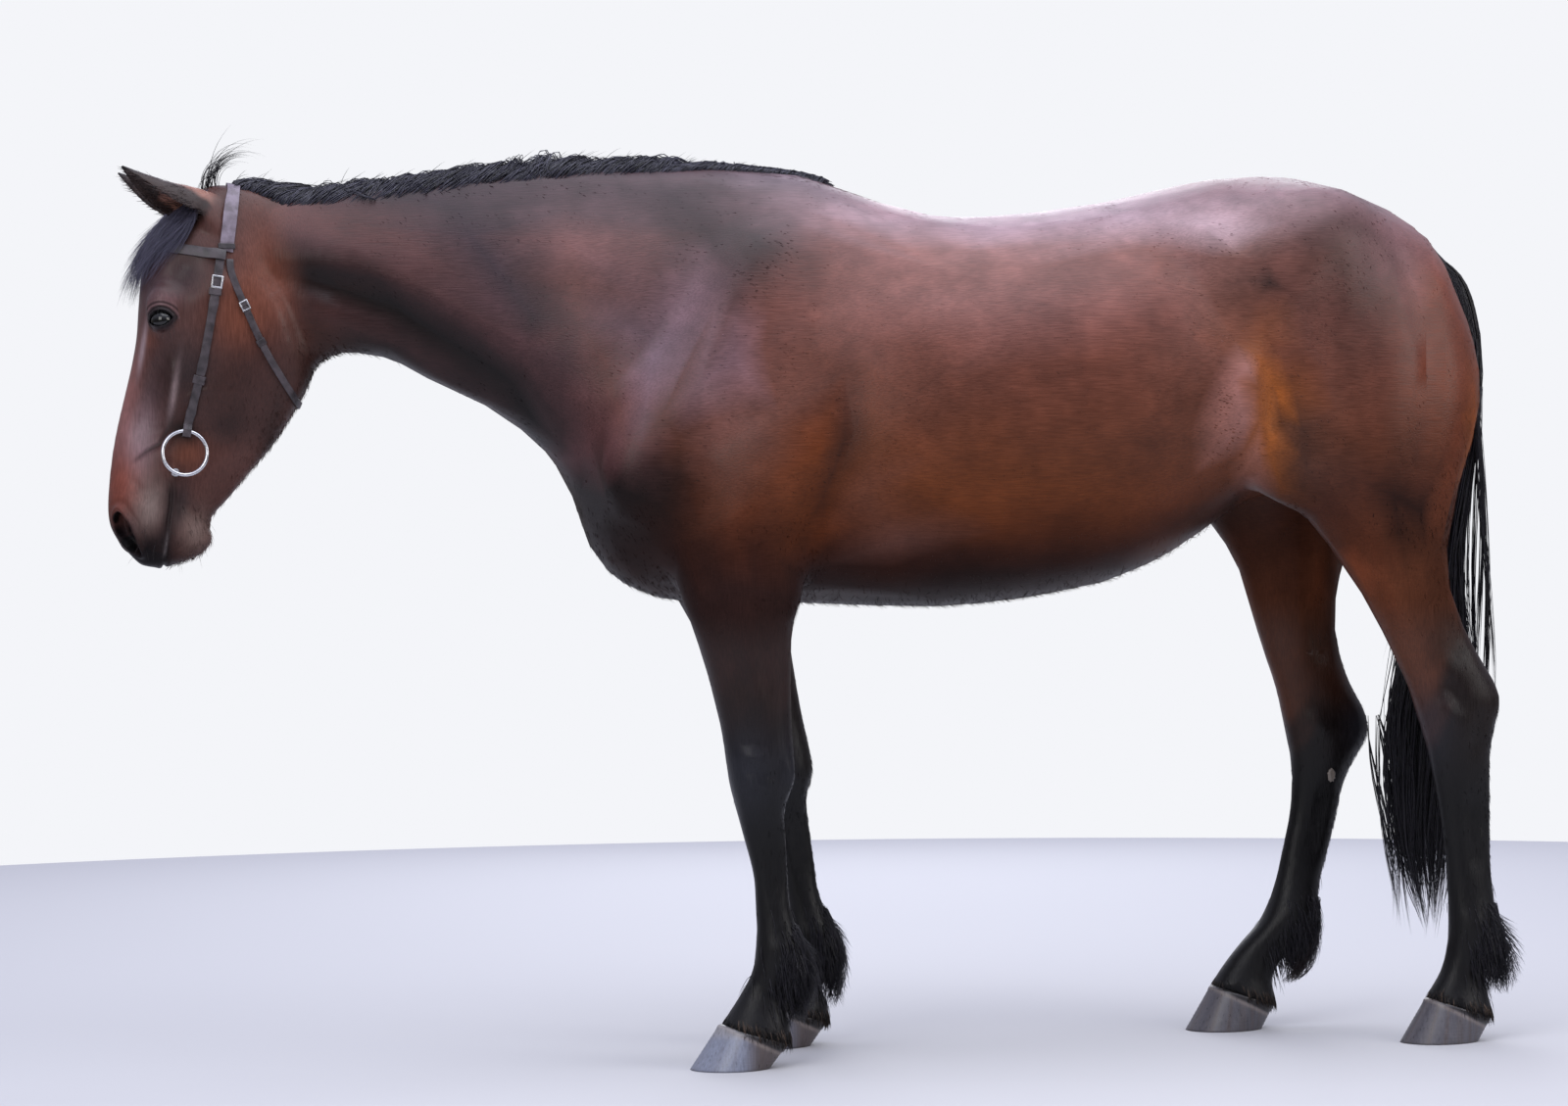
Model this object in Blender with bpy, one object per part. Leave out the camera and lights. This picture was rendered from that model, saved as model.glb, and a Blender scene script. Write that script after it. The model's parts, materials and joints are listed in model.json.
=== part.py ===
"""Standing horse with a snaffle bridle, a still museum model at life size.

Metres, +Z up.  The horse faces -X, its left side is -Y, its middle plane is Y = 0.
The hooves stand on Z = 0 and the origin is the middle of the footprint box.
Flesh is lofted as one body, blended with its muscles, then parted into nodes by thin cuts.
"""
import math

import bmesh
import bpy
import numpy as np
from mathutils import Matrix, Vector
from mathutils.bvhtree import BVHTree

for old in list(bpy.data.objects):
    bpy.data.objects.remove(old, do_unlink=True)

# ---------------------------------------------------------------- driving sizes
withersHeight = 1.69
centreX = 0.0743         # middle of the box from muzzle to tail, before it moves to the origin
legSpread = 0.160        # middle plane to the middle of each foot
gap = 0.0003             # clear space between touching nodes
guardDepth = 0.00055     # how far the clearance shell stands off the flesh
voxel = 0.0075
fleshTriangles = 3100

headTilt = math.radians(9.0)
pollPoint = Vector((-1.052, 0.0, 1.642))
headAxis = Vector((-math.sin(headTilt), 0.0, -math.cos(headTilt)))   # poll to lips
faceAxis = Vector((-math.cos(headTilt), 0.0, math.sin(headTilt)))    # jaw to forehead

eyeRadius = 0.0215
eyeAlong, eyeFront, eyeSide = 0.255, 0.070, 0.0860

strapThick = 0.0035
ringMajor, ringMinor = 0.0405, 0.0036
bitAlong, bitFront, bitSide = 0.489, -0.006, 0.0735
barAlong, barFront = 0.527, 0.006       # where the mouthpiece crosses the mouth

# ---------------------------------------------------------------- section tables
# head: along from poll, face front, jaw rear, half width, widest share from front, powers
headStations = [
    (-0.020, 0.030, -0.110, 0.050, 0.50, 2.0, 2.0),
    (0.030, 0.056, -0.130, 0.066, 0.45, 2.0, 2.0),
    (0.080, 0.090, -0.150, 0.080, 0.42, 2.1, 2.0),
    (0.130, 0.111, -0.172, 0.092, 0.38, 2.4, 2.1),
    (0.180, 0.116, -0.198, 0.099, 0.34, 2.6, 2.2),
    (0.235, 0.113, -0.220, 0.102, 0.30, 2.7, 2.3),
    (0.290, 0.109, -0.227, 0.096, 0.32, 2.4, 2.4),
    (0.345, 0.111, -0.217, 0.085, 0.38, 2.2, 2.5),
    (0.400, 0.116, -0.193, 0.073, 0.44, 2.1, 2.4),
    (0.455, 0.121, -0.167, 0.062, 0.47, 2.1, 2.2),
    (0.510, 0.123, -0.132, 0.056, 0.48, 2.1, 2.1),
    (0.560, 0.121, -0.103, 0.055, 0.42, 2.2, 2.0),
    (0.605, 0.117, -0.074, 0.060, 0.38, 2.3, 2.0),
    (0.640, 0.108, -0.084, 0.062, 0.40, 2.3, 2.2),
    (0.670, 0.086, -0.066, 0.054, 0.42, 2.2, 2.2),
    (0.692, 0.060, -0.028, 0.042, 0.45, 2.1, 2.1),
    (0.706, 0.042, 0.004, 0.024, 0.50, 2.0, 2.0),
]

# neck: crest x, crest z, underline x, underline z, half width, widest share, powers
neckStations = [
    (-1.075, 1.598, -0.985, 1.360, 0.058, 0.50, 1.8, 2.0),
    (-1.010, 1.624, -0.885, 1.322, 0.074, 0.52, 1.8, 2.1),
    (-0.890, 1.644, -0.812, 1.338, 0.078, 0.54, 1.7, 2.2),
    (-0.770, 1.667, -0.733, 1.321, 0.084, 0.55, 1.65, 2.2),
    (-0.655, 1.680, -0.662, 1.281, 0.094, 0.56, 1.6, 2.2),
    (-0.520, 1.689, -0.587, 1.250, 0.108, 0.57, 1.6, 2.2),
    (-0.395, 1.695, -0.512, 1.205, 0.128, 0.57, 1.6, 2.2),
    (-0.274, 1.699, -0.447, 1.150, 0.155, 0.57, 1.6, 2.2),
    (-0.148, 1.698, -0.405, 1.085, 0.185, 0.57, 1.6, 2.2),
    (-0.024, 1.691, -0.372, 1.010, 0.212, 0.56, 1.6, 2.2),
    (0.094, 1.667, -0.300, 0.950, 0.215, 0.55, 1.7, 2.2),
]

# trunk: x, top z, bottom z, half width, widest share from top, powers
trunkStations = [
    (-0.375, 1.240, 0.985, 0.120, 0.50, 2.2, 2.2),
    (-0.315, 1.400, 0.910, 0.190, 0.55, 2.1, 2.2),
    (-0.225, 1.550, 0.872, 0.232, 0.58, 1.9, 2.2),
    (-0.110, 1.650, 0.860, 0.255, 0.60, 1.7, 2.2),
    (0.000, 1.688, 0.860, 0.272, 0.60, 1.6, 2.2),
    (0.100, 1.664, 0.855, 0.292, 0.58, 1.75, 2.2),
    (0.200, 1.626, 0.850, 0.312, 0.55, 1.95, 2.15),
    (0.310, 1.599, 0.848, 0.327, 0.52, 2.15, 2.1),
    (0.420, 1.599, 0.855, 0.336, 0.50, 2.2, 2.1),
    (0.530, 1.609, 0.869, 0.338, 0.49, 2.2, 2.1),
    (0.630, 1.623, 0.889, 0.334, 0.48, 2.2, 2.1),
    (0.730, 1.645, 0.926, 0.324, 0.46, 2.2, 2.1),
    (0.820, 1.664, 0.978, 0.312, 0.44, 2.25, 2.1),
    (0.900, 1.674, 1.035, 0.302, 0.42, 2.3, 2.1),
    (1.000, 1.673, 1.065, 0.292, 0.42, 2.3, 2.1),
    (1.100, 1.654, 1.085, 0.268, 0.43, 2.2, 2.1),
    (1.190, 1.621, 1.110, 0.228, 0.45, 2.1, 2.1),
    (1.265, 1.582, 1.160, 0.165, 0.48, 2.0, 2.0),
    (1.318, 1.535, 1.250, 0.085, 0.50, 2.0, 2.0),
]

# left foreleg: z, front x, rear x, half width, middle y, power
forelegStations = [
    (1.180, -0.335, 0.030, 0.055, 0.165, 2.0),
    (1.080, -0.318, 0.045, 0.072, 0.172, 2.0),
    (0.980, -0.268, 0.035, 0.080, 0.172, 2.1),
    (0.900, -0.230, 0.012, 0.081, 0.170, 2.1),
    (0.840, -0.208, -0.004, 0.077, 0.168, 2.1),
    (0.770, -0.184, -0.010, 0.069, 0.165, 2.1),
    (0.700, -0.165, -0.011, 0.060, 0.163, 2.1),
    (0.630, -0.149, -0.010, 0.053, 0.162, 2.2),
    (0.570, -0.140, -0.007, 0.053, 0.161, 2.4),
    (0.525, -0.133, -0.010, 0.053, 0.160, 2.5),
    (0.480, -0.122, -0.026, 0.044, 0.160, 2.4),
    (0.430, -0.110, -0.024, 0.033, 0.160, 2.2),
    (0.360, -0.093, -0.020, 0.029, 0.160, 2.1),
    (0.300, -0.089, -0.017, 0.030, 0.160, 2.1),
    (0.255, -0.087, -0.004, 0.036, 0.160, 2.2),
    (0.215, -0.090, 0.008, 0.041, 0.160, 2.3),
    (0.180, -0.095, 0.004, 0.040, 0.160, 2.2),
    (0.145, -0.114, -0.020, 0.034, 0.160, 2.1),
    (0.110, -0.136, -0.030, 0.038, 0.160, 2.1),
    (0.075, -0.158, -0.022, 0.051, 0.160, 2.1),
    (0.035, -0.168, -0.020, 0.056, 0.160, 2.1),
    (0.015, -0.168, -0.024, 0.056, 0.160, 2.1),
]
# how far the right foreleg stands behind the left one, by height
forelegLag = [(1.20, 0.0), (1.00, 0.022), (0.75, 0.067), (0.53, 0.101), (0.22, 0.124), (0.0, 0.142)]

hindLeftStations = [
    (1.520, 0.880, 1.230, 0.080, 0.140, 2.0),
    (1.420, 0.830, 1.312, 0.108, 0.158, 2.1),
    (1.320, 0.820, 1.340, 0.122, 0.166, 2.1),
    (1.230, 0.840, 1.345, 0.122, 0.172, 2.1),
    (1.150, 0.870, 1.326, 0.116, 0.178, 2.1),
    (1.080, 0.920, 1.300, 0.106, 0.180, 2.1),
    (1.000, 0.990, 1.284, 0.088, 0.176, 2.1),
    (0.920, 1.055, 1.272, 0.072, 0.170, 2.1),
    (0.860, 1.100, 1.282, 0.061, 0.166, 2.1),
    (0.800, 1.134, 1.306, 0.053, 0.163, 2.1),
    (0.740, 1.163, 1.338, 0.048, 0.161, 2.1),
    (0.690, 1.187, 1.368, 0.047, 0.160, 2.2),
    (0.650, 1.201, 1.379, 0.049, 0.160, 2.3),
    (0.600, 1.217, 1.366, 0.048, 0.160, 2.3),
    (0.550, 1.230, 1.358, 0.041, 0.160, 2.2),
    (0.490, 1.241, 1.358, 0.034, 0.160, 2.1),
    (0.420, 1.252, 1.357, 0.031, 0.160, 2.1),
    (0.350, 1.260, 1.357, 0.031, 0.160, 2.1),
    (0.290, 1.264, 1.360, 0.034, 0.160, 2.1),
    (0.240, 1.266, 1.366, 0.041, 0.160, 2.2),
    (0.200, 1.266, 1.370, 0.043, 0.160, 2.2),
    (0.165, 1.260, 1.356, 0.039, 0.160, 2.1),
    (0.130, 1.248, 1.338, 0.036, 0.160, 2.1),
    (0.095, 1.226, 1.344, 0.041, 0.160, 2.1),
    (0.065, 1.214, 1.352, 0.051, 0.160, 2.1),
    (0.035, 1.212, 1.354, 0.053, 0.160, 2.1),
    (0.015, 1.212, 1.350, 0.053, 0.160, 2.1),
]
hindRightStations = [
    (1.520, 0.880, 1.230, 0.080, 0.140, 2.0),
    (1.420, 0.815, 1.308, 0.108, 0.158, 2.1),
    (1.320, 0.800, 1.334, 0.122, 0.166, 2.1),
    (1.230, 0.800, 1.318, 0.122, 0.172, 2.1),
    (1.150, 0.815, 1.296, 0.116, 0.178, 2.1),
    (1.080, 0.845, 1.262, 0.106, 0.180, 2.1),
    (1.000, 0.895, 1.218, 0.088, 0.176, 2.1),
    (0.920, 0.948, 1.178, 0.072, 0.170, 2.1),
    (0.860, 0.972, 1.160, 0.061, 0.166, 2.1),
    (0.800, 0.987, 1.156, 0.053, 0.163, 2.1),
    (0.740, 1.004, 1.164, 0.048, 0.161, 2.1),
    (0.680, 1.024, 1.184, 0.047, 0.160, 2.2),
    (0.620, 1.038, 1.215, 0.048, 0.160, 2.3),
    (0.575, 1.047, 1.218, 0.049, 0.160, 2.3),
    (0.530, 1.055, 1.192, 0.043, 0.160, 2.2),
    (0.480, 1.056, 1.168, 0.035, 0.160, 2.1),
    (0.420, 1.050, 1.154, 0.031, 0.160, 2.1),
    (0.350, 1.034, 1.136, 0.031, 0.160, 2.1),
    (0.290, 1.020, 1.118, 0.034, 0.160, 2.1),
    (0.245, 1.004, 1.112, 0.041, 0.160, 2.2),
    (0.210, 0.985, 1.106, 0.043, 0.160, 2.2),
    (0.175, 0.952, 1.080, 0.039, 0.160, 2.1),
    (0.140, 0.922, 1.040, 0.036, 0.160, 2.1),
    (0.100, 0.894, 1.014, 0.041, 0.160, 2.1),
    (0.065, 0.880, 1.018, 0.051, 0.160, 2.1),
    (0.035, 0.878, 1.020, 0.053, 0.160, 2.1),
    (0.015, 0.878, 1.016, 0.053, 0.160, 2.1),
]

# muscles on each side: x, y, z, half sizes, lean about Y in degrees
muscles = [
    ("scapula", -0.120, 0.150, 1.330, 0.140, 0.076, 0.250, 22),
    ("triceps", -0.030, 0.196, 1.110, 0.140, 0.078, 0.160, 20),
    ("shoulder_point", -0.290, 0.160, 1.125, 0.090, 0.082, 0.130, 10),
    ("breast", -0.255, 0.095, 1.030, 0.085, 0.090, 0.095, 0),
    ("forearm_top", -0.075, 0.176, 0.905, 0.085, 0.074, 0.110, -8),
    ("haunch", 0.960, 0.175, 1.490, 0.220, 0.128, 0.150, -18),
    ("hip_point", 0.775, 0.215, 1.530, 0.070, 0.055, 0.060, 0),
    ("buttock", 1.175, 0.150, 1.350, 0.140, 0.112, 0.240, 0),
    ("stifle", 0.945, 0.200, 1.175, 0.110, 0.088, 0.160, -12),
]


def catmull(rows, steps):
    """Rows between the stations, by a Catmull-Rom curve through every column."""
    table = np.array(rows, dtype=float)
    padded = np.vstack([2 * table[0] - table[1], table, 2 * table[-1] - table[-2]])
    out = []
    for index in range(len(table) - 1):
        p0, p1, p2, p3 = padded[index:index + 4]
        for step in range(steps):
            t = step / steps
            out.append(0.5 * (2 * p1 + (p2 - p0) * t + (2 * p0 - 5 * p1 + 4 * p2 - p3) * t ** 2
                              + (3 * p1 - p0 - 3 * p2 + p3) * t ** 3))
    out.append(table[-1])
    return out


def section(front, rear, half, share, powerFront, powerRear, sides):
    """Closed outline: (sideways, along the front-rear line) pairs."""
    middle = front + (rear - front) * share
    points = []
    for index in range(sides):
        angle = 2 * math.pi * (index + 0.5) / sides
        power = powerFront if math.sin(angle) > 0 else powerRear
        reach = (front - middle) if math.sin(angle) > 0 else (rear - middle)
        across = math.copysign(abs(math.cos(angle)) ** (2 / power), math.cos(angle)) * half
        points.append((across, middle + reach * abs(math.sin(angle)) ** (2 / power)))
    return points


def shell(rings):
    """Closed mesh through equal rings of points, with flat ends."""
    bm = bmesh.new()
    loops = [[bm.verts.new(point) for point in ring] for ring in rings]
    count = len(loops[0])
    for lower, upper in zip(loops, loops[1:]):
        for index in range(count):
            after = (index + 1) % count
            bm.faces.new((lower[index], lower[after], upper[after], upper[index]))
    bm.faces.new(loops[0])
    bm.faces.new(loops[-1])
    bmesh.ops.recalc_face_normals(bm, faces=bm.faces)
    return bm


def makeObject(name, bm, triangulate=True):
    if triangulate:
        bmesh.ops.triangulate(bm, faces=bm.faces)
    bmesh.ops.recalc_face_normals(bm, faces=bm.faces)
    mesh = bpy.data.meshes.new(name)
    bm.to_mesh(mesh)
    bm.free()
    item = bpy.data.objects.new(name, mesh)
    bpy.context.scene.collection.objects.link(item)
    return item


def bake(item):
    """Applies an object's modifiers to its mesh."""
    bpy.context.view_layer.update()
    graph = bpy.context.evaluated_depsgraph_get()
    mesh = bpy.data.meshes.new_from_object(item.evaluated_get(graph))
    item.modifiers.clear()
    item.data = mesh
    return item


def copyOf(item, name):
    twin = bpy.data.objects.new(name, item.data.copy())
    bpy.context.scene.collection.objects.link(twin)
    return twin


def cut(item, tool, operation="DIFFERENCE"):
    mod = item.modifiers.new("cut", "BOOLEAN")
    mod.object = tool
    mod.operation = operation
    mod.solver = "EXACT"
    return bake(item)


def drop(*items):
    for item in items:
        bpy.data.objects.remove(item, do_unlink=True)


def inHead(along, front, side=0.0):
    return pollPoint + headAxis * along + faceAxis * front + Vector((0.0, side, 0.0))


def mixAt(pairs, z):
    keys = sorted(pairs)
    return float(np.interp(z, [k for k, _ in keys], [v for _, v in keys]))


# ---------------------------------------------------------------- flesh as one body
parts = []


def addLoft(name, rings):
    parts.append(makeObject(name, shell(rings)))


rings = []
for along, front, rear, half, share, powerFront, powerRear in catmull(headStations, 4):
    outline = section(front, rear, half, share, powerFront, powerRear, 40)
    rings.append([inHead(along, u, y) for y, u in outline])
addLoft("head_loft", rings)

rings = []
for crestX, crestZ, underX, underZ, half, share, powerTop, powerLow in catmull(neckStations, 4):
    crest = Vector((crestX, 0, crestZ))
    under = Vector((underX, 0, underZ))
    outline = section(0.0, 1.0, half, share, powerTop, powerLow, 40)
    rings.append([crest.lerp(under, u) + Vector((0, y, 0)) for y, u in outline])
addLoft("neck_loft", rings)

rings = []
for x, top, bottom, half, share, powerTop, powerLow in catmull(trunkStations, 4):
    outline = section(top, bottom, half, share, powerTop, powerLow, 48)
    rings.append([Vector((x, y, u)) for y, u in outline])
addLoft("trunk_loft", rings)


def legRings(stations, side, lag=None):
    rings = []
    for z, front, rear, half, middle, power in catmull(stations, 4):
        shift = mixAt(lag, z) if lag else 0.0
        outline = section(front + shift, rear + shift, half, 0.5, power, power, 24)
        rings.append([Vector((u, side * middle + y, z)) for y, u in outline])
    return rings


addLoft("foreleg_left_loft", legRings(forelegStations, -1))
addLoft("foreleg_right_loft", legRings(forelegStations, 1, forelegLag))
addLoft("hindleg_left_loft", legRings(hindLeftStations, -1))
addLoft("hindleg_right_loft", legRings(hindRightStations, 1))

for side in (-1, 1):
    for name, x, y, z, rx, ry, rz, lean in muscles:
        bm = bmesh.new()
        place = Matrix.Translation((x, side * y, z)) @ Matrix.Rotation(math.radians(lean), 4, "Y")
        bmesh.ops.create_uvsphere(bm, u_segments=24, v_segments=16, radius=1.0,
                                  matrix=place @ Matrix.Diagonal((rx, ry, rz, 1)))
        parts.append(makeObject(name, bm))
    # cheek muscle and the ridge over the eye
    for along, front, y, rs, ru, ry in ((0.235, -0.085, 0.052, 0.105, 0.095, 0.040),
                                        (0.232, 0.070, 0.082, 0.046, 0.034, 0.026),
                                        (0.640, 0.070, 0.040, 0.042, 0.034, 0.024),
                                        (0.640, -0.040, 0.012, 0.036, 0.036, 0.034)):
        bm = bmesh.new()
        turn = Matrix.Rotation(headTilt, 4, "Y")
        place = Matrix.Translation(inHead(along, front, side * y)) @ turn
        bmesh.ops.create_uvsphere(bm, u_segments=20, v_segments=14, radius=1.0,
                                  matrix=place @ Matrix.Diagonal((ru, ry, rs, 1)))
        parts.append(makeObject("head_muscle", bm))

whole = bmesh.new()
for item in parts:
    whole.from_mesh(item.data)
drop(*parts)
core = makeObject("core", whole)
remesh = core.modifiers.new("remesh", "REMESH")
remesh.mode = "VOXEL"
remesh.voxel_size = voxel
bake(core)


# ---------------------------------------------------------------- surface modelling
def getPoints(item):
    mesh = item.data
    points = np.empty(len(mesh.vertices) * 3)
    mesh.vertices.foreach_get("co", points)
    normals = np.empty(len(mesh.vertices) * 3)
    mesh.vertex_normals.foreach_get("vector", normals)
    return points.reshape(-1, 3), normals.reshape(-1, 3)


def setPoints(item, points):
    item.data.vertices.foreach_set("co", points.ravel())
    item.data.update()


def nearLine(points, line):
    """Distance from each point to a broken line."""
    best = np.full(len(points), 1e9)
    for a, b in zip(line, line[1:]):
        a, b = np.array(a), np.array(b)
        run = b - a
        share = np.clip((points - a) @ run / max(run @ run, 1e-12), 0, 1)
        best = np.minimum(best, np.linalg.norm(points - a - share[:, None] * run, axis=1))
    return best


def soften(item, rounds, weight):
    """Smooths a mesh by the given amount at each point."""
    group = item.vertex_groups.new(name="soft")
    for level in range(1, 11):
        chosen = np.nonzero(np.round(weight * 10) == level)[0]
        if len(chosen):
            group.add(chosen.tolist(), level / 10, "REPLACE")
    soft = item.modifiers.new("soft", "SMOOTH")
    soft.factor = 0.5
    soft.iterations = rounds
    soft.vertex_group = "soft"
    bake(item)
    item.vertex_groups.clear()


points, normals = getPoints(core)
soften(core, 10, np.ones(len(points)))
bulk = np.clip((points[:, 2] - 0.86) / 0.12, 0, 1) * np.clip((points[:, 0] + 0.95) / 0.25, 0, 1)
soften(core, 90, bulk)
points, normals = getPoints(core)


def press(line, width, depth):
    """Pushes the surface in along a line (a negative depth raises it)."""
    amount = np.exp(-(nearLine(points, line) / width) ** 2) * depth
    points[:] -= normals * amount[:, None]


for side in (-1, 1):
    h = lambda s, u, y: tuple(inHead(s, u, side * y))
    press([h(0.285, 0.030, 0.10), h(0.40, 0.034, 0.078), h(0.47, 0.040, 0.066)], 0.014, -0.004)
    press([h(0.15, 0.045, 0.09), h(0.185, 0.060, 0.10)], 0.020, 0.010)
    press([h(0.30, 0.068, 0.085), h(0.42, 0.078, 0.07)], 0.024, 0.004)
    press([h(0.43, -0.03, 0.07), h(0.52, -0.045, 0.058)], 0.024, 0.004)
    press([h(0.622, 0.104, 0.045), h(0.655, 0.088, 0.055), h(0.680, 0.062, 0.052)], 0.011, 0.009)
    press([h(0.535, 0.010, 0.06), h(0.60, 0.004, 0.06), h(0.70, 0.000, 0.04)], 0.007, 0.006)
    press([(-0.83, side * 0.07, 1.40), (-0.62, side * 0.10, 1.36),
           (-0.42, side * 0.16, 1.25), (-0.37, side * 0.17, 1.18)], 0.030, 0.012)
    press([(-0.06, side * 0.24, 1.62), (-0.22, side * 0.24, 1.42), (-0.40, side * 0.20, 1.22)],
          0.035, 0.007)
    press([(0.09, side * 0.28, 1.35), (0.06, side * 0.28, 1.15), (0.02, side * 0.27, 1.00)],
          0.045, 0.010)
    press([(0.70, side * 0.33, 1.45), (0.80, side * 0.32, 1.30)], 0.07, 0.010)
    press([(1.10, side * 0.28, 1.50), (1.19, side * 0.26, 1.30), (1.20, side * 0.24, 1.12)],
          0.030, 0.008)
    press([(0.86, side * 0.30, 1.05), (0.92, side * 0.27, 1.10)], 0.04, 0.006)

# throat channel between the jaw bones, breast bone furrow and the cleft under the dock
press([tuple(inHead(0.30, -0.225)), tuple(inHead(0.40, -0.19)), tuple(inHead(0.52, -0.115))],
      0.022, 0.014)
press([(-0.41, 0, 1.12), (-0.37, 0, 0.98), (-0.28, 0, 0.91)], 0.030, 0.016)
press([(1.32, 0, 1.42), (1.31, 0, 1.25), (1.24, 0, 1.09)], 0.035, 0.020)
setPoints(core, points)

surface = BVHTree.FromPolygons([v.co for v in core.data.vertices],
                               [tuple(p.vertices) for p in core.data.polygons])

core.vertex_groups.new(name="coarse")
points, normals = getPoints(core)
detail = np.clip((points[:, 0] + 0.95) / 0.25, 0, 1)
low = np.clip((points[:, 2] - 0.55) / 0.5, 0, 1)
coarse = np.clip(np.minimum(0.72 + 0.28 * detail, 0.8 + 0.2 * low), 0.2, 1.0)
for level in range(1, 11):
    chosen = np.nonzero(np.round(coarse * 10) == level)[0]
    if len(chosen):
        core.vertex_groups["coarse"].add(chosen.tolist(), level / 10, "REPLACE")
light = core.modifiers.new("light", "DECIMATE")
light.ratio = fleshTriangles / (len(core.data.polygons) * 2)
light.vertex_group = "coarse"
light.vertex_group_factor = 1.0
light.use_collapse_triangulate = True
bake(core)
core.vertex_groups.clear()
print("flesh triangles", len(core.data.polygons))

guard = copyOf(core, "clearance_shell")
points, normals = getPoints(guard)
setPoints(guard, points + normals * guardDepth)
facets = BVHTree.FromPolygons([v.co for v in core.data.vertices],
                              [tuple(p.vertices) for p in core.data.polygons])


def onSkin(point):
    place, normal, index, distance = surface.find_nearest(Vector(point))
    return place, normal


# ---------------------------------------------------------------- cutting blocks
def block(name, low, high):
    bm = bmesh.new()
    size = Vector(high) - Vector(low)
    middle = (Vector(high) + Vector(low)) / 2
    bmesh.ops.create_cube(bm, size=1.0, matrix=Matrix.Translation(middle) @ Matrix.Diagonal(
        (size.x, size.y, size.z, 1)))
    return makeObject(name, bm)


def halfSpace(name, point, normal, shift, size=4.0):
    """Block whose face passes through the point and which fills the side of the normal."""
    normal = Vector(normal).normalized()
    bm = bmesh.new()
    turn = normal.to_track_quat("Z", "Y").to_matrix().to_4x4()
    middle = Vector(point) + normal * (shift + size / 2)
    bmesh.ops.create_cube(bm, size=size, matrix=Matrix.Translation(middle) @ turn)
    return makeObject(name, bm)


def keepIn(item, *tools):
    for tool in tools:
        cut(item, tool, "INTERSECT")
        drop(tool)
    return item


half = gap / 2
pollCut = (Vector((-0.985, 0, 1.65)), Vector((-0.860, 0, 1.325)))
pollNormal = (-(pollCut[1].z - pollCut[0].z), 0, (pollCut[1].x - pollCut[0].x))
pollNormal = (-abs(pollNormal[0]), 0, -abs(pollNormal[2]))
baseCut = (Vector((-0.150, 0, 1.70)), Vector((-0.405, 0, 1.130)))
baseRun = baseCut[1] - baseCut[0]
baseNormal = (baseRun.z, 0, -baseRun.x)          # points forward, towards the head

nodes = {}
head = copyOf(core, "head")
nodes["head"] = keepIn(head, halfSpace("cutter", pollCut[0], pollNormal, half))
neck = copyOf(core, "neck")
back = (-pollNormal[0], 0, -pollNormal[2])
nodes["neck"] = keepIn(neck, halfSpace("cutter", pollCut[0], back, half),
                       halfSpace("cutter", baseCut[0], baseNormal, half))
forelegTop = 0.840
hindlegTop = 1.010
kneeCut, hockCut = 0.470, 0.520
trunk = copyOf(core, "trunk")
keepIn(trunk, halfSpace("cutter", baseCut[0], (-baseNormal[0], 0, -baseNormal[2]), half))
for low, high in (((-0.6, -1, -1), (0.22, 1, forelegTop + half)),
                  ((0.885, -1, -1), (2.0, 1, hindlegTop + half)),
                  ((0.700, -1, -1), (0.900, 1, 0.800))):
    tool = block("cutter", low, high)
    cut(trunk, tool)
    drop(tool)
nodes["trunk"] = trunk

hoofCuts = {
    "fore_left": (Vector((-0.157, 0, 0.083)), Vector((-0.023, 0, 0.044))),
    "fore_right": (Vector((-0.018, 0, 0.083)), Vector((0.116, 0, 0.044))),
    "hind_left": (Vector((1.222, 0, 0.086)), Vector((1.352, 0, 0.044))),
    "hind_right": (Vector((0.888, 0, 0.088)), Vector((1.018, 0, 0.046))),
}
for end, top, split, lowX, highX in (("fore", forelegTop, kneeCut, -0.5, 0.22),
                                     ("hind", hindlegTop, hockCut, 0.885, 1.8)):
    for sideName, lowY, highY in (("left", -0.6, -0.0002), ("right", 0.0002, 0.6)):
        key = end + "leg_" + sideName
        upper = copyOf(core, key + "_upper")
        nodes[upper.name] = keepIn(upper, block("cutter", (lowX, lowY, split + half),
                                                (highX, highY, top - half)))
        lower = copyOf(core, key + "_lower")
        front, heel = hoofCuts[end + "_" + sideName]
        rise = (front - heel)
        upward = Vector((-rise.z, 0, rise.x))
        upward = upward if upward.z > 0 else -upward
        nodes[lower.name] = keepIn(lower, block("cutter", (lowX - 0.15, lowY, -0.2),
                                                (highX, highY, split - half)),
                                   halfSpace("cutter", front, upward, half))

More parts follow.
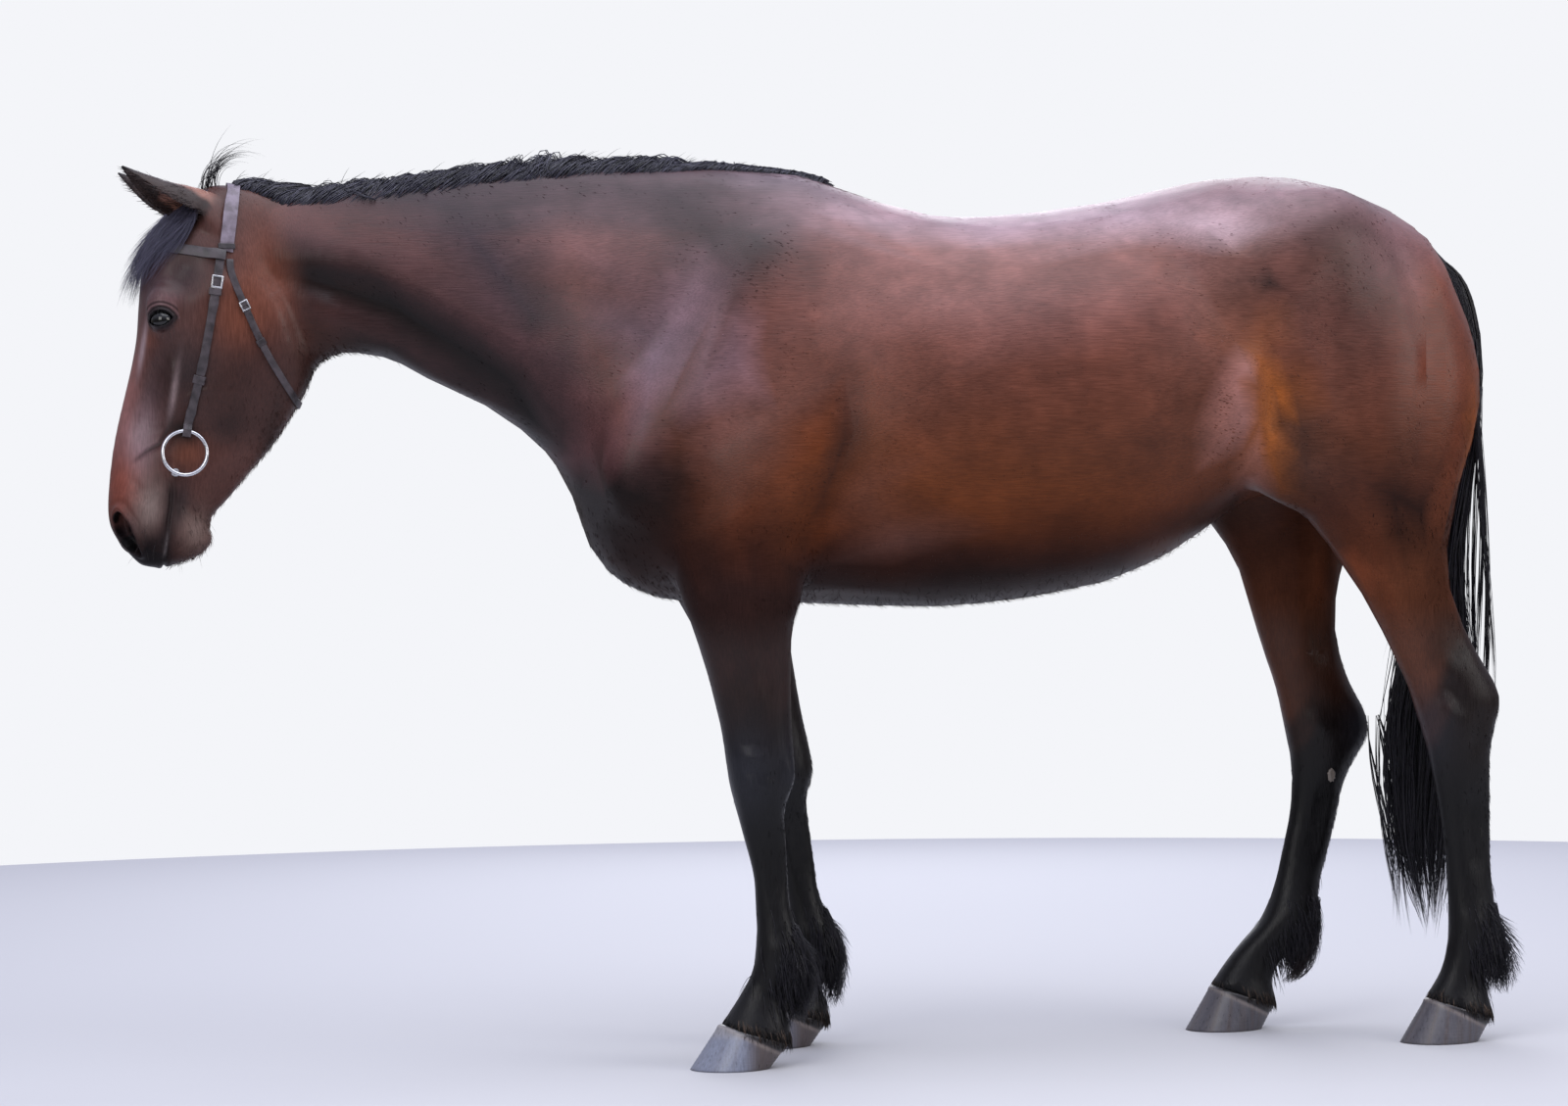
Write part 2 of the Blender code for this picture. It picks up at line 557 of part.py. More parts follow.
# ---------------------------------------------------------------- hooves
hoofLength = {"fore": 0.152, "hind": 0.154}
hoofWidth = {"fore": 0.066, "hind": 0.062}
for end, sideName, toe in (("fore", "left", -0.213), ("fore", "right", -0.072),
                           ("hind", "left", 1.170), ("hind", "right", 0.836)):
    key = end + "_" + sideName
    side = -1 if sideName == "left" else 1
    front, heel = hoofCuts[key]
    rings = []
    for share in (0.0, 0.04, 0.5, 1.0):
        ring = []
        grow = 1 - 0.16 * share
        inset = 0.004 if share in (0.0,) else 0.0
        for index in range(20):
            angle = 2 * math.pi * (index + 0.5) / 20
            c, s = math.cos(angle), math.sin(angle)
            # sole outline: round toe, straighter heel
            width = hoofWidth[end] * (1 - 0.10 * max(0.0, -c))
            lx = toe + hoofLength[end] * 0.5 * (1 - c * 1.0)
            low = Vector((lx + inset * c, side * legSpread + (width - inset) * s, 0))
            middle = (front + heel) / 2
            reach = (heel.x - front.x) / 2 * (1.02 if c > 0 else 1.03)
            tx = middle.x - c * reach
            tz = middle.z + (heel.z - front.z) / (heel.x - front.x) * (tx - middle.x)
            high = Vector((tx, side * legSpread + (hoofWidth[end] - 0.010) * s, tz - half))
            ring.append(low.lerp(high, share))
        rings.append(ring)
    nodes["hoof_" + key] = makeObject("hoof_" + key, shell(rings))

# ---------------------------------------------------------------- eyes
for sideName, side in (("left", -1), ("right", 1)):
    middle = inHead(eyeAlong, eyeFront, side * eyeSide)
    for radius in (eyeRadius + gap, eyeRadius):
        bm = bmesh.new()
        bmesh.ops.create_icosphere(bm, subdivisions=2, radius=radius,
                                   matrix=Matrix.Translation(middle))
        ball = makeObject("eye_" + sideName, bm)
        if radius > eyeRadius:
            cut(head, ball)
            drop(ball)
    nodes["eye_" + sideName] = ball

# ---------------------------------------------------------------- ears
earSteps = [(0.00, 0.024, 0.028), (0.15, 0.030, 0.030), (0.32, 0.035, 0.026), (0.50, 0.034, 0.020),
            (0.68, 0.027, 0.015), (0.84, 0.017, 0.009), (0.95, 0.008, 0.004), (1.00, 0.003, 0.0015)]
for sideName, side in (("left", -1), ("right", 1)):
    root = inHead(0.068, 0.018, side * 0.052)
    tip = inHead(-0.016, 0.187, side * 0.080)
    run = tip - root
    axis = run.normalized()
    opening = (headAxis * 0.75 + faceAxis * 0.45 + Vector((0, side * 0.55, 0)))
    opening = (opening - axis * opening.dot(axis)).normalized()
    across = axis.cross(opening).normalized()
    rings = []
    for share, halfWide, deep in catmull(earSteps, 1):
        bend = axis.cross(Vector((0, 1, 0))).normalized() * 0.010 * math.sin(math.pi * share)
        middle = root + run * share + bend
        wall = 0.0028 + 0.010 * max(0.0, 0.30 - share)
        outer, inner = [], []
        for index in range(9):
            angle = math.pi * index / 8
            outer.append(middle + across * halfWide * math.cos(angle)
                         - opening * deep * math.sin(angle))
        for index in range(1, 6):
            angle = math.pi * (1 - index / 6)
            inner.append(middle + across * (halfWide - wall * 0.6) * math.cos(angle)
                         - opening * max(deep - wall, 0.0002) * math.sin(angle)
                         * (1.0 if share > 0.12 else 0.35))
        rings.append(outer + inner)
    ear = makeObject("ear_" + sideName, shell(rings))
    cut(ear, guard)
    nodes[ear.name] = ear

# ---------------------------------------------------------------- hair masses


def hairLoft(name, rows, steps=2, sides=16, clear=()):
    """Loft along a route: x, y, z, half size along the first way, half size across."""
    rings = []
    rows = catmull(rows, steps)
    spots = [Vector(row[:3]) for row in rows]
    for index, row in enumerate(rows):
        ahead = spots[min(index + 1, len(spots) - 1)]
        behind = spots[max(index - 1, 0)]
        run = (ahead - behind).normalized()
        wide = Vector((0, 1, 0))
        wide = (wide - run * wide.dot(run)).normalized()
        deep = run.cross(wide)
        rings.append([spots[index] + deep * row[3] * math.cos(a) + wide * row[4] * math.sin(a)
                      for a in [2 * math.pi * (k + 0.5) / sides for k in range(sides)]])
    item = makeObject(name, shell(rings))
    for tool in (guard,) + tuple(clear):
        cut(item, tool)
    return item


tailRoute = [
    (1.298, 0.000, 1.524, 0.012, 0.018), (1.345, 0.000, 1.476, 0.022, 0.030),
    (1.368, 0.000, 1.395, 0.030, 0.042), (1.374, 0.000, 1.290, 0.036, 0.052),
    (1.364, 0.000, 1.160, 0.038, 0.058), (1.338, 0.000, 1.030, 0.044, 0.064),
    (1.314, 0.002, 0.900, 0.062, 0.068), (1.298, 0.004, 0.750, 0.102, 0.072),
    (1.286, 0.006, 0.600, 0.106, 0.070), (1.284, 0.008, 0.450, 0.082, 0.058),
    (1.292, 0.010, 0.310, 0.048, 0.040), (1.300, 0.010, 0.195, 0.012, 0.012),
]
nodes["tail"] = hairLoft("tail", tailRoute, 1, 14)

featherRoutes = {
    "fore_left": [(-0.020, 0.300), (0.000, 0.250), (0.012, 0.200), (0.014, 0.150), (0.004, 0.105),
                  (-0.014, 0.070)],
    "fore_right": [(0.098, 0.300), (0.120, 0.250), (0.132, 0.200), (0.136, 0.150),
                   (0.128, 0.105), (0.112, 0.070)],
    "hind_left": [(1.345, 0.300), (1.362, 0.250), (1.374, 0.200), (1.378, 0.150),
                  (1.372, 0.105), (1.358, 0.072)],
    "hind_right": [(1.092, 0.290), (1.096, 0.240), (1.092, 0.190), (1.082, 0.140),
                   (1.066, 0.096), (1.046, 0.062)],
}
featherSizes = [(0.008, 0.010), (0.020, 0.026), (0.028, 0.034), (0.031, 0.036), (0.026, 0.028),
                (0.008, 0.010)]
for key, route in featherRoutes.items():
    side = -1 if "left" in key else 1
    rows = [(x, side * legSpread, z, deep, wide)
            for (x, z), (deep, wide) in zip(route, featherSizes)]
    nodes["feather_" + key] = hairLoft("feather_" + key, rows, 1, 8, (nodes["hoof_" + key],))

# mane: a cap on the crest that rolls over to the right side of the neck
maneSteps = [(-1.010, 1.628, 0.024, 0.045), (-0.945, 1.634, 0.032, 0.110),
             (-0.875, 1.646, 0.042, 0.150), (-0.765, 1.669, 0.042, 0.170),
             (-0.655, 1.681, 0.053, 0.190), (-0.520, 1.690, 0.066, 0.200),
             (-0.395, 1.696, 0.062, 0.180), (-0.274, 1.700, 0.043, 0.140),
             (-0.148, 1.698, 0.026, 0.090), (-0.024, 1.691, 0.016, 0.050),
             (0.090, 1.668, 0.007, 0.020)]
rings = []
for x, z, rise, fall in catmull(maneSteps, 1):
    inner, outer = [], []
    for index in range(6):
        share = index / 5
        if index < 2:
            start = Vector((x, -0.016 + 0.014 * index, z - 0.012 + 0.006 * index))
        else:
            start = Vector((x, 0.30, z - 0.012 - fall * max(0.0, share - 0.30) / 0.70))
        place, normal = onSkin(start)
        if index >= 2:
            place, normal, hit, away = surface.ray_cast(start, Vector((0, -1, 0)))
        thick = rise if index in (1, 2) else rise * 0.75 * (1 - share) + 0.006
        if index == 0:
            thick = rise * 0.45
        lift = Vector((0, 0, 1)) if index < 3 else normal
        inner.append(place - normal * 0.003)
        outer.append(place + (lift * 0.6 + normal * 0.4).normalized() * thick)
    rings.append(outer + list(reversed(inner)))
mane = makeObject("mane", shell(rings))
cut(mane, guard)
nodes["mane"] = mane


# forelock: falls from between the ears down the forehead
forelockSteps = [(0.012, 0.040, 0.014, 0.014), (0.060, 0.078, 0.026, 0.020),
                 (0.120, 0.109, 0.040, 0.020), (0.180, 0.115, 0.038, 0.017),
                 (0.235, 0.112, 0.014, 0.008)]
rings = []
for along, front, halfWide, thick in catmull(forelockSteps, 2):
    middle = inHead(along, front)
    rings.append([middle + Vector((0, 1, 0)) * halfWide * math.cos(a)
                  + (faceAxis - headAxis * 0.15) * thick * (math.sin(a) - 0.15)
                  for a in [2 * math.pi * (k + 0.5) / 14 for k in range(10)]])
forelock = makeObject("forelock", shell(rings))
cut(forelock, guard)

# ---------------------------------------------------------------- bridle


def fromSide(along, front, side):
    """Skin point and outward direction met by a line across the head."""
    start = inHead(along, front, side * 0.4)
    place, normal, index, distance = surface.ray_cast(start, Vector((0, -side, 0)))
    return place, normal


def around(along, front, towards, angle):
    """Skin point met from outside, turning about a middle point in the crosswise plane."""
    middle = inHead(along, front)
    way = towards.normalized() * math.cos(angle) + Vector((0, 1, 0)) * math.sin(angle)
    place, normal, index, distance = surface.ray_cast(middle + way * 0.4, -way)
    return place, normal


def strap(name, spots, width, thick=strapThick, shape=None, clear=()):
    """Flat strap over (point, outward direction) pairs, lifted clear of the flesh.

    shape(share) gives extra inner lift, extra outer lift and extra width on each side.
    """
    count = len(spots)
    shape = shape or (lambda share: (0.0, 0.0, 0.0))
    normals = []
    for index in range(count):
        total = Vector((0, 0, 0))
        for near in range(max(0, index - 2), min(count, index + 3)):
            total += spots[near][1]
        normals.append(total.normalized())
    places = [spot[0].copy() for spot in spots]
    for turn in range(2):
        places = ([places[0]] + [(one + 2 * two + three) / 4 for one, two, three
                                 in zip(places, places[1:], places[2:])] + [places[-1]])
    frames = []
    for index in range(count):
        run = (places[min(index + 1, count - 1)] - places[max(index - 1, 0)]).normalized()
        normal = (normals[index] - run * normals[index].dot(run)).normalized()
        frames.append((normal, run.cross(normal)))
    for turn in range(8):
        for index in range(count - 1):
            worst = 0.0
            for step in [k / 8 for k in range(9)]:
                middle = places[index].lerp(places[index + 1], step)
                normal = frames[index][0].lerp(frames[index + 1][0], step).normalized()
                across = frames[index][1].lerp(frames[index + 1][1], step)
                for offset in [k / 8 - 0.5625 for k in range(10)]:
                    start = middle + across * width * offset + normal * 0.03
                    hit, way, face, away = facets.ray_cast(start, -normal, 0.06)
                    if hit is not None:
                        worst = max(worst, 0.03 - away + 0.0009)
            places[index] += frames[index][0] * worst * 0.8
            places[index + 1] += frames[index + 1][0] * worst * 0.8
    rings = []
    for index in range(count):
        normal, across = frames[index]
        low, high, wider = shape(index / (count - 1))
        half_ = width / 2 + wider
        rings.append([places[index] + across * offset + normal * out for offset, out in
                      ((-half_, low), (half_, low), (half_, thick + high), (-half_, thick + high))])
    item = makeObject(name, shell(rings))
    for tool in clear:
        cut(item, tool)
    return item


def standOff(item, distance=0.0004):
    """A copy of a node pushed out a little, to cut its neighbours with."""
    twin = copyOf(item, "cutter_" + item.name)
    places, ways = getPoints(twin)
    setPoints(twin, places + ways * distance)
    return twin


crownSpots = [around(0.110, -0.0265, -headAxis, math.radians(-92 + 184 * k / 16)) for k in range(17)]
crown = strap("bridle_crownpiece", crownSpots, 0.026)
crownGuard = standOff(crown)

browSpots = [around(0.121, 0.020, faceAxis, math.radians(-118 + 236 * k / 22)) for k in range(23)]


def browShape(share):
    rise = 0.0066 * min(1.0, max(0.0, abs(2 * share - 1) - 0.62) / 0.14)
    return rise, rise, 0.0


brow = strap("bridle_browband", browSpots, 0.020, thick=0.0032, shape=browShape)
browGuard = standOff(brow)

for sideName, side in (("left", -1), ("right", 1)):
    route = catmull([(0.126, -0.0175), (0.176, -0.0175), (0.249, -0.016), (0.325, -0.014),
                     (0.404, -0.007), (0.436, -0.004)], 4)
    spots = [fromSide(a, f, side) for a, f in route]
    outward = Vector((0, side, 0))
    for along in (0.441, 0.460):
        spots.append((inHead(along, -0.0045, side * 0.0665), outward))

    def cheekShape(share):
        near = any(abs(share - k) < 0.024 for k in (0.275, 0.55, 0.78))
        if share > 0.93:
            return 0.0008, 0.0092, 0.0
        return (0.0, 0.0020, 0.0012) if near else (0.0, 0.0, 0.0)
    cheek = strap("bridle_cheekpiece_" + sideName, spots, 0.0155, thick=0.0046, shape=cheekShape)
    nodes[cheek.name] = cheek
    # snaffle ring and its strap loop
    tilt = Matrix.Rotation(math.radians(-5 * side), 4, faceAxis)
    middle = inHead(bitAlong, bitFront, side * bitSide)

    def ringMesh(name, minor):
        bm = bmesh.new()
        turns, sides_ = 26, 6
        grid = []
        for i in range(turns):
            a = 2 * math.pi * i / turns
            out = headAxis * math.cos(a) + faceAxis * math.sin(a)
            row = []
            for j in range(sides_):
                b = 2 * math.pi * j / sides_
                spot = out * (ringMajor + minor * math.cos(b)) + Vector((0, 1, 0)) * minor * math.sin(b)
                row.append(bm.verts.new(middle + tilt.to_3x3() @ spot))
            grid.append(row)
        for i in range(turns):
            for j in range(sides_):
                bm.faces.new((grid[i][j], grid[(i + 1) % turns][j],
                              grid[(i + 1) % turns][(j + 1) % sides_], grid[i][(j + 1) % sides_]))
        return makeObject(name, bm)
    ring = ringMesh("bit_ring_" + sideName, ringMinor)
    ringGuard = ringMesh("cutter_ring_" + sideName, ringMinor + 0.0005)
    nodes[ring.name] = ring
    cut(cheek, ringGuard)
    nodes["cutter_ring_" + sideName] = ringGuard

nodes["bridle_crownpiece"] = crown
nodes["bridle_browband"] = brow

throatSide = [(0.126, -0.0355), (0.150, -0.0400), (0.195, -0.0660), (0.262, -0.108), (0.315, -0.150), (0.352, -0.184)]
leftSide = [fromSide(a, f, -1) for a, f in catmull(throatSide, 3)]
rightSide = [fromSide(a, f, 1) for a, f in catmull(throatSide, 3)]
under = []
for k in range(1, 8):
    angle = math.pi * k / 8
    under.append((inHead(0.368 + 0.006 * math.sin(angle), -0.190 - 0.026 * math.sin(angle) ** 0.8,
                         -0.052 * math.cos(angle)),
                  (-faceAxis * math.sin(angle) + Vector((0, -1, 0)) * math.cos(angle)).normalized()))
throatSpots = leftSide + under + list(reversed(rightSide))
throat = strap("bridle_throatlatch", throatSpots, 0.013, thick=0.0036)
nodes[throat.name] = throat



def treeOf(item):
    return BVHTree.FromPolygons([v.co for v in item.data.vertices],
                                [tuple(p.vertices) for p in item.data.polygons])


def buckle(name, item, along, front, side, lean, wide, tall, bar, deep):
    """Square frame lying on a strap, leaning in the head's side plane."""
    place, normal = fromSide(along, front, side)
    way = (headAxis * math.cos(lean) - faceAxis * math.sin(lean)).normalized()
    way = (way - normal * way.dot(normal)).normalized()
    across = way.cross(normal)
    tree = treeOf(item)
    lift = 0.0
    for i in range(-4, 5):
        for j in range(-4, 5):
            start = place + across * wide * i / 8 + way * tall * j / 8 + normal * 0.05
            hit, face, number, away = tree.ray_cast(start, -normal, 0.08)
            if hit is not None:
                lift = max(lift, 0.05 - away + 0.0005)
    bm = bmesh.new()
    corners = ((-1, -1), (1, -1), (1, 1), (-1, 1))
    loops = []
    for shrink, height in ((0, lift), (0, lift + deep), (bar, lift + deep), (bar, lift)):
        loops.append([bm.verts.new(place + across * (wide / 2 - shrink) * a
                                   + way * (tall / 2 - shrink) * b + normal * height)
                      for a, b in corners])
    for one, two in zip(loops, loops[1:] + loops[:1]):
        for k in range(4):
            bm.faces.new((one[k], one[(k + 1) % 4], two[(k + 1) % 4], two[k]))
    nodes[name] = makeObject(name, bm)


for sideName, side in (("left", -1), ("right", 1)):
    buckle("buckle_cheek_" + sideName, nodes["bridle_cheekpiece_" + sideName],
           0.172, -0.0175, side, 0.0, 0.021, 0.024, 0.0032, 0.0028)
    buckle("buckle_throat_" + sideName, throat, 0.207, -0.073, side, 0.60, 0.017, 0.019, 0.0026,
           0.0024)

# mouthpiece: a straight bar through the mouth with an eye round each ring
bm = bmesh.new()
rings = []
reach = bitSide + 0.0055
for share in (-1.0, -0.97, -0.84, -0.70, 0.70, 0.84, 0.97, 1.0):
    radius = 0.0080 if abs(share) > 0.80 else 0.0058
    if abs(share) == 1.0:
        radius = 0.0060
    rings.append([inHead(barAlong + radius * math.cos(a), barFront + radius * math.sin(a), reach * share)
                  for a in [2 * math.pi * k / 10 for k in range(10)]])
bar = makeObject("bit_mouthpiece", shell(rings))
barGuard = standOff(bar, 0.0005)
cut(head, barGuard)
for sideName in ("left", "right"):
    cut(bar, nodes["cutter_ring_" + sideName])
    drop(nodes.pop("cutter_ring_" + sideName))
nodes[bar.name] = bar
forelockClear = standOff(brow)
cut(forelock, forelockClear)
cut(forelock, crownGuard)
cut(mane, crownGuard)
for sideName in ("left", "right"):
    earClear = standOff(nodes["ear_" + sideName])
    cut(forelock, earClear)
    cut(crown, earClear)
    drop(earClear)
nodes["forelock"] = forelock
drop(crownGuard, browGuard, barGuard, forelockClear, guard, core)

# ---------------------------------------------------------------- colours and final place
colours = {
    "hoof": ((0.060, 0.056, 0.054, 1), 0.45, 0.0),
    "eye": ((0.012, 0.008, 0.006, 1), 0.05, 0.0),
    "mane": ((0.012, 0.011, 0.012, 1), 0.55, 0.0),
    "forelock": ((0.012, 0.011, 0.012, 1), 0.55, 0.0),
    "tail": ((0.010, 0.009, 0.009, 1), 0.55, 0.0),
    "feather": ((0.014, 0.011, 0.010, 1), 0.60, 0.0),
    "bridle": ((0.035, 0.026, 0.024, 1), 0.45, 0.0),
    "buckle": ((0.55, 0.55, 0.56, 1), 0.25, 1.0),
    "bit": ((0.60, 0.60, 0.62, 1), 0.18, 1.0),
    "lower": ((0.016, 0.013, 0.012, 1), 0.50, 0.0),
    "flesh": ((0.150, 0.045, 0.025, 1), 0.50, 0.0),
}


def colourOf(name):
    if name.endswith("_lower"):
        return "lower"
    first = name.split("_")[0]
    return first if first in colours else "flesh"


for name, item in nodes.items():
    item.name = name
    item.data.name = name
    item.data.transform(Matrix.Translation((-centreX, 0, 0)))
    kind = colourOf(name)
    material = bpy.data.materials.new(name)
    material.use_nodes = True
    shader = material.node_tree.nodes["Principled BSDF"]
    colour, rough, metal = colours[kind]
    shader.inputs["Base Color"].default_value = colour
    shader.inputs["Roughness"].default_value = rough
    shader.inputs["Metallic"].default_value = metal
    item.data.materials.clear()
    item.data.materials.append(material)
    item.data.shade_smooth()
    item.data.set_sharp_from_angle(angle=math.radians(50))
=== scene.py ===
import json
import math

import bmesh
import bpy
import numpy as np
from mathutils import Matrix, Quaternion, Vector
from mathutils.bvhtree import BVHTree
from mathutils.kdtree import KDTree

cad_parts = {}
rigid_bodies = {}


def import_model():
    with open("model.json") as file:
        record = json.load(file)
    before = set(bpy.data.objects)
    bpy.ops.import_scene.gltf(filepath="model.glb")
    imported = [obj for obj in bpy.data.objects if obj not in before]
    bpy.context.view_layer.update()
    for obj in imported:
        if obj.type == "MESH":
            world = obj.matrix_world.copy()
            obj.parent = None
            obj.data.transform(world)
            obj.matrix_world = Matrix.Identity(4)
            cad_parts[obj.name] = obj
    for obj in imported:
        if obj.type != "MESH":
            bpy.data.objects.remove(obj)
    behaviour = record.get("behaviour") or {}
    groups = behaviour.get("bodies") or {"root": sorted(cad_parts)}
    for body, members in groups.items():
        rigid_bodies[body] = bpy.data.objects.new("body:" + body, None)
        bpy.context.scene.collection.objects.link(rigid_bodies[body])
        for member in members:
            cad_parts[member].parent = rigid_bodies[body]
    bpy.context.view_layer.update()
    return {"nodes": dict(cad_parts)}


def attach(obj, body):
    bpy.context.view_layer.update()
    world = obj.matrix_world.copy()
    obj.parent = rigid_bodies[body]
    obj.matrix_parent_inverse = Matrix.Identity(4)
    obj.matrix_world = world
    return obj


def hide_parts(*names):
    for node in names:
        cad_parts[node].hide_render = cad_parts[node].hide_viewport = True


for item in list(bpy.data.objects):
    bpy.data.objects.remove(item)
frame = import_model()
nodes = frame["nodes"]
rng = np.random.default_rng(7)

# head axes: distances run from the poll down the face, and forward from the head's middle line
headTilt = math.radians(9.0)
poll = Vector((-1.1263, 0.0, 1.642))
downFace = Vector((-math.sin(headTilt), 0.0, -math.cos(headTilt)))
outFace = Vector((-math.cos(headTilt), 0.0, math.sin(headTilt)))


def inHead(along, front, across=0.0):
    return poll + downFace * along + outFace * front + Vector((0.0, across, 0.0))


def deselectAll():
    for item in list(bpy.context.selected_objects):
        item.select_set(False)


def activate(item):
    deselectAll()
    item.select_set(True)
    bpy.context.view_layer.objects.active = item


def addObject(name, shape):
    # a bmesh becomes the mesh of the new object
    if isinstance(shape, bmesh.types.BMesh):
        bm, shape = shape, bpy.data.meshes.new(name)
        bm.to_mesh(shape)
        bm.free()
    item = bpy.data.objects.new(name, shape)
    bpy.context.scene.collection.objects.link(item)
    return item


def addPrimitive(name, operator, **settings):
    deselectAll()
    operator(**settings)
    item = bpy.context.view_layer.objects.active
    item.name = name
    return item


def turnOut(item):
    # every face points outwards
    bm = bmesh.new()
    bm.from_mesh(item.data)
    bmesh.ops.recalc_face_normals(bm, faces=bm.faces)
    bm.to_mesh(item.data)
    bm.free()


def finishPiece(item, material, slotName, *replaced):
    item.data.materials.clear()
    item.data.materials.append(material)
    if replaced:
        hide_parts(*replaced)
    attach(item, "root")


def applyModifier(item, kind, **settings):
    activate(item)
    modifier = item.modifiers.new(kind.lower(), kind)
    for key, value in settings.items():
        setattr(modifier, key, value)
    bpy.ops.object.modifier_apply(modifier=modifier.name)


# camera and light
view = {"place": (-1.658, -8.1925, 1.03), "turn": -11.0, "down": 0.505, "roll": -0.014, "lens": 100.8}


def setCamera():
    turn, down = math.radians(view["turn"]), math.radians(view["down"])
    way = Vector((-math.sin(turn) * math.cos(down), math.cos(turn) * math.cos(down), -math.sin(down)))
    data = bpy.data.cameras.new("camera")
    data.lens = view["lens"]
    data.clip_end = 100
    item = addObject("camera", data)
    item.rotation_mode = "QUATERNION"
    item.rotation_quaternion = way.to_track_quat("-Z", "Y") @ Quaternion((0, 0, 1), view["roll"])
    item.location = view["place"]
    bpy.context.scene.camera = item


def addLight(name, place, target, size, power, colour):
    data = bpy.data.lights.new(name, "AREA")
    data.size = size
    data.energy = power
    data.color = colour
    item = addObject(name, data)
    item.location = place
    item.rotation_euler = (Vector(target) - Vector(place)).to_track_quat("-Z", "Y").to_euler()


def fromHex(text):
    # sRGB hex to linear colour
    parts = [int(text[i:i + 2], 16) / 255 for i in (1, 3, 5)]
    return tuple(p / 12.92 if p <= 0.04045 else ((p + 0.055) / 1.055) ** 2.4 for p in parts) + (1.0,)


def setNode(tree, node, *first, **values):
    # small letters name a setting, capitals a socket, and values without a name fill the first
    # sockets in order; a node given as the value is linked
    for key, value in values.items():
        if key[0].islower():
            setattr(node, key, value)
    sockets = {key: value for key, value in values.items() if key[0].isupper()}
    for key, value in list(enumerate(first)) + list(sockets.items()):
        socket = node.inputs[key] if isinstance(key, int) else next(
            slot for slot in node.inputs if slot.enabled and slot.name == key.replace("_", " "))
        if isinstance(value, bpy.types.Node):
            value = next(slot for slot in value.outputs if slot.enabled)
        if isinstance(value, bpy.types.NodeSocket):
            tree.links.new(value, socket)
        else:
            socket.default_value = value
    return node


def addNode(tree, kind, *first, **values):
    return setNode(tree, tree.nodes.new("ShaderNode" + kind), *first, **values)


def startMaterial(name, **values):
    material = bpy.data.materials.new(name)
    material.use_nodes = True
    tree = material.node_tree
    return material, tree, setNode(tree, tree.nodes["Principled BSDF"], **values)


def placeIn(tree):
    return addNode(tree, "TexCoord").outputs["Object"]


def paintIn(tree):
    return addNode(tree, "Attribute", attribute_name="coat").outputs["Color"]


setCamera()
print("camera ready")


def readRows(layer, field, size, kind=float):
    rows = np.empty(len(layer) * size, dtype=kind)
    layer.foreach_get(field, rows)
    return rows.reshape(-1, size)


def readPoints(item):
    return readRows(item.data.vertices, "co", 3)


def readNormals(item):
    return readRows(item.data.vertex_normals, "vector", 3)


def readEdges(item):
    return readRows(item.data.edges, "vertices", 2, np.int32)


def writePoints(item, points):
    item.data.vertices.foreach_set("co", points.ravel())
    item.data.update()


def relax(points, edges, weight, rounds, back=-0.52):
    # smooths without shrinking: one step in, one step out
    count = len(points)
    a, b = edges[:, 0], edges[:, 1]
    degree = np.maximum(np.bincount(a, minlength=count) + np.bincount(b, minlength=count), 1)
    for turn in range(rounds):
        for factor in ((0.5, back) if back else (0.5,)):
            total = np.empty_like(points)
            for axis in range(3):
                total[:, axis] = (np.bincount(a, points[b, axis], count)
                                  + np.bincount(b, points[a, axis], count))
            points = points + (total / degree[:, None] - points) * (weight * factor)[:, None]
    return points


def smoothLine(rows, steps=6):
    # Catmull-Rom curve through the rows
    table = np.array(rows, dtype=float)
    padded = np.vstack([2 * table[0] - table[1], table, 2 * table[-1] - table[-2]])
    out = []
    for index in range(len(table) - 1):
        p0, p1, p2, p3 = padded[index:index + 4]
        for t in np.arange(steps) / steps:
            out.append(0.5 * (2 * p1 + (p2 - p0) * t + (2 * p0 - 5 * p1 + 4 * p2 - p3) * t ** 2
                              + (3 * p1 - p0 - 3 * p2 + p3) * t ** 3))
    out.append(table[-1])
    return np.array(out)


def nearLine(points, line):
    # distance to a broken line, and how far along it the nearest place is (0 to 1)
    best = np.full(len(points), 1e9)
    share = np.zeros(len(points))
    count = len(line) - 1
    for index in range(count):
        a, run = line[index], line[index + 1] - line[index]
        t = np.clip((points - a) @ run / max(run @ run, 1e-12), 0, 1)
        away = np.linalg.norm(points - a - t[:, None] * run, axis=1)
        closer = away < best
        best[closer] = away[closer]
        share[closer] = (index + t[closer]) / count
    return best, share


def ramp(value, low, high):
    t = np.clip((value - low) / (high - low), 0, 1)
    return t * t * (3 - 2 * t)


def hill(value, width):
    return np.exp(-(value / width) ** 2)


def rowsAt(table, share):
    # every column of the table at shares of its length
    line = np.linspace(0, 1, len(table))
    return np.stack([np.interp(share, line, column) for column in table.T], axis=-1)


def unit(rows):
    return rows / np.maximum(np.linalg.norm(rows, axis=-1, keepdims=True), 1e-9)


def headPlaces(points):
    # (along the face, out from the face line, across)
    away = points - np.array(poll)
    return np.stack([away @ np.array(downFace), away @ np.array(outFace), points[:, 1]], axis=1)


skinBuild = {
    "voxel": 0.0052, "coatDepth": 0.0025, "faceCoatDepth": 0.0008,
    "triangles": 190000, "eyeRadius": 0.0215, "lidThick": 0.0024,
    "eyePlace": (0.255, 0.07, 0.086),
}
earBuild = {
    "root": (0.072, 0.016, 0.052), "tip": (-0.013, 0.183, 0.0795), "bow": 0.01,
    "steps": [(-0.26, 0.032, 0.058), (0.0, 0.036, 0.068), (0.15, 0.0385, 0.069),
              (0.32, 0.0385, 0.06), (0.5, 0.034, 0.045), (0.68, 0.0265, 0.03),
              (0.84, 0.0165, 0.016), (0.95, 0.008, 0.0068), (1.0, 0.003, 0.0022)],
}


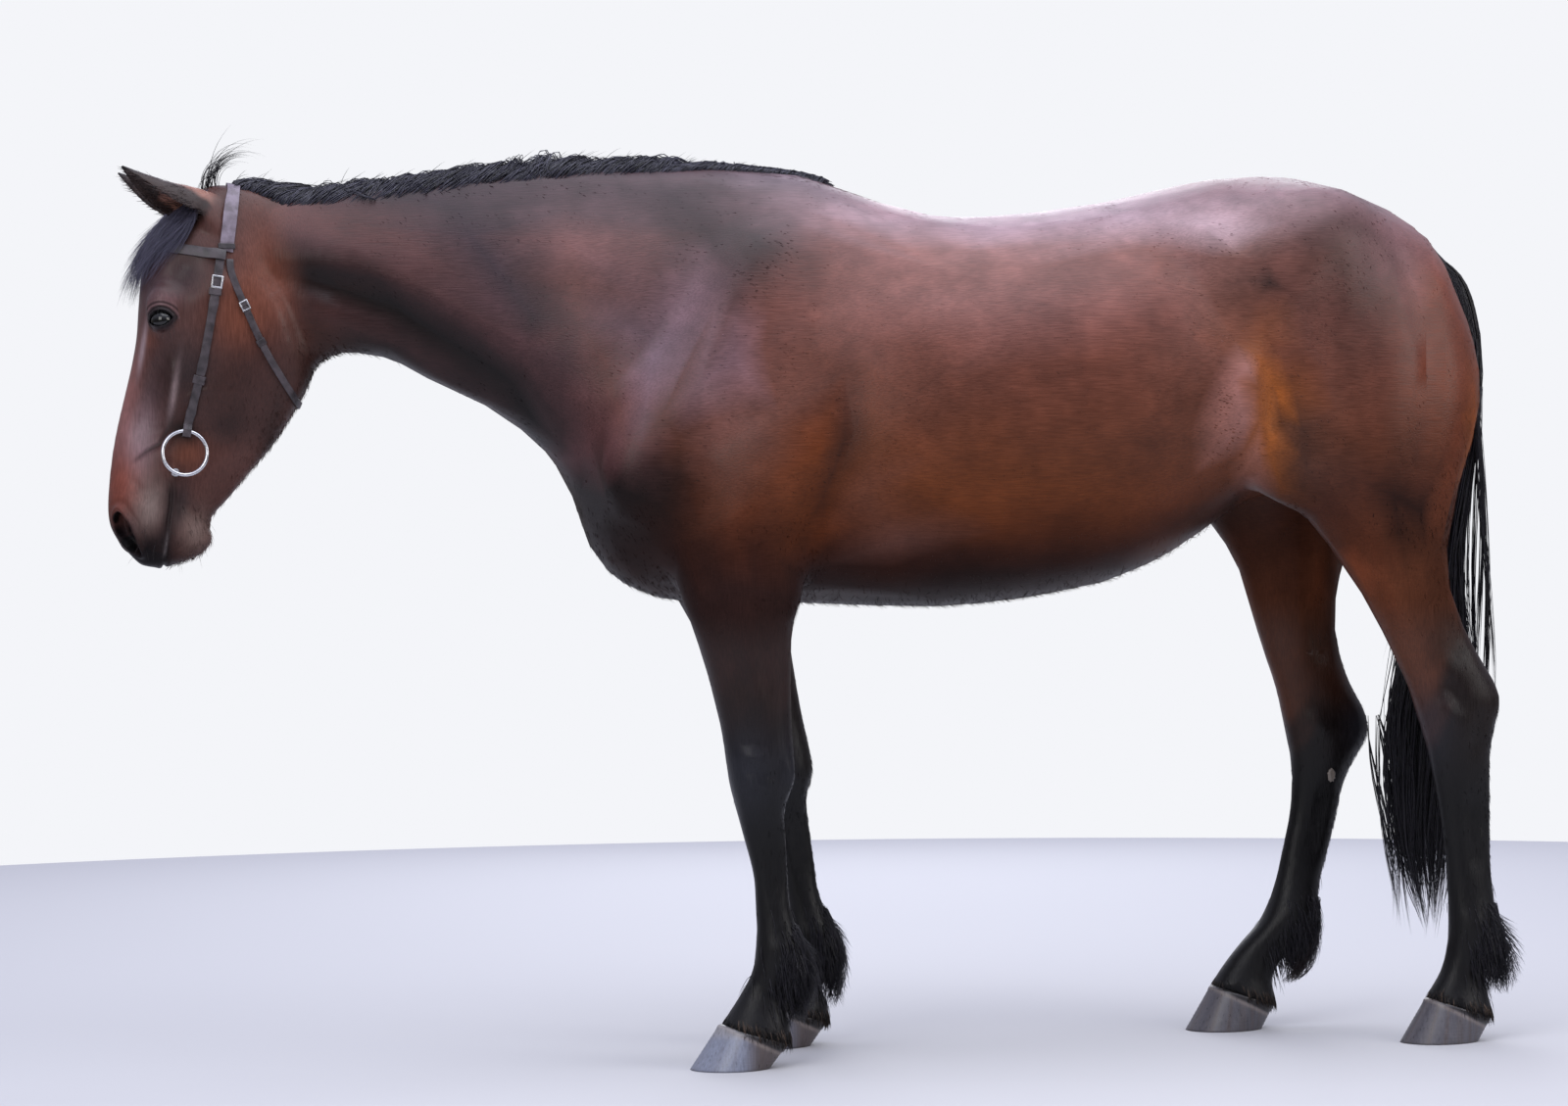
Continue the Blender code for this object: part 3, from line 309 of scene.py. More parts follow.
def earFrame(side):
    root = inHead(*earBuild["root"][:2], side * earBuild["root"][2])
    tip = inHead(*earBuild["tip"][:2], side * earBuild["tip"][2])
    axis = (tip - root).normalized()
    opening = downFace * 0.75 + outFace * 0.45 + Vector((0, side * 0.34, 0))
    opening = (opening - axis * opening.dot(axis)).normalized()
    return root, tip, axis, opening, axis.cross(opening).normalized()


def makeEar(side):
    root, tip, axis, opening, across = earFrame(side)
    rings = []
    for share, wide, deep in smoothLine(earBuild["steps"], 5):
        bow = axis.cross(Vector((0, 1, 0))).normalized() * earBuild["bow"]
        middle = root + (tip - root) * share + bow * math.sin(math.pi * max(share, 0))
        wall = 0.0026
        opened = float(ramp(np.array(share), 0.02, 0.26))      # closed tube at the root
        edge = []
        for index in range(21):                      # back of the ear
            angle = math.pi * index / 20
            edge.append((wide * math.cos(angle), -deep * math.sin(angle)))
        for index in range(1, 16):                   # hollow side
            angle = math.pi * (1 - index / 16)
            closed = wide * 0.6 * math.sin(angle)
            hollow = 0.0006 - max(deep - wall, 0.0002) * math.sin(angle)
            edge.append(((wide - wall * 0.7 * opened) * math.cos(angle),
                         closed + (hollow - closed) * opened))
        rings.append([middle + across * x + opening * y for x, y in edge])
    bm = bmesh.new()
    addLoft(bm, rings)
    bmesh.ops.recalc_face_normals(bm, faces=bm.faces)
    return bm


def earPlaces(points, side):
    # share along the ear, offset from its middle line, height to the open side, share of its width, depth
    root, tip, axis, opening, across = (np.array(part) for part in earFrame(side))
    reach = np.linalg.norm(tip - root)
    along = (points - root) @ axis / reach
    off = points - root - np.outer(along * reach, axis)
    steps = np.array(earBuild["steps"])
    wide, deep = (np.interp(along, steps[:, 0], steps[:, k]) for k in (1, 2))
    return along, off, off @ opening, np.abs(off @ across) / wide, deep


# the tables run from muzzle to tail with the withers near zero; midX brings them to the frame's middle
midX = 0.0743
# head: along from poll, face front, jaw rear, half width, widest share from front, powers
headStations = [
    (-0.02, 0.03, -0.11, 0.05, 0.5, 2.0, 2.0),
    (0.03, 0.056, -0.13, 0.066, 0.45, 2.0, 2.0),
    (0.08, 0.09, -0.15, 0.08, 0.42, 2.1, 2.0),
    (0.13, 0.111, -0.172, 0.092, 0.38, 2.4, 2.1),
    (0.18, 0.116, -0.198, 0.099, 0.34, 2.6, 2.2),
    (0.235, 0.113, -0.22, 0.102, 0.3, 2.7, 2.3),
    (0.29, 0.109, -0.227, 0.096, 0.32, 2.4, 2.4),
    (0.345, 0.111, -0.217, 0.085, 0.38, 2.2, 2.5),
    (0.4, 0.116, -0.193, 0.073, 0.44, 2.1, 2.4),
    (0.455, 0.121, -0.167, 0.062, 0.47, 2.1, 2.2),
    (0.51, 0.123, -0.132, 0.056, 0.48, 2.1, 2.1),
    (0.56, 0.121, -0.103, 0.055, 0.42, 2.2, 2.0),
    (0.605, 0.117, -0.074, 0.06, 0.38, 2.3, 2.0),
    (0.64, 0.108, -0.084, 0.062, 0.4, 2.3, 2.2),
    (0.67, 0.086, -0.066, 0.054, 0.42, 2.2, 2.2),
    (0.692, 0.06, -0.028, 0.042, 0.45, 2.1, 2.1),
    (0.706, 0.042, 0.004, 0.024, 0.5, 2.0, 2.0),
]

# neck: crest x, crest z, underline x, underline z, half width, widest share, powers
neckStations = [
    (-1.075, 1.598, -0.985, 1.36, 0.058, 0.5, 1.8, 2.0),
    (-1.01, 1.624, -0.885, 1.322, 0.074, 0.52, 1.8, 2.1),
    (-0.89, 1.644, -0.812, 1.338, 0.078, 0.54, 1.7, 2.2),
    (-0.77, 1.667, -0.733, 1.321, 0.084, 0.55, 1.65, 2.2),
    (-0.655, 1.68, -0.662, 1.281, 0.094, 0.56, 1.6, 2.2),
    (-0.52, 1.689, -0.587, 1.25, 0.108, 0.57, 1.6, 2.2),
    (-0.395, 1.695, -0.512, 1.205, 0.128, 0.57, 1.6, 2.2),
    (-0.274, 1.699, -0.447, 1.15, 0.155, 0.57, 1.6, 2.2),
    (-0.148, 1.698, -0.405, 1.085, 0.185, 0.57, 1.6, 2.2),
    (-0.024, 1.691, -0.372, 1.01, 0.204, 0.56, 1.6, 2.2),
    (0.094, 1.66, -0.3, 0.95, 0.18, 0.55, 1.7, 2.2),
]

# trunk: x, top z, bottom z, half width, widest share from top, powers
trunkStations = [
    (-0.375, 1.24, 0.985, 0.12, 0.5, 2.2, 2.2),
    (-0.315, 1.4, 0.91, 0.19, 0.55, 2.1, 2.2),
    (-0.225, 1.55, 0.872, 0.232, 0.58, 1.9, 2.2),
    (-0.11, 1.65, 0.86, 0.255, 0.6, 1.7, 2.2),
    (0.0, 1.688, 0.86, 0.272, 0.6, 1.6, 2.2),
    (0.1, 1.664, 0.855, 0.292, 0.58, 1.75, 2.2),
    (0.2, 1.626, 0.85, 0.312, 0.55, 1.95, 2.15),
    (0.31, 1.599, 0.848, 0.327, 0.52, 2.15, 2.1),
    (0.42, 1.599, 0.855, 0.336, 0.5, 2.2, 2.1),
    (0.53, 1.609, 0.869, 0.338, 0.49, 2.2, 2.1),
    (0.63, 1.623, 0.889, 0.334, 0.48, 2.2, 2.1),
    (0.73, 1.645, 0.926, 0.324, 0.46, 2.2, 2.1),
    (0.82, 1.664, 0.978, 0.312, 0.44, 2.25, 2.1),
    (0.9, 1.674, 1.035, 0.302, 0.42, 2.3, 2.1),
    (1.0, 1.673, 1.065, 0.292, 0.42, 2.3, 2.1),
    (1.1, 1.654, 1.085, 0.268, 0.43, 2.2, 2.1),
    (1.19, 1.621, 1.11, 0.228, 0.45, 2.1, 2.1),
    (1.265, 1.582, 1.16, 0.165, 0.48, 2.0, 2.0),
    (1.318, 1.535, 1.25, 0.085, 0.5, 2.0, 2.0),
]

legOut = 0.16            # feet stand this far out from the middle plane
# left foreleg: z, front x, rear x, half width, middle y, power
forelegStations = [
    (1.18, -0.335, 0.03, 0.055, 0.165, 2.0),
    (1.08, -0.318, 0.045, 0.072, 0.172, 2.0),
    (0.98, -0.268, 0.035, 0.08, 0.172, 2.1),
    (0.9, -0.23, 0.012, 0.081, 0.17, 2.1),
    (0.84, -0.208, -0.004, 0.077, 0.168, 2.1),
    (0.77, -0.184, -0.01, 0.069, 0.165, 2.1),
    (0.7, -0.165, -0.011, 0.06, 0.163, 2.1),
    (0.63, -0.149, -0.01, 0.053, 0.162, 2.2),
    (0.57, -0.14, -0.007, 0.053, 0.161, 2.4),
    (0.525, -0.133, -0.01, 0.053, 0.16, 2.5),
    (0.48, -0.122, -0.026, 0.044, 0.16, 2.4),
    (0.43, -0.11, -0.024, 0.033, 0.16, 2.2),
    (0.36, -0.093, -0.02, 0.029, 0.16, 2.1),
    (0.3, -0.089, -0.017, 0.03, 0.16, 2.1),
    (0.255, -0.087, -0.004, 0.036, 0.16, 2.2),
    (0.215, -0.09, 0.008, 0.041, 0.16, 2.3),
    (0.18, -0.095, 0.004, 0.04, 0.16, 2.2),
    (0.145, -0.114, -0.02, 0.034, 0.16, 2.1),
    (0.11, -0.136, -0.03, 0.038, 0.16, 2.1),
    (0.075, -0.158, -0.022, 0.051, 0.16, 2.1),
    (0.035, -0.168, -0.02, 0.056, 0.16, 2.1),
    (0.015, -0.168, -0.024, 0.056, 0.16, 2.1),
]
# how far the right foreleg stands behind the left one, by height
forelegLag = [(1.2, 0.0), (1.0, 0.022), (0.75, 0.067), (0.53, 0.101), (0.22, 0.124), (0.0, 0.142)]

hindLeftStations = [
    (1.52, 0.88, 1.23, 0.08, 0.14, 2.0),
    (1.42, 0.83, 1.312, 0.108, 0.158, 2.1),
    (1.32, 0.82, 1.34, 0.122, 0.166, 2.1),
    (1.23, 0.84, 1.345, 0.122, 0.172, 2.1),
    (1.15, 0.87, 1.326, 0.116, 0.178, 2.1),
    (1.08, 0.92, 1.3, 0.106, 0.18, 2.1),
    (1.0, 0.99, 1.284, 0.088, 0.176, 2.1),
    (0.92, 1.055, 1.272, 0.072, 0.17, 2.1),
    (0.86, 1.1, 1.282, 0.061, 0.166, 2.1),
    (0.8, 1.134, 1.306, 0.053, 0.163, 2.1),
    (0.74, 1.163, 1.338, 0.048, 0.161, 2.1),
    (0.69, 1.187, 1.368, 0.047, 0.16, 2.2),
    (0.65, 1.201, 1.379, 0.049, 0.16, 2.3),
    (0.6, 1.217, 1.366, 0.048, 0.16, 2.3),
    (0.55, 1.23, 1.358, 0.041, 0.16, 2.2),
    (0.49, 1.241, 1.358, 0.034, 0.16, 2.1),
    (0.42, 1.252, 1.357, 0.031, 0.16, 2.1),
    (0.35, 1.26, 1.357, 0.031, 0.16, 2.1),
    (0.29, 1.264, 1.36, 0.034, 0.16, 2.1),
    (0.24, 1.266, 1.366, 0.041, 0.16, 2.2),
    (0.2, 1.266, 1.37, 0.043, 0.16, 2.2),
    (0.165, 1.26, 1.356, 0.039, 0.16, 2.1),
    (0.13, 1.248, 1.338, 0.036, 0.16, 2.1),
    (0.095, 1.226, 1.344, 0.041, 0.16, 2.1),
    (0.065, 1.214, 1.352, 0.051, 0.16, 2.1),
    (0.035, 1.212, 1.354, 0.053, 0.16, 2.1),
    (0.015, 1.212, 1.35, 0.053, 0.16, 2.1),
]
hindRightStations = [
    (1.52, 0.88, 1.23, 0.08, 0.14, 2.0),
    (1.42, 0.815, 1.308, 0.108, 0.158, 2.1),
    (1.32, 0.8, 1.334, 0.122, 0.166, 2.1),
    (1.23, 0.8, 1.318, 0.122, 0.172, 2.1),
    (1.15, 0.815, 1.296, 0.116, 0.178, 2.1),
    (1.08, 0.845, 1.262, 0.106, 0.18, 2.1),
    (1.0, 0.895, 1.218, 0.088, 0.176, 2.1),
    (0.92, 0.948, 1.178, 0.072, 0.17, 2.1),
    (0.86, 0.972, 1.16, 0.061, 0.166, 2.1),
    (0.8, 0.987, 1.156, 0.053, 0.163, 2.1),
    (0.74, 1.004, 1.164, 0.048, 0.161, 2.1),
    (0.68, 1.024, 1.184, 0.047, 0.16, 2.2),
    (0.62, 1.038, 1.215, 0.048, 0.16, 2.3),
    (0.575, 1.047, 1.218, 0.049, 0.16, 2.3),
    (0.53, 1.055, 1.192, 0.043, 0.16, 2.2),
    (0.48, 1.056, 1.168, 0.035, 0.16, 2.1),
    (0.42, 1.05, 1.154, 0.031, 0.16, 2.1),
    (0.35, 1.034, 1.136, 0.031, 0.16, 2.1),
    (0.29, 1.02, 1.118, 0.034, 0.16, 2.1),
    (0.245, 1.004, 1.112, 0.041, 0.16, 2.2),
    (0.21, 0.985, 1.106, 0.043, 0.16, 2.2),
    (0.175, 0.952, 1.08, 0.039, 0.16, 2.1),
    (0.14, 0.922, 1.04, 0.036, 0.16, 2.1),
    (0.1, 0.894, 1.014, 0.041, 0.16, 2.1),
    (0.065, 0.88, 1.018, 0.051, 0.16, 2.1),
    (0.035, 0.878, 1.02, 0.053, 0.16, 2.1),
    (0.015, 0.878, 1.016, 0.053, 0.16, 2.1),
]

legs = [(forelegStations, -1, None), (forelegStations, 1, forelegLag), (hindLeftStations, -1, None),
        (hindRightStations, 1, None)]

# muscles on each side: x, y, z, half sizes, lean about Y in degrees
bodyMuscles = [
    ("scapula", -0.12, 0.15, 1.33, 0.14, 0.076, 0.25, 22),
    ("triceps", -0.03, 0.196, 1.11, 0.14, 0.078, 0.16, 20),
    ("shoulderPoint", -0.29, 0.16, 1.125, 0.09, 0.082, 0.13, 10),
    ("breast", -0.255, 0.095, 1.03, 0.085, 0.09, 0.095, 0),
    ("forearmTop", -0.075, 0.176, 0.905, 0.085, 0.074, 0.11, -8),
    ("haunch", 0.96, 0.175, 1.49, 0.22, 0.128, 0.15, -18),
    ("hipPoint", 0.775, 0.215, 1.53, 0.07, 0.055, 0.06, 0),
    ("buttock", 1.175, 0.15, 1.35, 0.14, 0.112, 0.24, 0),
    ("stifle", 0.945, 0.2, 1.175, 0.11, 0.088, 0.16, -12),
]
headMuscles = [           # along, out, across, half sizes along, out and across
    ("cheek", 0.235, -0.085, 0.052, 0.105, 0.095, 0.04),
    ("brow", 0.228, 0.07, 0.082, 0.044, 0.036, 0.025),
    ("nostrilWing", 0.645, 0.062, 0.04, 0.04, 0.03, 0.023),
    ("chin", 0.64, -0.04, 0.012, 0.036, 0.036, 0.034),
]


def outline(front, rear, half, share, powerFront, powerRear, sides):
    # rounded section: (across, along the front to rear line)
    middle = front + (rear - front) * share
    out = []
    for index in range(sides):
        angle = 2 * math.pi * (index + 0.5) / sides
        power = powerFront if math.sin(angle) > 0 else powerRear
        reach = (front - middle) if math.sin(angle) > 0 else (rear - middle)
        wide = math.copysign(abs(math.cos(angle)) ** (2 / power), math.cos(angle)) * half
        out.append((wide, middle + reach * abs(math.sin(angle)) ** (2 / power)))
    return out


def bridge(bm, lower, upper):
    for index in range(len(lower)):
        after = (index + 1) % len(lower)
        bm.faces.new((lower[index], lower[after], upper[after], upper[index]))


def addLoft(bm, rings):
    loops = [[bm.verts.new(point) for point in ring] for ring in rings]
    for lower, upper in zip(loops, loops[1:]):
        bridge(bm, lower, upper)
    bm.faces.new(loops[0])
    bm.faces.new(loops[-1])


def lagAt(z, lag):
    return np.interp(z, [k for k, v in sorted(lag)], [v for k, v in sorted(lag)]) if lag else 0


def addBall(bm, place, lean, sizes, around=32, high=20):
    matrix = Matrix.Translation(place) @ Matrix.Rotation(lean, 4, "Y") @ Matrix.Diagonal((*sizes, 1))
    bmesh.ops.create_uvsphere(bm, u_segments=around, v_segments=high, radius=1.0, matrix=matrix)


def makeFlesh():
    bm = bmesh.new()
    addLoft(bm, [[inHead(row[0], u, y) for y, u in outline(*row[1:], 56)]
                 for row in smoothLine(headStations, 5)])
    addLoft(bm, [[Vector((row[0] - midX, 0, row[1])).lerp(Vector((row[2] - midX, 0, row[3])), u)
                  + Vector((0, y, 0)) for y, u in outline(0.0, 1.0, *row[4:], 48)]
                 for row in smoothLine(neckStations, 5)])
    addLoft(bm, [[Vector((row[0] - midX, y, u)) for y, u in outline(*row[1:], 60)]
                 for row in smoothLine(trunkStations, 5)])
    for stations, side, lag in legs:
        addLoft(bm, [[Vector((u - midX + lagAt(z, lag), side * middle + y, z))
                      for y, u in outline(front, rear, half, 0.5, power, power, 32)]
                     for z, front, rear, half, middle, power in smoothLine(stations, 5)])
    for side in (-1, 1):
        for name, x, y, z, rx, ry, rz, lean in bodyMuscles:
            addBall(bm, (x - midX, side * y, z), math.radians(lean), (rx, ry, rz))
        for name, along, front, y, rs, ru, ry in headMuscles:
            addBall(bm, inHead(along, front, side * y), headTilt, (ru, ry, rs), 28, 18)
        along, front, across = skinBuild["eyePlace"]
        bmesh.ops.create_icosphere(bm, subdivisions=4, radius=skinBuild["eyeRadius"] + skinBuild["lidThick"],
                                   matrix=Matrix.Translation(inHead(along, front, side * across)))
    bmesh.ops.recalc_face_normals(bm, faces=bm.faces)
    item = addObject("skin", bm)
    applyModifier(item, "REMESH", mode="VOXEL", voxel_size=skinBuild["voxel"])
    return item


skin = makeFlesh()
print("flesh made", len(skin.data.vertices))


def smoothFlesh(item):
    # wide smoothing on the body, a little elsewhere
    points = readPoints(item)
    edges = readEdges(item)
    body = ramp(points[:, 2], 0.86, 0.98) * ramp(points[:, 0], -1.03, -0.78)
    place = headPlaces(points)
    crown = 1 - ramp(np.hypot(place[:, 0] + 0.005, place[:, 1] + 0.03), 0.04, 0.13)
    points = relax(points, edges, np.maximum(body, crown), 170, back=0)
    rump = ramp(points[:, 0], 0.98, 1.1) * ramp(points[:, 2], 1.38, 1.52)
    blade = 1 - ramp(np.hypot(points[:, 0] + 0.19, points[:, 2] - 1.4), 0.1, 0.24)
    points = relax(points, edges, np.maximum(rump, blade * body), 90, back=0)
    points = relax(points, edges, np.ones(len(points)), 14, back=0)
    writePoints(item, points)


smoothFlesh(skin)
print("flesh smoothed")


def addEars(item):
    for side in (-1, 1):
        ear = addObject("earShape", makeEar(side))
        applyModifier(item, "BOOLEAN", object=ear, operation="UNION", solver="MANIFOLD")
        bpy.data.objects.remove(ear, do_unlink=True)
    points = readPoints(item)
    weight = np.zeros(len(points))
    for side in (-1, 1):
        root, tip = earFrame(side)[:2]
        along, off = earPlaces(points, side)[:2]
        along = along * (tip - root).length
        weight = np.maximum(weight, (1 - ramp(np.linalg.norm(off, axis=1), 0.055, 0.08))
                            * ramp(along, -0.055, -0.03) * (1 - ramp(along, 0.02, 0.045)))
    writePoints(item, relax(points, readEdges(item), weight, 16, back=0))


addEars(skin)
print("ears joined", len(skin.data.vertices))


def refine(item, chooser, rounds=1):
    # splits the faces whose middle the chooser picks
    for turn in range(rounds):
        bm = bmesh.new()
        bm.from_mesh(item.data)
        middles = np.array([face.calc_center_median()[:] for face in bm.faces])
        chosen = chooser(middles)
        bm.faces.ensure_lookup_table()
        edges = {edge for index in np.nonzero(chosen)[0] for edge in bm.faces[index].edges}
        edges = sorted(edges, key=lambda edge: edge.index)
        bmesh.ops.subdivide_edges(bm, edges=edges, cuts=1, use_grid_fill=True)
        bm.to_mesh(item.data)
        bm.free()


def headZone(points):
    place = headPlaces(points)
    return (place[:, 0] > -0.03) & (place[:, 1] > -0.235 + 0.1 * ramp(place[:, 0], 0.4, 0.5)) & (
        points[:, 0] < -0.93)


def fineZone(points):
    place = headPlaces(points)
    across = np.abs(place[:, 2])
    chosen = np.hypot(place[:, 0] - 0.255, place[:, 1] - 0.072) < 0.05
    chosen &= across > 0.055
    chosen |= (np.hypot(place[:, 0] - 0.655, place[:, 1] - 0.082) < 0.055)
    chosen |= (place[:, 0] > 0.515) & (np.abs(place[:, 1]) < 0.02)
    return chosen & (place[:, 0] > 0.15)


def lidZone(points):
    place = headPlaces(points)
    chosen = np.hypot(place[:, 0] - 0.255, place[:, 1] - 0.072) < 0.032
    chosen |= np.hypot(place[:, 0] - 0.655, place[:, 1] - 0.082) < 0.034
    return chosen & (np.abs(place[:, 2]) > 0.012)


def relaxZone(item, chooser, rounds):
    points = readPoints(item)
    weight = chooser(points).astype(float)
    writePoints(item, relax(points, readEdges(item), weight, rounds))


for zone, rounds in ((headZone, 5), (fineZone, 4), (lidZone, 4)):
    refine(skin, zone)
    relaxZone(skin, zone, rounds)
print("head refined", len(skin.data.vertices))


bodyStrokes = [          # name, line of (x, z) seen from the side, width, height (negative presses in)
    ("jugularGroove", [(-0.985, 1.5), (-0.907, 1.476), (-0.816, 1.45), (-0.74, 1.425), (-0.652, 1.362),
                       (-0.557, 1.3), (-0.492, 1.24), (-0.45, 1.18)], 0.026, -0.013),
    ("neckMuscle", [(-0.94, 1.545), (-0.8, 1.515), (-0.66, 1.45), (-0.56, 1.385), (-0.47, 1.31)],
     0.04, 0.007),
    ("throatRoll", [(-0.85, 1.378), (-0.75, 1.362), (-0.64, 1.295), (-0.54, 1.235)], 0.02, 0.006),
    ("underCrest", [(-0.94, 1.6), (-0.7, 1.625), (-0.42, 1.635), (-0.2, 1.63)], 0.022, -0.004),
    ("bladeFront", [(-0.09, 1.6), (-0.19, 1.46), (-0.3, 1.31), (-0.38, 1.2)], 0.042, -0.006),
    ("bladeSpine", [(-0.03, 1.6), (-0.11, 1.45), (-0.2, 1.28), (-0.26, 1.17)], 0.044, 0.004),
    ("bladeRear", [(0.06, 1.54), (0.05, 1.42), (0.0, 1.3), (-0.07, 1.24)], 0.045, -0.005),
    ("tricepsRear", [(0.1, 1.32), (0.085, 1.18), (0.04, 1.06), (0.0, 0.96)], 0.034, -0.011),
    ("tricepsFront", [(-0.1, 1.2), (-0.19, 1.15), (-0.17, 1.06), (-0.2, 0.985)], 0.024, -0.008),
    ("tricepsMass", [(-0.02, 1.18), (-0.07, 1.07), (-0.11, 0.985)], 0.045, 0.007),
    ("shoulderCrescent", [(-0.385, 1.17), (-0.365, 1.06), (-0.29, 0.96)], 0.032, -0.006),
    ("elbowFold", [(-0.018, 1.0), (-0.016, 0.9)], 0.02, -0.006),
    ("flankHollow", [(0.7, 1.52), (0.775, 1.42), (0.8, 1.34)], 0.05, -0.011),
    ("flankRidge", [(0.79, 1.33), (0.85, 1.265), (0.868, 1.18), (0.858, 1.085)], 0.018, 0.01),
    ("flankFold", [(0.885, 1.33), (0.905, 1.24), (0.922, 1.14)], 0.02, -0.01),
    ("hipBone", [(0.765, 1.54), (0.79, 1.53)], 0.03, 0.007),
    ("hipHollow", [(0.77, 1.59), (0.8, 1.578), (0.824, 1.54), (0.822, 1.5)], 0.02, -0.004),
    ("dimple", [(0.876, 1.448), (0.898, 1.456)], 0.021, -0.005),
    ("haunchFurrow", [(0.93, 1.42), (1.03, 1.33), (1.06, 1.2), (1.045, 1.12)], 0.035, -0.006),
    ("thighFurrow", [(1.15, 1.56), (1.205, 1.43), (1.205, 1.26), (1.175, 1.1), (1.17, 1.02)],
     0.026, -0.008),
    ("kneecap", [(0.95, 1.14), (0.965, 1.1)], 0.032, 0.006),
    ("stifleFurrow", [(0.985, 1.05), (1.03, 0.985), (1.06, 0.93)], 0.024, -0.005),
    ("bellyVein", [(-0.02, 0.935), (0.12, 0.93), (0.26, 0.915), (0.38, 0.925)], 0.009, 0.0018),
    ("flankVein", [(0.64, 1.44), (0.585, 1.42), (0.56, 1.455), (0.5, 1.45)], 0.009, 0.0012),
]
legStrokes = [           # leg, side of the leg, line of (z, share from front to rear), width, height
    ("fore", "outer", [(0.9, 0.22), (0.78, 0.3), (0.66, 0.34)], 0.017, -0.005),
    ("fore", "outer", [(0.9, 0.64), (0.78, 0.62), (0.66, 0.66)], 0.018, -0.005),
    ("fore", "outer", [(0.84, 0.45), (0.74, 0.47), (0.65, 0.5)], 0.018, 0.003),
    ("fore", "inner", [(0.84, 0.35), (0.72, 0.4), (0.64, 0.45)], 0.009, 0.0015),
    ("fore", "outer", [(0.608, 0.2), (0.602, 0.55)], 0.015, -0.003),
    ("fore", "outer", [(0.562, 0.2), (0.55, 0.45), (0.545, 0.66)], 0.011, -0.0026),
    ("fore", "outer", [(0.512, 0.2), (0.505, 0.42), (0.508, 0.62)], 0.012, -0.0026),
    ("fore", "outer", [(0.585, 0.3), (0.575, 0.42)], 0.02, 0.0035),
    ("fore", "outer", [(0.532, 0.28), (0.527, 0.42)], 0.016, 0.003),
    ("fore", "outer", [(0.56, 0.9), (0.535, 0.92)], 0.018, 0.004),
    ("fore", "outer", [(0.575, 0.72), (0.515, 0.74)], 0.016, -0.0045),
    ("fore", "both", [(0.47, 0.55), (0.38, 0.55), (0.3, 0.5)], 0.012, -0.006),
    ("fore", "both", [(0.46, 0.76), (0.38, 0.76), (0.31, 0.72)], 0.01, -0.002),
    ("fore", "both", [(0.225, 0.4), (0.212, 0.5)], 0.016, 0.003),
    ("fore", "both", [(0.185, 0.78), (0.16, 0.72), (0.13, 0.66)], 0.016, -0.005),
    ("fore", "both", [(0.16, 0.25), (0.13, 0.3)], 0.014, -0.002),
    ("hind", "outer", [(1.02, 0.52), (0.92, 0.5), (0.82, 0.46)], 0.018, -0.007),
    ("hind", "outer", [(0.96, 0.25), (0.86, 0.24), (0.78, 0.26)], 0.022, 0.004),
    ("hind", "both", [(0.87, 0.76), (0.79, 0.72), (0.72, 0.66)], 0.026, -0.006),
    ("hind", "outer", [(0.7, 0.36), (0.665, 0.44), (0.63, 0.5)], 0.015, -0.004),
    ("hind", "outer", [(0.65, 0.25), (0.62, 0.3)], 0.018, 0.004),
    ("hind", "inner", [(0.62, 0.3), (0.585, 0.38)], 0.02, 0.005),
    ("hind", "both", [(0.64, 0.72), (0.59, 0.7), (0.545, 0.66)], 0.014, -0.0045),
    ("hind", "both", [(0.5, 0.56), (0.4, 0.55), (0.31, 0.52)], 0.012, -0.006),
    ("hind", "both", [(0.5, 0.78), (0.4, 0.77), (0.31, 0.74)], 0.01, -0.002),
    ("hind", "both", [(0.23, 0.42), (0.215, 0.5)], 0.016, 0.003),
    ("hind", "both", [(0.185, 0.8), (0.16, 0.74), (0.13, 0.68)], 0.016, -0.005),
]
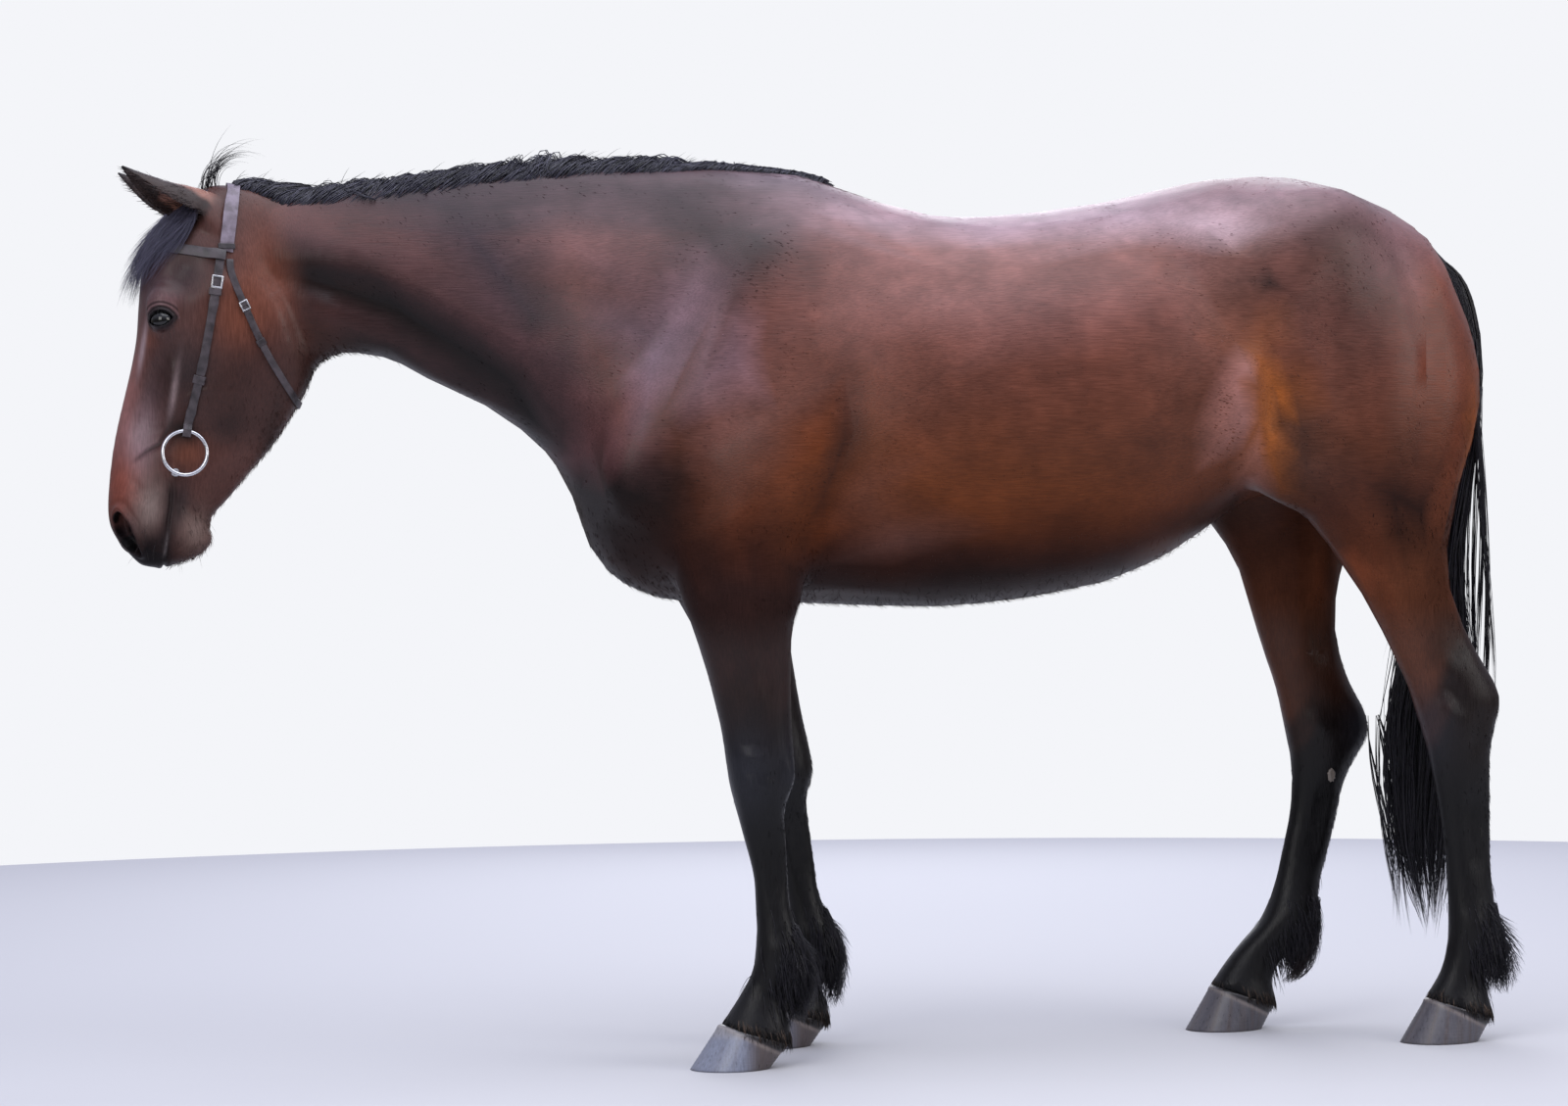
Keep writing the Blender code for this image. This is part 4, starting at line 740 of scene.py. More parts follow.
headStrokes = [          # name, line of (along, out) on each side of the head, width, height
    ("facialCrest", [(0.318, 0.041), (0.36, 0.034), (0.4, 0.029), (0.432, 0.022)], 0.012, 0.0052),
    ("underCrest", [(0.33, 0.01), (0.385, 0.004), (0.45, 0.002)], 0.018, -0.0045),
    ("cheekHollow", [(0.395, 0.062), (0.44, 0.05), (0.48, 0.04)], 0.03, -0.0045),
    ("cheekFront", [(0.425, -0.02), (0.455, -0.05), (0.455, -0.09)], 0.028, -0.0045),
    ("cheekEdge", [(0.34, -0.06), (0.4, -0.06), (0.43, -0.08)], 0.028, 0.0025),
    ("noseEdge", [(0.3, 0.088), (0.38, 0.092), (0.46, 0.1), (0.54, 0.104)], 0.013, 0.0025),
    ("noseSide", [(0.31, 0.066), (0.4, 0.074), (0.48, 0.084)], 0.02, -0.004),
    ("templeHollow", [(0.14, 0.04), (0.188, 0.058)], 0.028, -0.007),
    ("browRidge", [(0.205, 0.092), (0.196, 0.066), (0.208, 0.04)], 0.02, 0.0025),
    ("templeArch", [(0.222, 0.026), (0.2, 0.0), (0.178, -0.028), (0.16, -0.05)], 0.022, 0.003),
    ("jawJoint", [(0.165, -0.02), (0.172, -0.034)], 0.022, 0.0025),
    ("faceVein", [(0.428, 0.023), (0.46, 0.034), (0.479, 0.041), (0.495, 0.062), (0.518, 0.083)],
     0.0046, 0.0028),
    ("faceVeinBack", [(0.398, 0.012), (0.38, -0.006), (0.365, -0.04)], 0.0055, 0.0015),
    ("tearFold", [(0.276, 0.092), (0.3, 0.086), (0.33, 0.08)], 0.0065, -0.0014),
    ("snarlFoldOne", [(0.565, 0.075), (0.58, 0.06), (0.59, 0.044)], 0.0075, -0.0015),
    ("snarlFoldTwo", [(0.55, 0.082), (0.563, 0.066), (0.57, 0.05)], 0.0075, -0.0012),
    ("lipFoldOne", [(0.515, 0.03), (0.528, 0.02), (0.545, 0.016)], 0.005, -0.0016),
    ("lipFoldTwo", [(0.512, 0.004), (0.522, -0.004), (0.538, -0.008)], 0.005, -0.0015),
    ("lipFoldThree", [(0.505, 0.018), (0.514, 0.009)], 0.005, -0.0012),
    ("chinFold", [(0.575, -0.018), (0.59, -0.034), (0.6, -0.052)], 0.013, -0.0032),
    ("lipBack", [(0.56, 0.026), (0.6, 0.022), (0.64, 0.02)], 0.015, 0.002),
    ("jawEdgeRear", [(0.11, -0.108), (0.16, -0.142), (0.22, -0.185), (0.27, -0.205)], 0.026, -0.005),
    ("jawCurve", [(0.15, -0.1), (0.2, -0.13), (0.25, -0.155), (0.3, -0.165)], 0.03, 0.003),
]


def castSide(tree, x, z, side):
    # skin place met by a line across the body
    return tree.ray_cast(Vector((x, side * 0.8, z)), Vector((0, -side, 0)))[0]


def strokePlaces():
    tree = BVHTree.FromPolygons([v.co for v in skin.data.vertices], [p.vertices for p in skin.data.polygons])
    out = []
    sides = [(name, [(x - midX, z) for x, z in smoothLine(line, 5)], width, height)
             for name, line, width, height in bodyStrokes]
    sides += [(name, [inHead(s, u).xz for s, u in smoothLine(line, 5)], width, height)
              for name, line, width, height in headStrokes]
    for name, line, width, height in sides:
        for side in (-1, 1):
            hits = [castSide(tree, x, z, side) for x, z in line]
            out.append((np.array([hit for hit in hits if hit]), width, height))
    for stations, side, lag in legs:
        table = np.array(sorted(stations))
        for leg, face, line, width, height in legStrokes:
            if (leg == "fore") != (stations is forelegStations):
                continue
            for turn in {"both": (1, -1), "outer": (1,), "inner": (-1,)}[face]:
                spots = []
                for z, share in smoothLine(line, 5):
                    front, rear, half, middle, power = [np.interp(z, table[:, 0], table[:, k])
                                                        for k in range(1, 6)]
                    across = half * (1 - abs(2 * share - 1) ** power) ** (1 / power)
                    spots.append((front + (rear - front) * share + lagAt(z, lag) - midX,
                                  side * (middle + turn * across), z))
                out.append((np.array(spots), width, height))
    return out


def sculpt(item):
    points = readPoints(item)
    normals = readNormals(item)
    lift = np.zeros(len(points))
    for line, width, height in strokePlaces():
        low, high = line.min(axis=0) - width * 3, line.max(axis=0) + width * 3
        near = np.nonzero(((points > low) & (points < high)).all(axis=1))[0]
        # a row of round dabs along the line, fading at its ends
        steps = np.concatenate([[0], np.cumsum(np.linalg.norm(np.diff(line, axis=0), axis=1))])
        count = max(5, int(steps[-1] / (width * 0.4)))
        amount = np.zeros(len(near))
        for share in (np.arange(count) + 0.5) / count:
            spot = [np.interp(share * steps[-1], steps, line[:, axis]) for axis in range(3)]
            away = ((points[near] - spot) ** 2).sum(axis=1)
            fade = ramp(min(share, 1 - share), 0.0, 0.28)
            amount = np.maximum(amount, fade * np.exp(-away / width ** 2))
        lift[near] += amount * height * 1.35
    points += normals * lift[:, None]
    place = headPlaces(points)
    body = 1 - (1 - ramp(points[:, 0], -1.02, -0.94)) * ramp(place[:, 0], 0.0, 0.04)
    edges = readEdges(item)
    points = relax(points, edges, 0.3 + 0.5 * body, 2, back=0)
    writePoints(item, relax(points, edges, body, 4, back=0))


sculpt(skin)
print("muscles and bones shaped")


# eyes, nostrils and mouth in the skin
eyeShape = {
    "halfLong": 0.0228, "upper": 0.016, "lower": 0.0128, "slant": math.radians(-17),
    "gaze": (0.3, 0.94), "creases": [(0.0062, 0.002, 0.0022), (0.0125, 0.0026, 0.0016),
                                      (0.018, 0.003, 0.0008)],
}
nostrilShape = {         # along, out, across, radius
    "path": [(0.612, 0.094, 0.033, 0.007), (0.627, 0.093, 0.038, 0.013), (0.644, 0.085, 0.043, 0.018),
             (0.66, 0.073, 0.046, 0.0165), (0.674, 0.061, 0.045, 0.011), (0.685, 0.051, 0.042, 0.006)],
    "depth": 0.026,
}
mouthShape = {"line": [(0.528, 0.015), (0.555, 0.008), (0.59, 0.005), (0.63, 0.005), (0.665, 0.001),
                       (0.72, -0.003)], "width": 0.0026, "depth": 0.0042}


def eyeFrame(side):
    along, front, across = skinBuild["eyePlace"]
    middle = np.array(inHead(along, front, side * across))
    forward, sideways = eyeShape["gaze"]
    gaze = unit(np.array(outFace * forward + Vector((0, side * sideways, 0)) - downFace * 0.05))
    long = np.array(outFace * math.cos(eyeShape["slant"]) - downFace * math.sin(eyeShape["slant"]))
    long = unit(long - gaze * (long @ gaze))
    up = np.cross(gaze, long)
    up *= -np.sign(up @ np.array(downFace))
    return middle, gaze, long, up


def lidGap(p, q):
    # distance to the almond opening (negative inside) and the way out of it
    half = eyeShape["halfLong"]
    out, ways = [], []
    for rise, sign in ((eyeShape["upper"], 1), (eyeShape["lower"], -1)):
        radius = (half ** 2 + rise ** 2) / (2 * rise)
        centre = sign * (rise - radius)
        away = np.hypot(p, q - centre)
        out.append(away - radius)
        ways.append(np.stack([p / np.maximum(away, 1e-6), (q - centre) / np.maximum(away, 1e-6)], axis=1))
    first = out[0] > out[1]
    return np.where(first, out[0], out[1]), np.where(first[:, None], ways[0], ways[1])


def shapeEye(points, side):
    middle, gaze, long, up = eyeFrame(side)
    local = points - middle
    near = np.nonzero((np.linalg.norm(local, axis=1) < 0.05) & (local @ gaze > -0.004))[0]
    local = local[near]
    p, q, h = local @ long, local @ up, local @ gaze
    gap, way = lidGap(p, q)
    # vertices next to the lid edge move onto it
    edge = np.abs(gap) < 0.0007
    p = np.where(edge, p - way[:, 0] * gap, p)
    q = np.where(edge, q - way[:, 1] * gap, q)
    gap = np.where(edge, 0.0, gap)
    upper = q > 0
    ball = skinBuild["eyeRadius"]
    reach = np.sqrt(np.maximum((ball + skinBuild["lidThick"]) ** 2 - p ** 2 - q ** 2, 0.0))
    nearLid = (1 - ramp(gap, 0.003, 0.012)) * (gap > -0.001)
    h = np.where(gap > -0.001, h + (np.maximum(h, reach) - h) * nearLid, h)
    # rolled lid edge
    h += 0.0007 * hill(gap - 0.0022, 0.0016)
    for place, width, depth in eyeShape["creases"]:
        strength = np.where(upper, 1.0, 0.55)
        spot = np.where(upper, place, place * 0.82)
        fade = 1 - ramp(np.abs(p), 0.016, 0.034)
        h -= depth * strength * fade * hill(gap - spot, width)
        h += 0.6 * depth * strength * fade * hill(gap - spot - width * 1.7, width * 1.2)
    inside = gap < -0.0001
    deep = np.minimum(-gap * 5.0, 0.0075)
    h = np.where(inside, h - deep, h)
    points[near] = middle + p[:, None] * long + q[:, None] * up + h[:, None] * gaze
    return near, gap


def shapeNostril(points, normals, side):
    path = np.array([[*inHead(s, u, side * y), r] for s, u, y, r in smoothLine(nostrilShape["path"], 4)])
    place = headPlaces(points)
    near = np.nonzero((place[:, 0] > 0.57) & (side * place[:, 2] > 0.006) & (place[:, 1] > 0.02))[0]
    local = points[near]
    gap = np.full(len(near), 1e9)
    for x, y, z, radius in path:
        flat = np.hypot(local[:, 0] - x, local[:, 2] - z)
        gap = np.minimum(gap, np.hypot(flat, 0.8 * (local[:, 1] - y)) - radius)
    inward = np.array((downFace * -0.35 - outFace * 0.55 + Vector((0, -side * 0.75, 0))).normalized())
    sink = nostrilShape["depth"] * ramp(-gap, 0.0, 0.0085)
    outer = ramp(place[near, 1] + 0.35 * (place[near, 0] - 0.655), 0.105, 0.08)
    rim = (0.0008 + 0.002 * outer) * hill(gap - 0.0035, 0.0034)
    rim -= 0.002 * outer * hill(gap - 0.013, 0.005)
    points[near] += normals[near] * rim[:, None] + inward * sink[:, None]
    return near, ramp(-gap, 0.0002, 0.002)


def shapeMouth(points, normals):
    place = headPlaces(points)
    line = np.array(mouthShape["line"])
    near = np.nonzero((place[:, 0] > 0.5) & (np.abs(place[:, 1]) < 0.035))[0]
    off = place[near, 1] - np.interp(place[near, 0], line[:, 0], line[:, 1])
    start = ramp(place[near, 0], 0.524, 0.575)
    lift = -mouthShape["depth"] * hill(off, mouthShape["width"])
    lift += 0.0013 * hill(off - 0.0085, 0.0055)
    lift += 0.0011 * hill(off + 0.008, 0.005)
    points[near] += normals[near] * (lift * start)[:, None]
    return near, off


def shapeFace(item):
    points = readPoints(item)
    normals = readNormals(item)
    for side in (-1, 1):
        shapeEye(points, side)
        near, sunk = shapeNostril(points, normals, side)
        weight = np.zeros(len(points))
        weight[near] = sunk
        points = relax(points, readEdges(item), weight, 8, back=0)
    near, off = shapeMouth(points, normals)
    weight = np.zeros(len(points))
    weight[near] = 0.6 * (1 - ramp(np.abs(off), 0.006, 0.014))
    writePoints(item, relax(points, readEdges(item), weight, 3, back=0))


shapeFace(skin)
print("eyelids, nostrils and mouth shaped")


hoofJoins = [            # side, front and heel of the hoof's top edge, as (x, z)
    (-1, (-0.157, 0.083), (-0.023, 0.044)), (1, (-0.018, 0.083), (0.116, 0.044)),
    (-1, (1.222, 0.086), (1.352, 0.044)), (1, (0.888, 0.088), (1.018, 0.046)),
]


def trimHooves(item):
    bm = bmesh.new()
    bm.from_mesh(item.data)
    for side, front, heel in hoofJoins:
        spot = Vector(((front[0] + heel[0]) / 2 - midX, side * legOut, (front[1] + heel[1]) / 2))
        way = Vector((front[1] - heel[1], 0, heel[0] - front[0])).normalized()
        near = [v for v in bm.verts if v.co.z < 0.125 and abs(v.co.x - spot.x) < 0.115
                and abs(v.co.y - spot.y) < 0.1]
        faces = {f for v in near for f in v.link_faces}
        parts = [{v for f in faces for v in f.verts}, {e for f in faces for e in f.edges}, faces]
        geometry = [part for group in parts for part in sorted(group, key=lambda g: g.index)]
        bmesh.ops.bisect_plane(bm, geom=geometry, plane_co=spot, plane_no=way, clear_inner=True)
        below = [v for v in bm.verts if (v.co - spot).dot(way) < -0.001 and v.co.z < 0.09
                 and abs(v.co.x - spot.x) < 0.13 and abs(v.co.y - spot.y) < 0.1]
        bmesh.ops.delete(bm, geom=below, context="VERTS")
        bm.edges.index_update()
        bmesh.ops.holes_fill(bm, edges=[e for e in bm.edges if e.is_boundary], sides=0)
    bmesh.ops.recalc_face_normals(bm, faces=bm.faces)
    bm.to_mesh(item.data)
    bm.free()


def insetCoat(item):
    points = readPoints(item)
    place = headPlaces(points)
    face = (1 - ramp(points[:, 0], -1.02, -0.9)) * ramp(place[:, 0], -0.08, 0.02)
    foot = 1 - ramp(points[:, 2], 0.1, 0.25)
    depth, least = skinBuild["coatDepth"], skinBuild["faceCoatDepth"]
    depth = depth + (least - depth) * np.maximum(face, foot)
    depth = depth * (1 - 0.7 * ramp(place[:, 1], 0.1, 0.112) * ramp(-place[:, 0], -0.1, -0.05))
    writePoints(item, points - readNormals(item) * depth[:, None])


def thinOut(item):
    # keeps the small faces of the head and spends fewer on the body
    points = readPoints(item)
    group = item.vertex_groups.new(name="plain")
    fine = fineZone(points) | lidZone(points)
    head = headZone(points)
    legs = points[:, 2] < 0.75
    for chosen, weight in ((~head & ~fine & ~legs, 1.0), (legs, 0.86), (head & ~fine, 0.55), (fine, 0.1)):
        group.add(np.nonzero(chosen)[0].tolist(), weight, "REPLACE")
    faces = sum(len(p.vertices) - 2 for p in item.data.polygons)
    applyModifier(item, "TRIANGULATE")
    applyModifier(item, "DECIMATE", ratio=skinBuild["triangles"] / faces, vertex_group="plain",
                  vertex_group_factor=1.0)
    item.vertex_groups.clear()


trimHooves(skin)
insetCoat(skin)
thinOut(skin)
skin.data.shade_smooth()
print("skin finished", len(skin.data.polygons))


# base colour of the body by height, with painted shade darkening the belly and a painted lilac sky sheen
# along the top, then soft patches over it
bodyTones = [(0.83, "#120907"), (0.93, "#24110c"), (1.03, "#4d2718"), (1.16, "#603422"), (1.35, "#6a3c30"),
             (1.5, "#74483f"), (1.62, "#7d5e62"), (1.72, "#765c62")]
bodyPatches = [          # name, x, z, half sizes, hex, strength
    ("backSheen", 0.47, 1.59, 0.4, 0.05, "#a18a94", 0.75),
    ("croupSheen", 1.02, 1.645, 0.24, 0.05, "#745c60", 0.7),
    ("witherSheen", 0.03, 1.672, 0.11, 0.04, "#7c7079", 0.65),
    ("shoulderTop", -0.13, 1.545, 0.15, 0.1, "#1d161a", 0.85),
    ("shoulderSheen", -0.2, 1.35, 0.09, 0.12, "#7a6573", 0.65),
    ("shoulderMid", -0.45, 1.33, 0.09, 0.1, "#684d50", 0.5),
    ("crestRear", -0.3, 1.655, 0.24, 0.05, "#20191f", 0.85),
    ("chestFront", -0.46, 1.08, 0.05, 0.12, "#2a1713", 0.6),
    ("bladePatch", -0.317, 1.414, 0.05, 0.066, "#2f2328", 0.65),
    ("shoulderCurve", -0.345, 1.05, 0.055, 0.12, "#24130f", 0.75),
    ("shoulderPoint", -0.42, 1.15, 0.05, 0.08, "#58443f", 0.5),
    ("triceps", -0.11, 1.19, 0.09, 0.09, "#6b4640", 0.6),
    ("tricepsDark", -0.27, 1.085, 0.09, 0.09, "#120b0a", 0.85),
    ("elbow", 0.015, 1.08, 0.05, 0.16, "#6d3413", 0.8),
    ("girth", 0.08, 0.95, 0.08, 0.07, "#3d1b0d", 0.65),
    ("barrelTop", 0.35, 1.44, 0.3, 0.08, "#86605e", 0.45),
    ("barrelLow", 0.33, 1.07, 0.34, 0.08, "#6c3714", 0.5),
    ("flank", 0.88, 1.18, 0.06, 0.13, "#7c4320", 0.6),
    ("flankShade", 0.75, 1.3, 0.06, 0.11, "#4a271b", 0.45),
    ("flankTop", 0.845, 1.37, 0.06, 0.06, "#7a4630", 0.55),
    ("stifle", 0.955, 1.15, 0.05, 0.085, "#523a30", 0.65),
    ("hip", 0.8, 1.48, 0.06, 0.06, "#5d4540", 0.55),
    # painted lilac highlight on the hip point
    ("hipHighlight", 0.79, 1.56, 0.04, 0.035, "#a58c93", 0.7),
    # painted shade in the hollow of the haunch dimple
    ("dimple", 0.888, 1.451, 0.024, 0.02, "#0d0706", 0.95),
    ("haunch", 1.04, 1.45, 0.12, 0.13, "#3b2623", 0.65),
    # painted lilac sky sheen on top of the rump
    ("rump", 1.17, 1.53, 0.09, 0.06, "#806066", 0.5),
    ("buttock", 1.25, 1.3, 0.06, 0.18, "#612c16", 0.65),
    ("buttockEdge", 1.322, 1.13, 0.022, 0.13, "#8e4a1c", 0.85),
    ("thigh", 1.165, 0.995, 0.11, 0.095, "#120a09", 0.9),
    ("thighFront", 1.02, 1.09, 0.06, 0.11, "#4a2a20", 0.5),
    ("gaskin", 1.085, 0.885, 0.06, 0.06, "#84452b", 0.8),
    # painted shade in the fold in front of the thigh, under the flank
    ("sheath", 0.86, 1.0, 0.09, 0.075, "#0c0706", 0.8),
    # painted shade under the front of the belly
    ("bellyFront", 0.02, 0.87, 0.15, 0.06, "#0a0504", 0.9),
]
bodyStripes = [          # name, line of (x, z), half width, hex, strength
    ("flankShine", [(0.73, 1.375), (0.8, 1.3), (0.848, 1.215), (0.862, 1.13), (0.85, 1.07)],
     0.017, "#a8766f", 0.8),
    ("flankRust", [(0.815, 1.39), (0.88, 1.29), (0.902, 1.18), (0.9, 1.075)], 0.026, "#a45a22", 0.85),
    # painted shade along the stifle fold
    ("flankDark", [(0.925, 1.3), (0.945, 1.22), (0.955, 1.13), (0.96, 1.08)], 0.022, "#2b1710", 0.7),
    ("haunchDark", [(0.85, 1.4), (0.93, 1.53), (1.08, 1.56), (1.19, 1.48)], 0.04, "#3a2722", 0.6),
    ("thighDark", [(1.06, 1.33), (1.13, 1.23), (1.16, 1.1)], 0.045, "#3a1f19", 0.5),
    # painted shade in the groove behind the triceps
    ("elbowDark", [(0.06, 1.3), (0.075, 1.18), (0.03, 1.05), (-0.06, 0.985)], 0.03, "#1c0f0c", 0.7),
    ("bladeDark", [(-0.07, 1.56), (-0.11, 1.44), (-0.06, 1.33), (-0.08, 1.25)], 0.035, "#33211f", 0.45),
    # painted lilac sky sheen down the front of the shoulder
    ("chestHighlight", [(-0.33, 1.42), (-0.27, 1.3), (-0.29, 1.2)], 0.022, "#857284", 0.5),
    ("girthLight", [(0.11, 1.06), (0.16, 0.985), (0.26, 0.95)], 0.016, "#6b4a44", 0.5),
]
# neck tones: the jugular groove tone is painted shade along the groove, and the low tone painted shade over
# the lower neck below it
neckTones = {"middle": "#6d484a", "low": "#1b1211", "crest": "#2a2229", "jugularShade": "#040202",
             "throat": "#3f1f16", "fold": "#63392f"}
# face tones: the vein and lid crease tones are painted shade, the lid ridge tone a painted highlight, the
# nostril tone painted shade in the nostril hollow
faceTones = {"base": "#523530", "veinShade": "#1a0f0e", "muzzleLine": "#1a1719", "lipSeam": "#7d7475",
             "lid": "#171317", "lidRidgeHighlight": "#6d5355", "lidCreaseShade": "#120d0f", "lidRim": "#080607",
             "nostril": "#060506", "ear": "#94695c", "earTip": "#241c1e"}
legTones = {"fore": "#2b1a17", "hind": "#56301f", "jointShine": "#2b2d36", "inside": "#3d2013"}
# line of the painted shade along the jugular groove, as (x, z)
jugularShadeLine = [(-0.985, 1.51), (-0.907, 1.484), (-0.816, 1.458), (-0.756, 1.44), (-0.652, 1.366),
            (-0.557, 1.305), (-0.492, 1.248), (-0.455, 1.185)]
pointTones = {"black": "#080708", "brownBlack": "#1a0f0c", "earRim": "#100d0e"}
facePatches = [          # name, along, out, half sizes, hex, strength
    ("temple", 0.165, 0.04, 0.05, 0.045, "#33262a", 0.8),
    ("forehead", 0.19, 0.1, 0.08, 0.025, "#40323a", 0.65),
    ("noseBridge", 0.42, 0.108, 0.13, 0.022, "#8a5852", 0.7),
    ("noseFlank", 0.4, 0.07, 0.09, 0.022, "#4e393b", 0.6),
    ("cheek", 0.3, -0.095, 0.11, 0.08, "#35201e", 0.8),
    ("jowlLight", 0.225, -0.06, 0.06, 0.05, "#7a4430", 0.6),
    ("cheekShade", 0.36, -0.05, 0.04, 0.06, "#3a221d", 0.55),
    ("midFace", 0.33, 0.02, 0.08, 0.055, "#2b2122", 0.75),
    ("parotid", 0.14, -0.12, 0.09, 0.06, "#7d422b", 0.5),
    ("jawShade", 0.425, -0.085, 0.045, 0.045, "#190d0b", 0.75),
    ("ringWarm", 0.49, -0.01, 0.03, 0.03, "#7d4630", 0.55),
    # painted highlight along the facial crest
    ("crestHighlight", 0.385, 0.03, 0.048, 0.0055, "#a08b8c", 0.6),
    ("crestShade", 0.448, 0.002, 0.02, 0.03, "#0a0607", 0.92),
    ("underEye", 0.29, 0.088, 0.02, 0.016, "#6a4034", 0.55),
    # painted highlight on the brow ridge above the eye
    ("browHighlight", 0.214, 0.07, 0.012, 0.026, "#74575a", 0.5),
    # painted lilac sky sheen along the side of the nose
    ("noseSide", 0.48, 0.078, 0.06, 0.026, "#9c8289", 0.6),
    ("noseLow", 0.56, 0.1, 0.05, 0.03, "#8e4836", 0.6),
    ("muzzle", 0.6, 0.04, 0.05, 0.026, "#857873", 0.55),
    ("lipSide", 0.59, -0.014, 0.055, 0.016, "#2b2628", 0.75),
    ("chin", 0.63, -0.05, 0.04, 0.03, "#75625c", 0.85),
    # painted shade along the lower edge of the jaw
    ("jawEdge", 0.42, -0.16, 0.12, 0.025, "#1d100d", 0.65),
    ("tearShine", 0.305, 0.0965, 0.045, 0.0042, "#a8959a", 0.65),
    ("upperLip", 0.672, 0.03, 0.034, 0.03, "#0c0b0d", 0.95),
    ("lips", 0.702, 0.022, 0.036, 0.06, "#0c0a0c", 1.0),
    ("nostril", 0.652, 0.084, 0.03, 0.026, "#141216", 0.92),
    ("noseTip", 0.694, 0.06, 0.02, 0.026, "#19171b", 0.8),
]


def tone(text):
    return np.array(fromHex(text)[:3])


def blend(colours, other, share):
    other = tone(other) if isinstance(other, str) else other
    return colours + (other - colours) * np.clip(share, 0, 1)[:, None]


def legPoint(points):
    # black points: how black each place on a leg is
    x, z = points[:, 0] + midX, points[:, 2]
    wave = 0.03 * np.sin(x * 41 + z * 13) + 0.02 * np.sin(x * 90 - z * 57)
    fore = 1 - ramp(z + wave, 0.6, 0.8)
    hind = np.zeros(len(x))
    for side, stations in ((-1, hindLeftStations), (1, hindRightStations)):
        table = np.array(sorted(row[:3] for row in stations))
        front, back = np.interp(z, table[:, 0], table[:, 1]), np.interp(z, table[:, 0], table[:, 2])
        share = np.clip((x - front) / (back - front), 0, 1)
        hind = np.where(points[:, 1] * side > 0, 1 - ramp(z + wave - 0.26 * (share - 0.5), 0.66, 0.84), hind)
    return np.where(x < 0.55, fore, hind)


# dark base of the mane along the crest: hair roots with painted shade
def crestRootsAndShade(x, z):
    crest = np.interp(x, [row[0] for row in neckStations], [row[1] for row in neckStations])
    return ramp(z + 0.004 * np.sin(x * 63), crest - 0.03, crest - 0.014) * (1 - ramp(x, -0.2, 0.02))


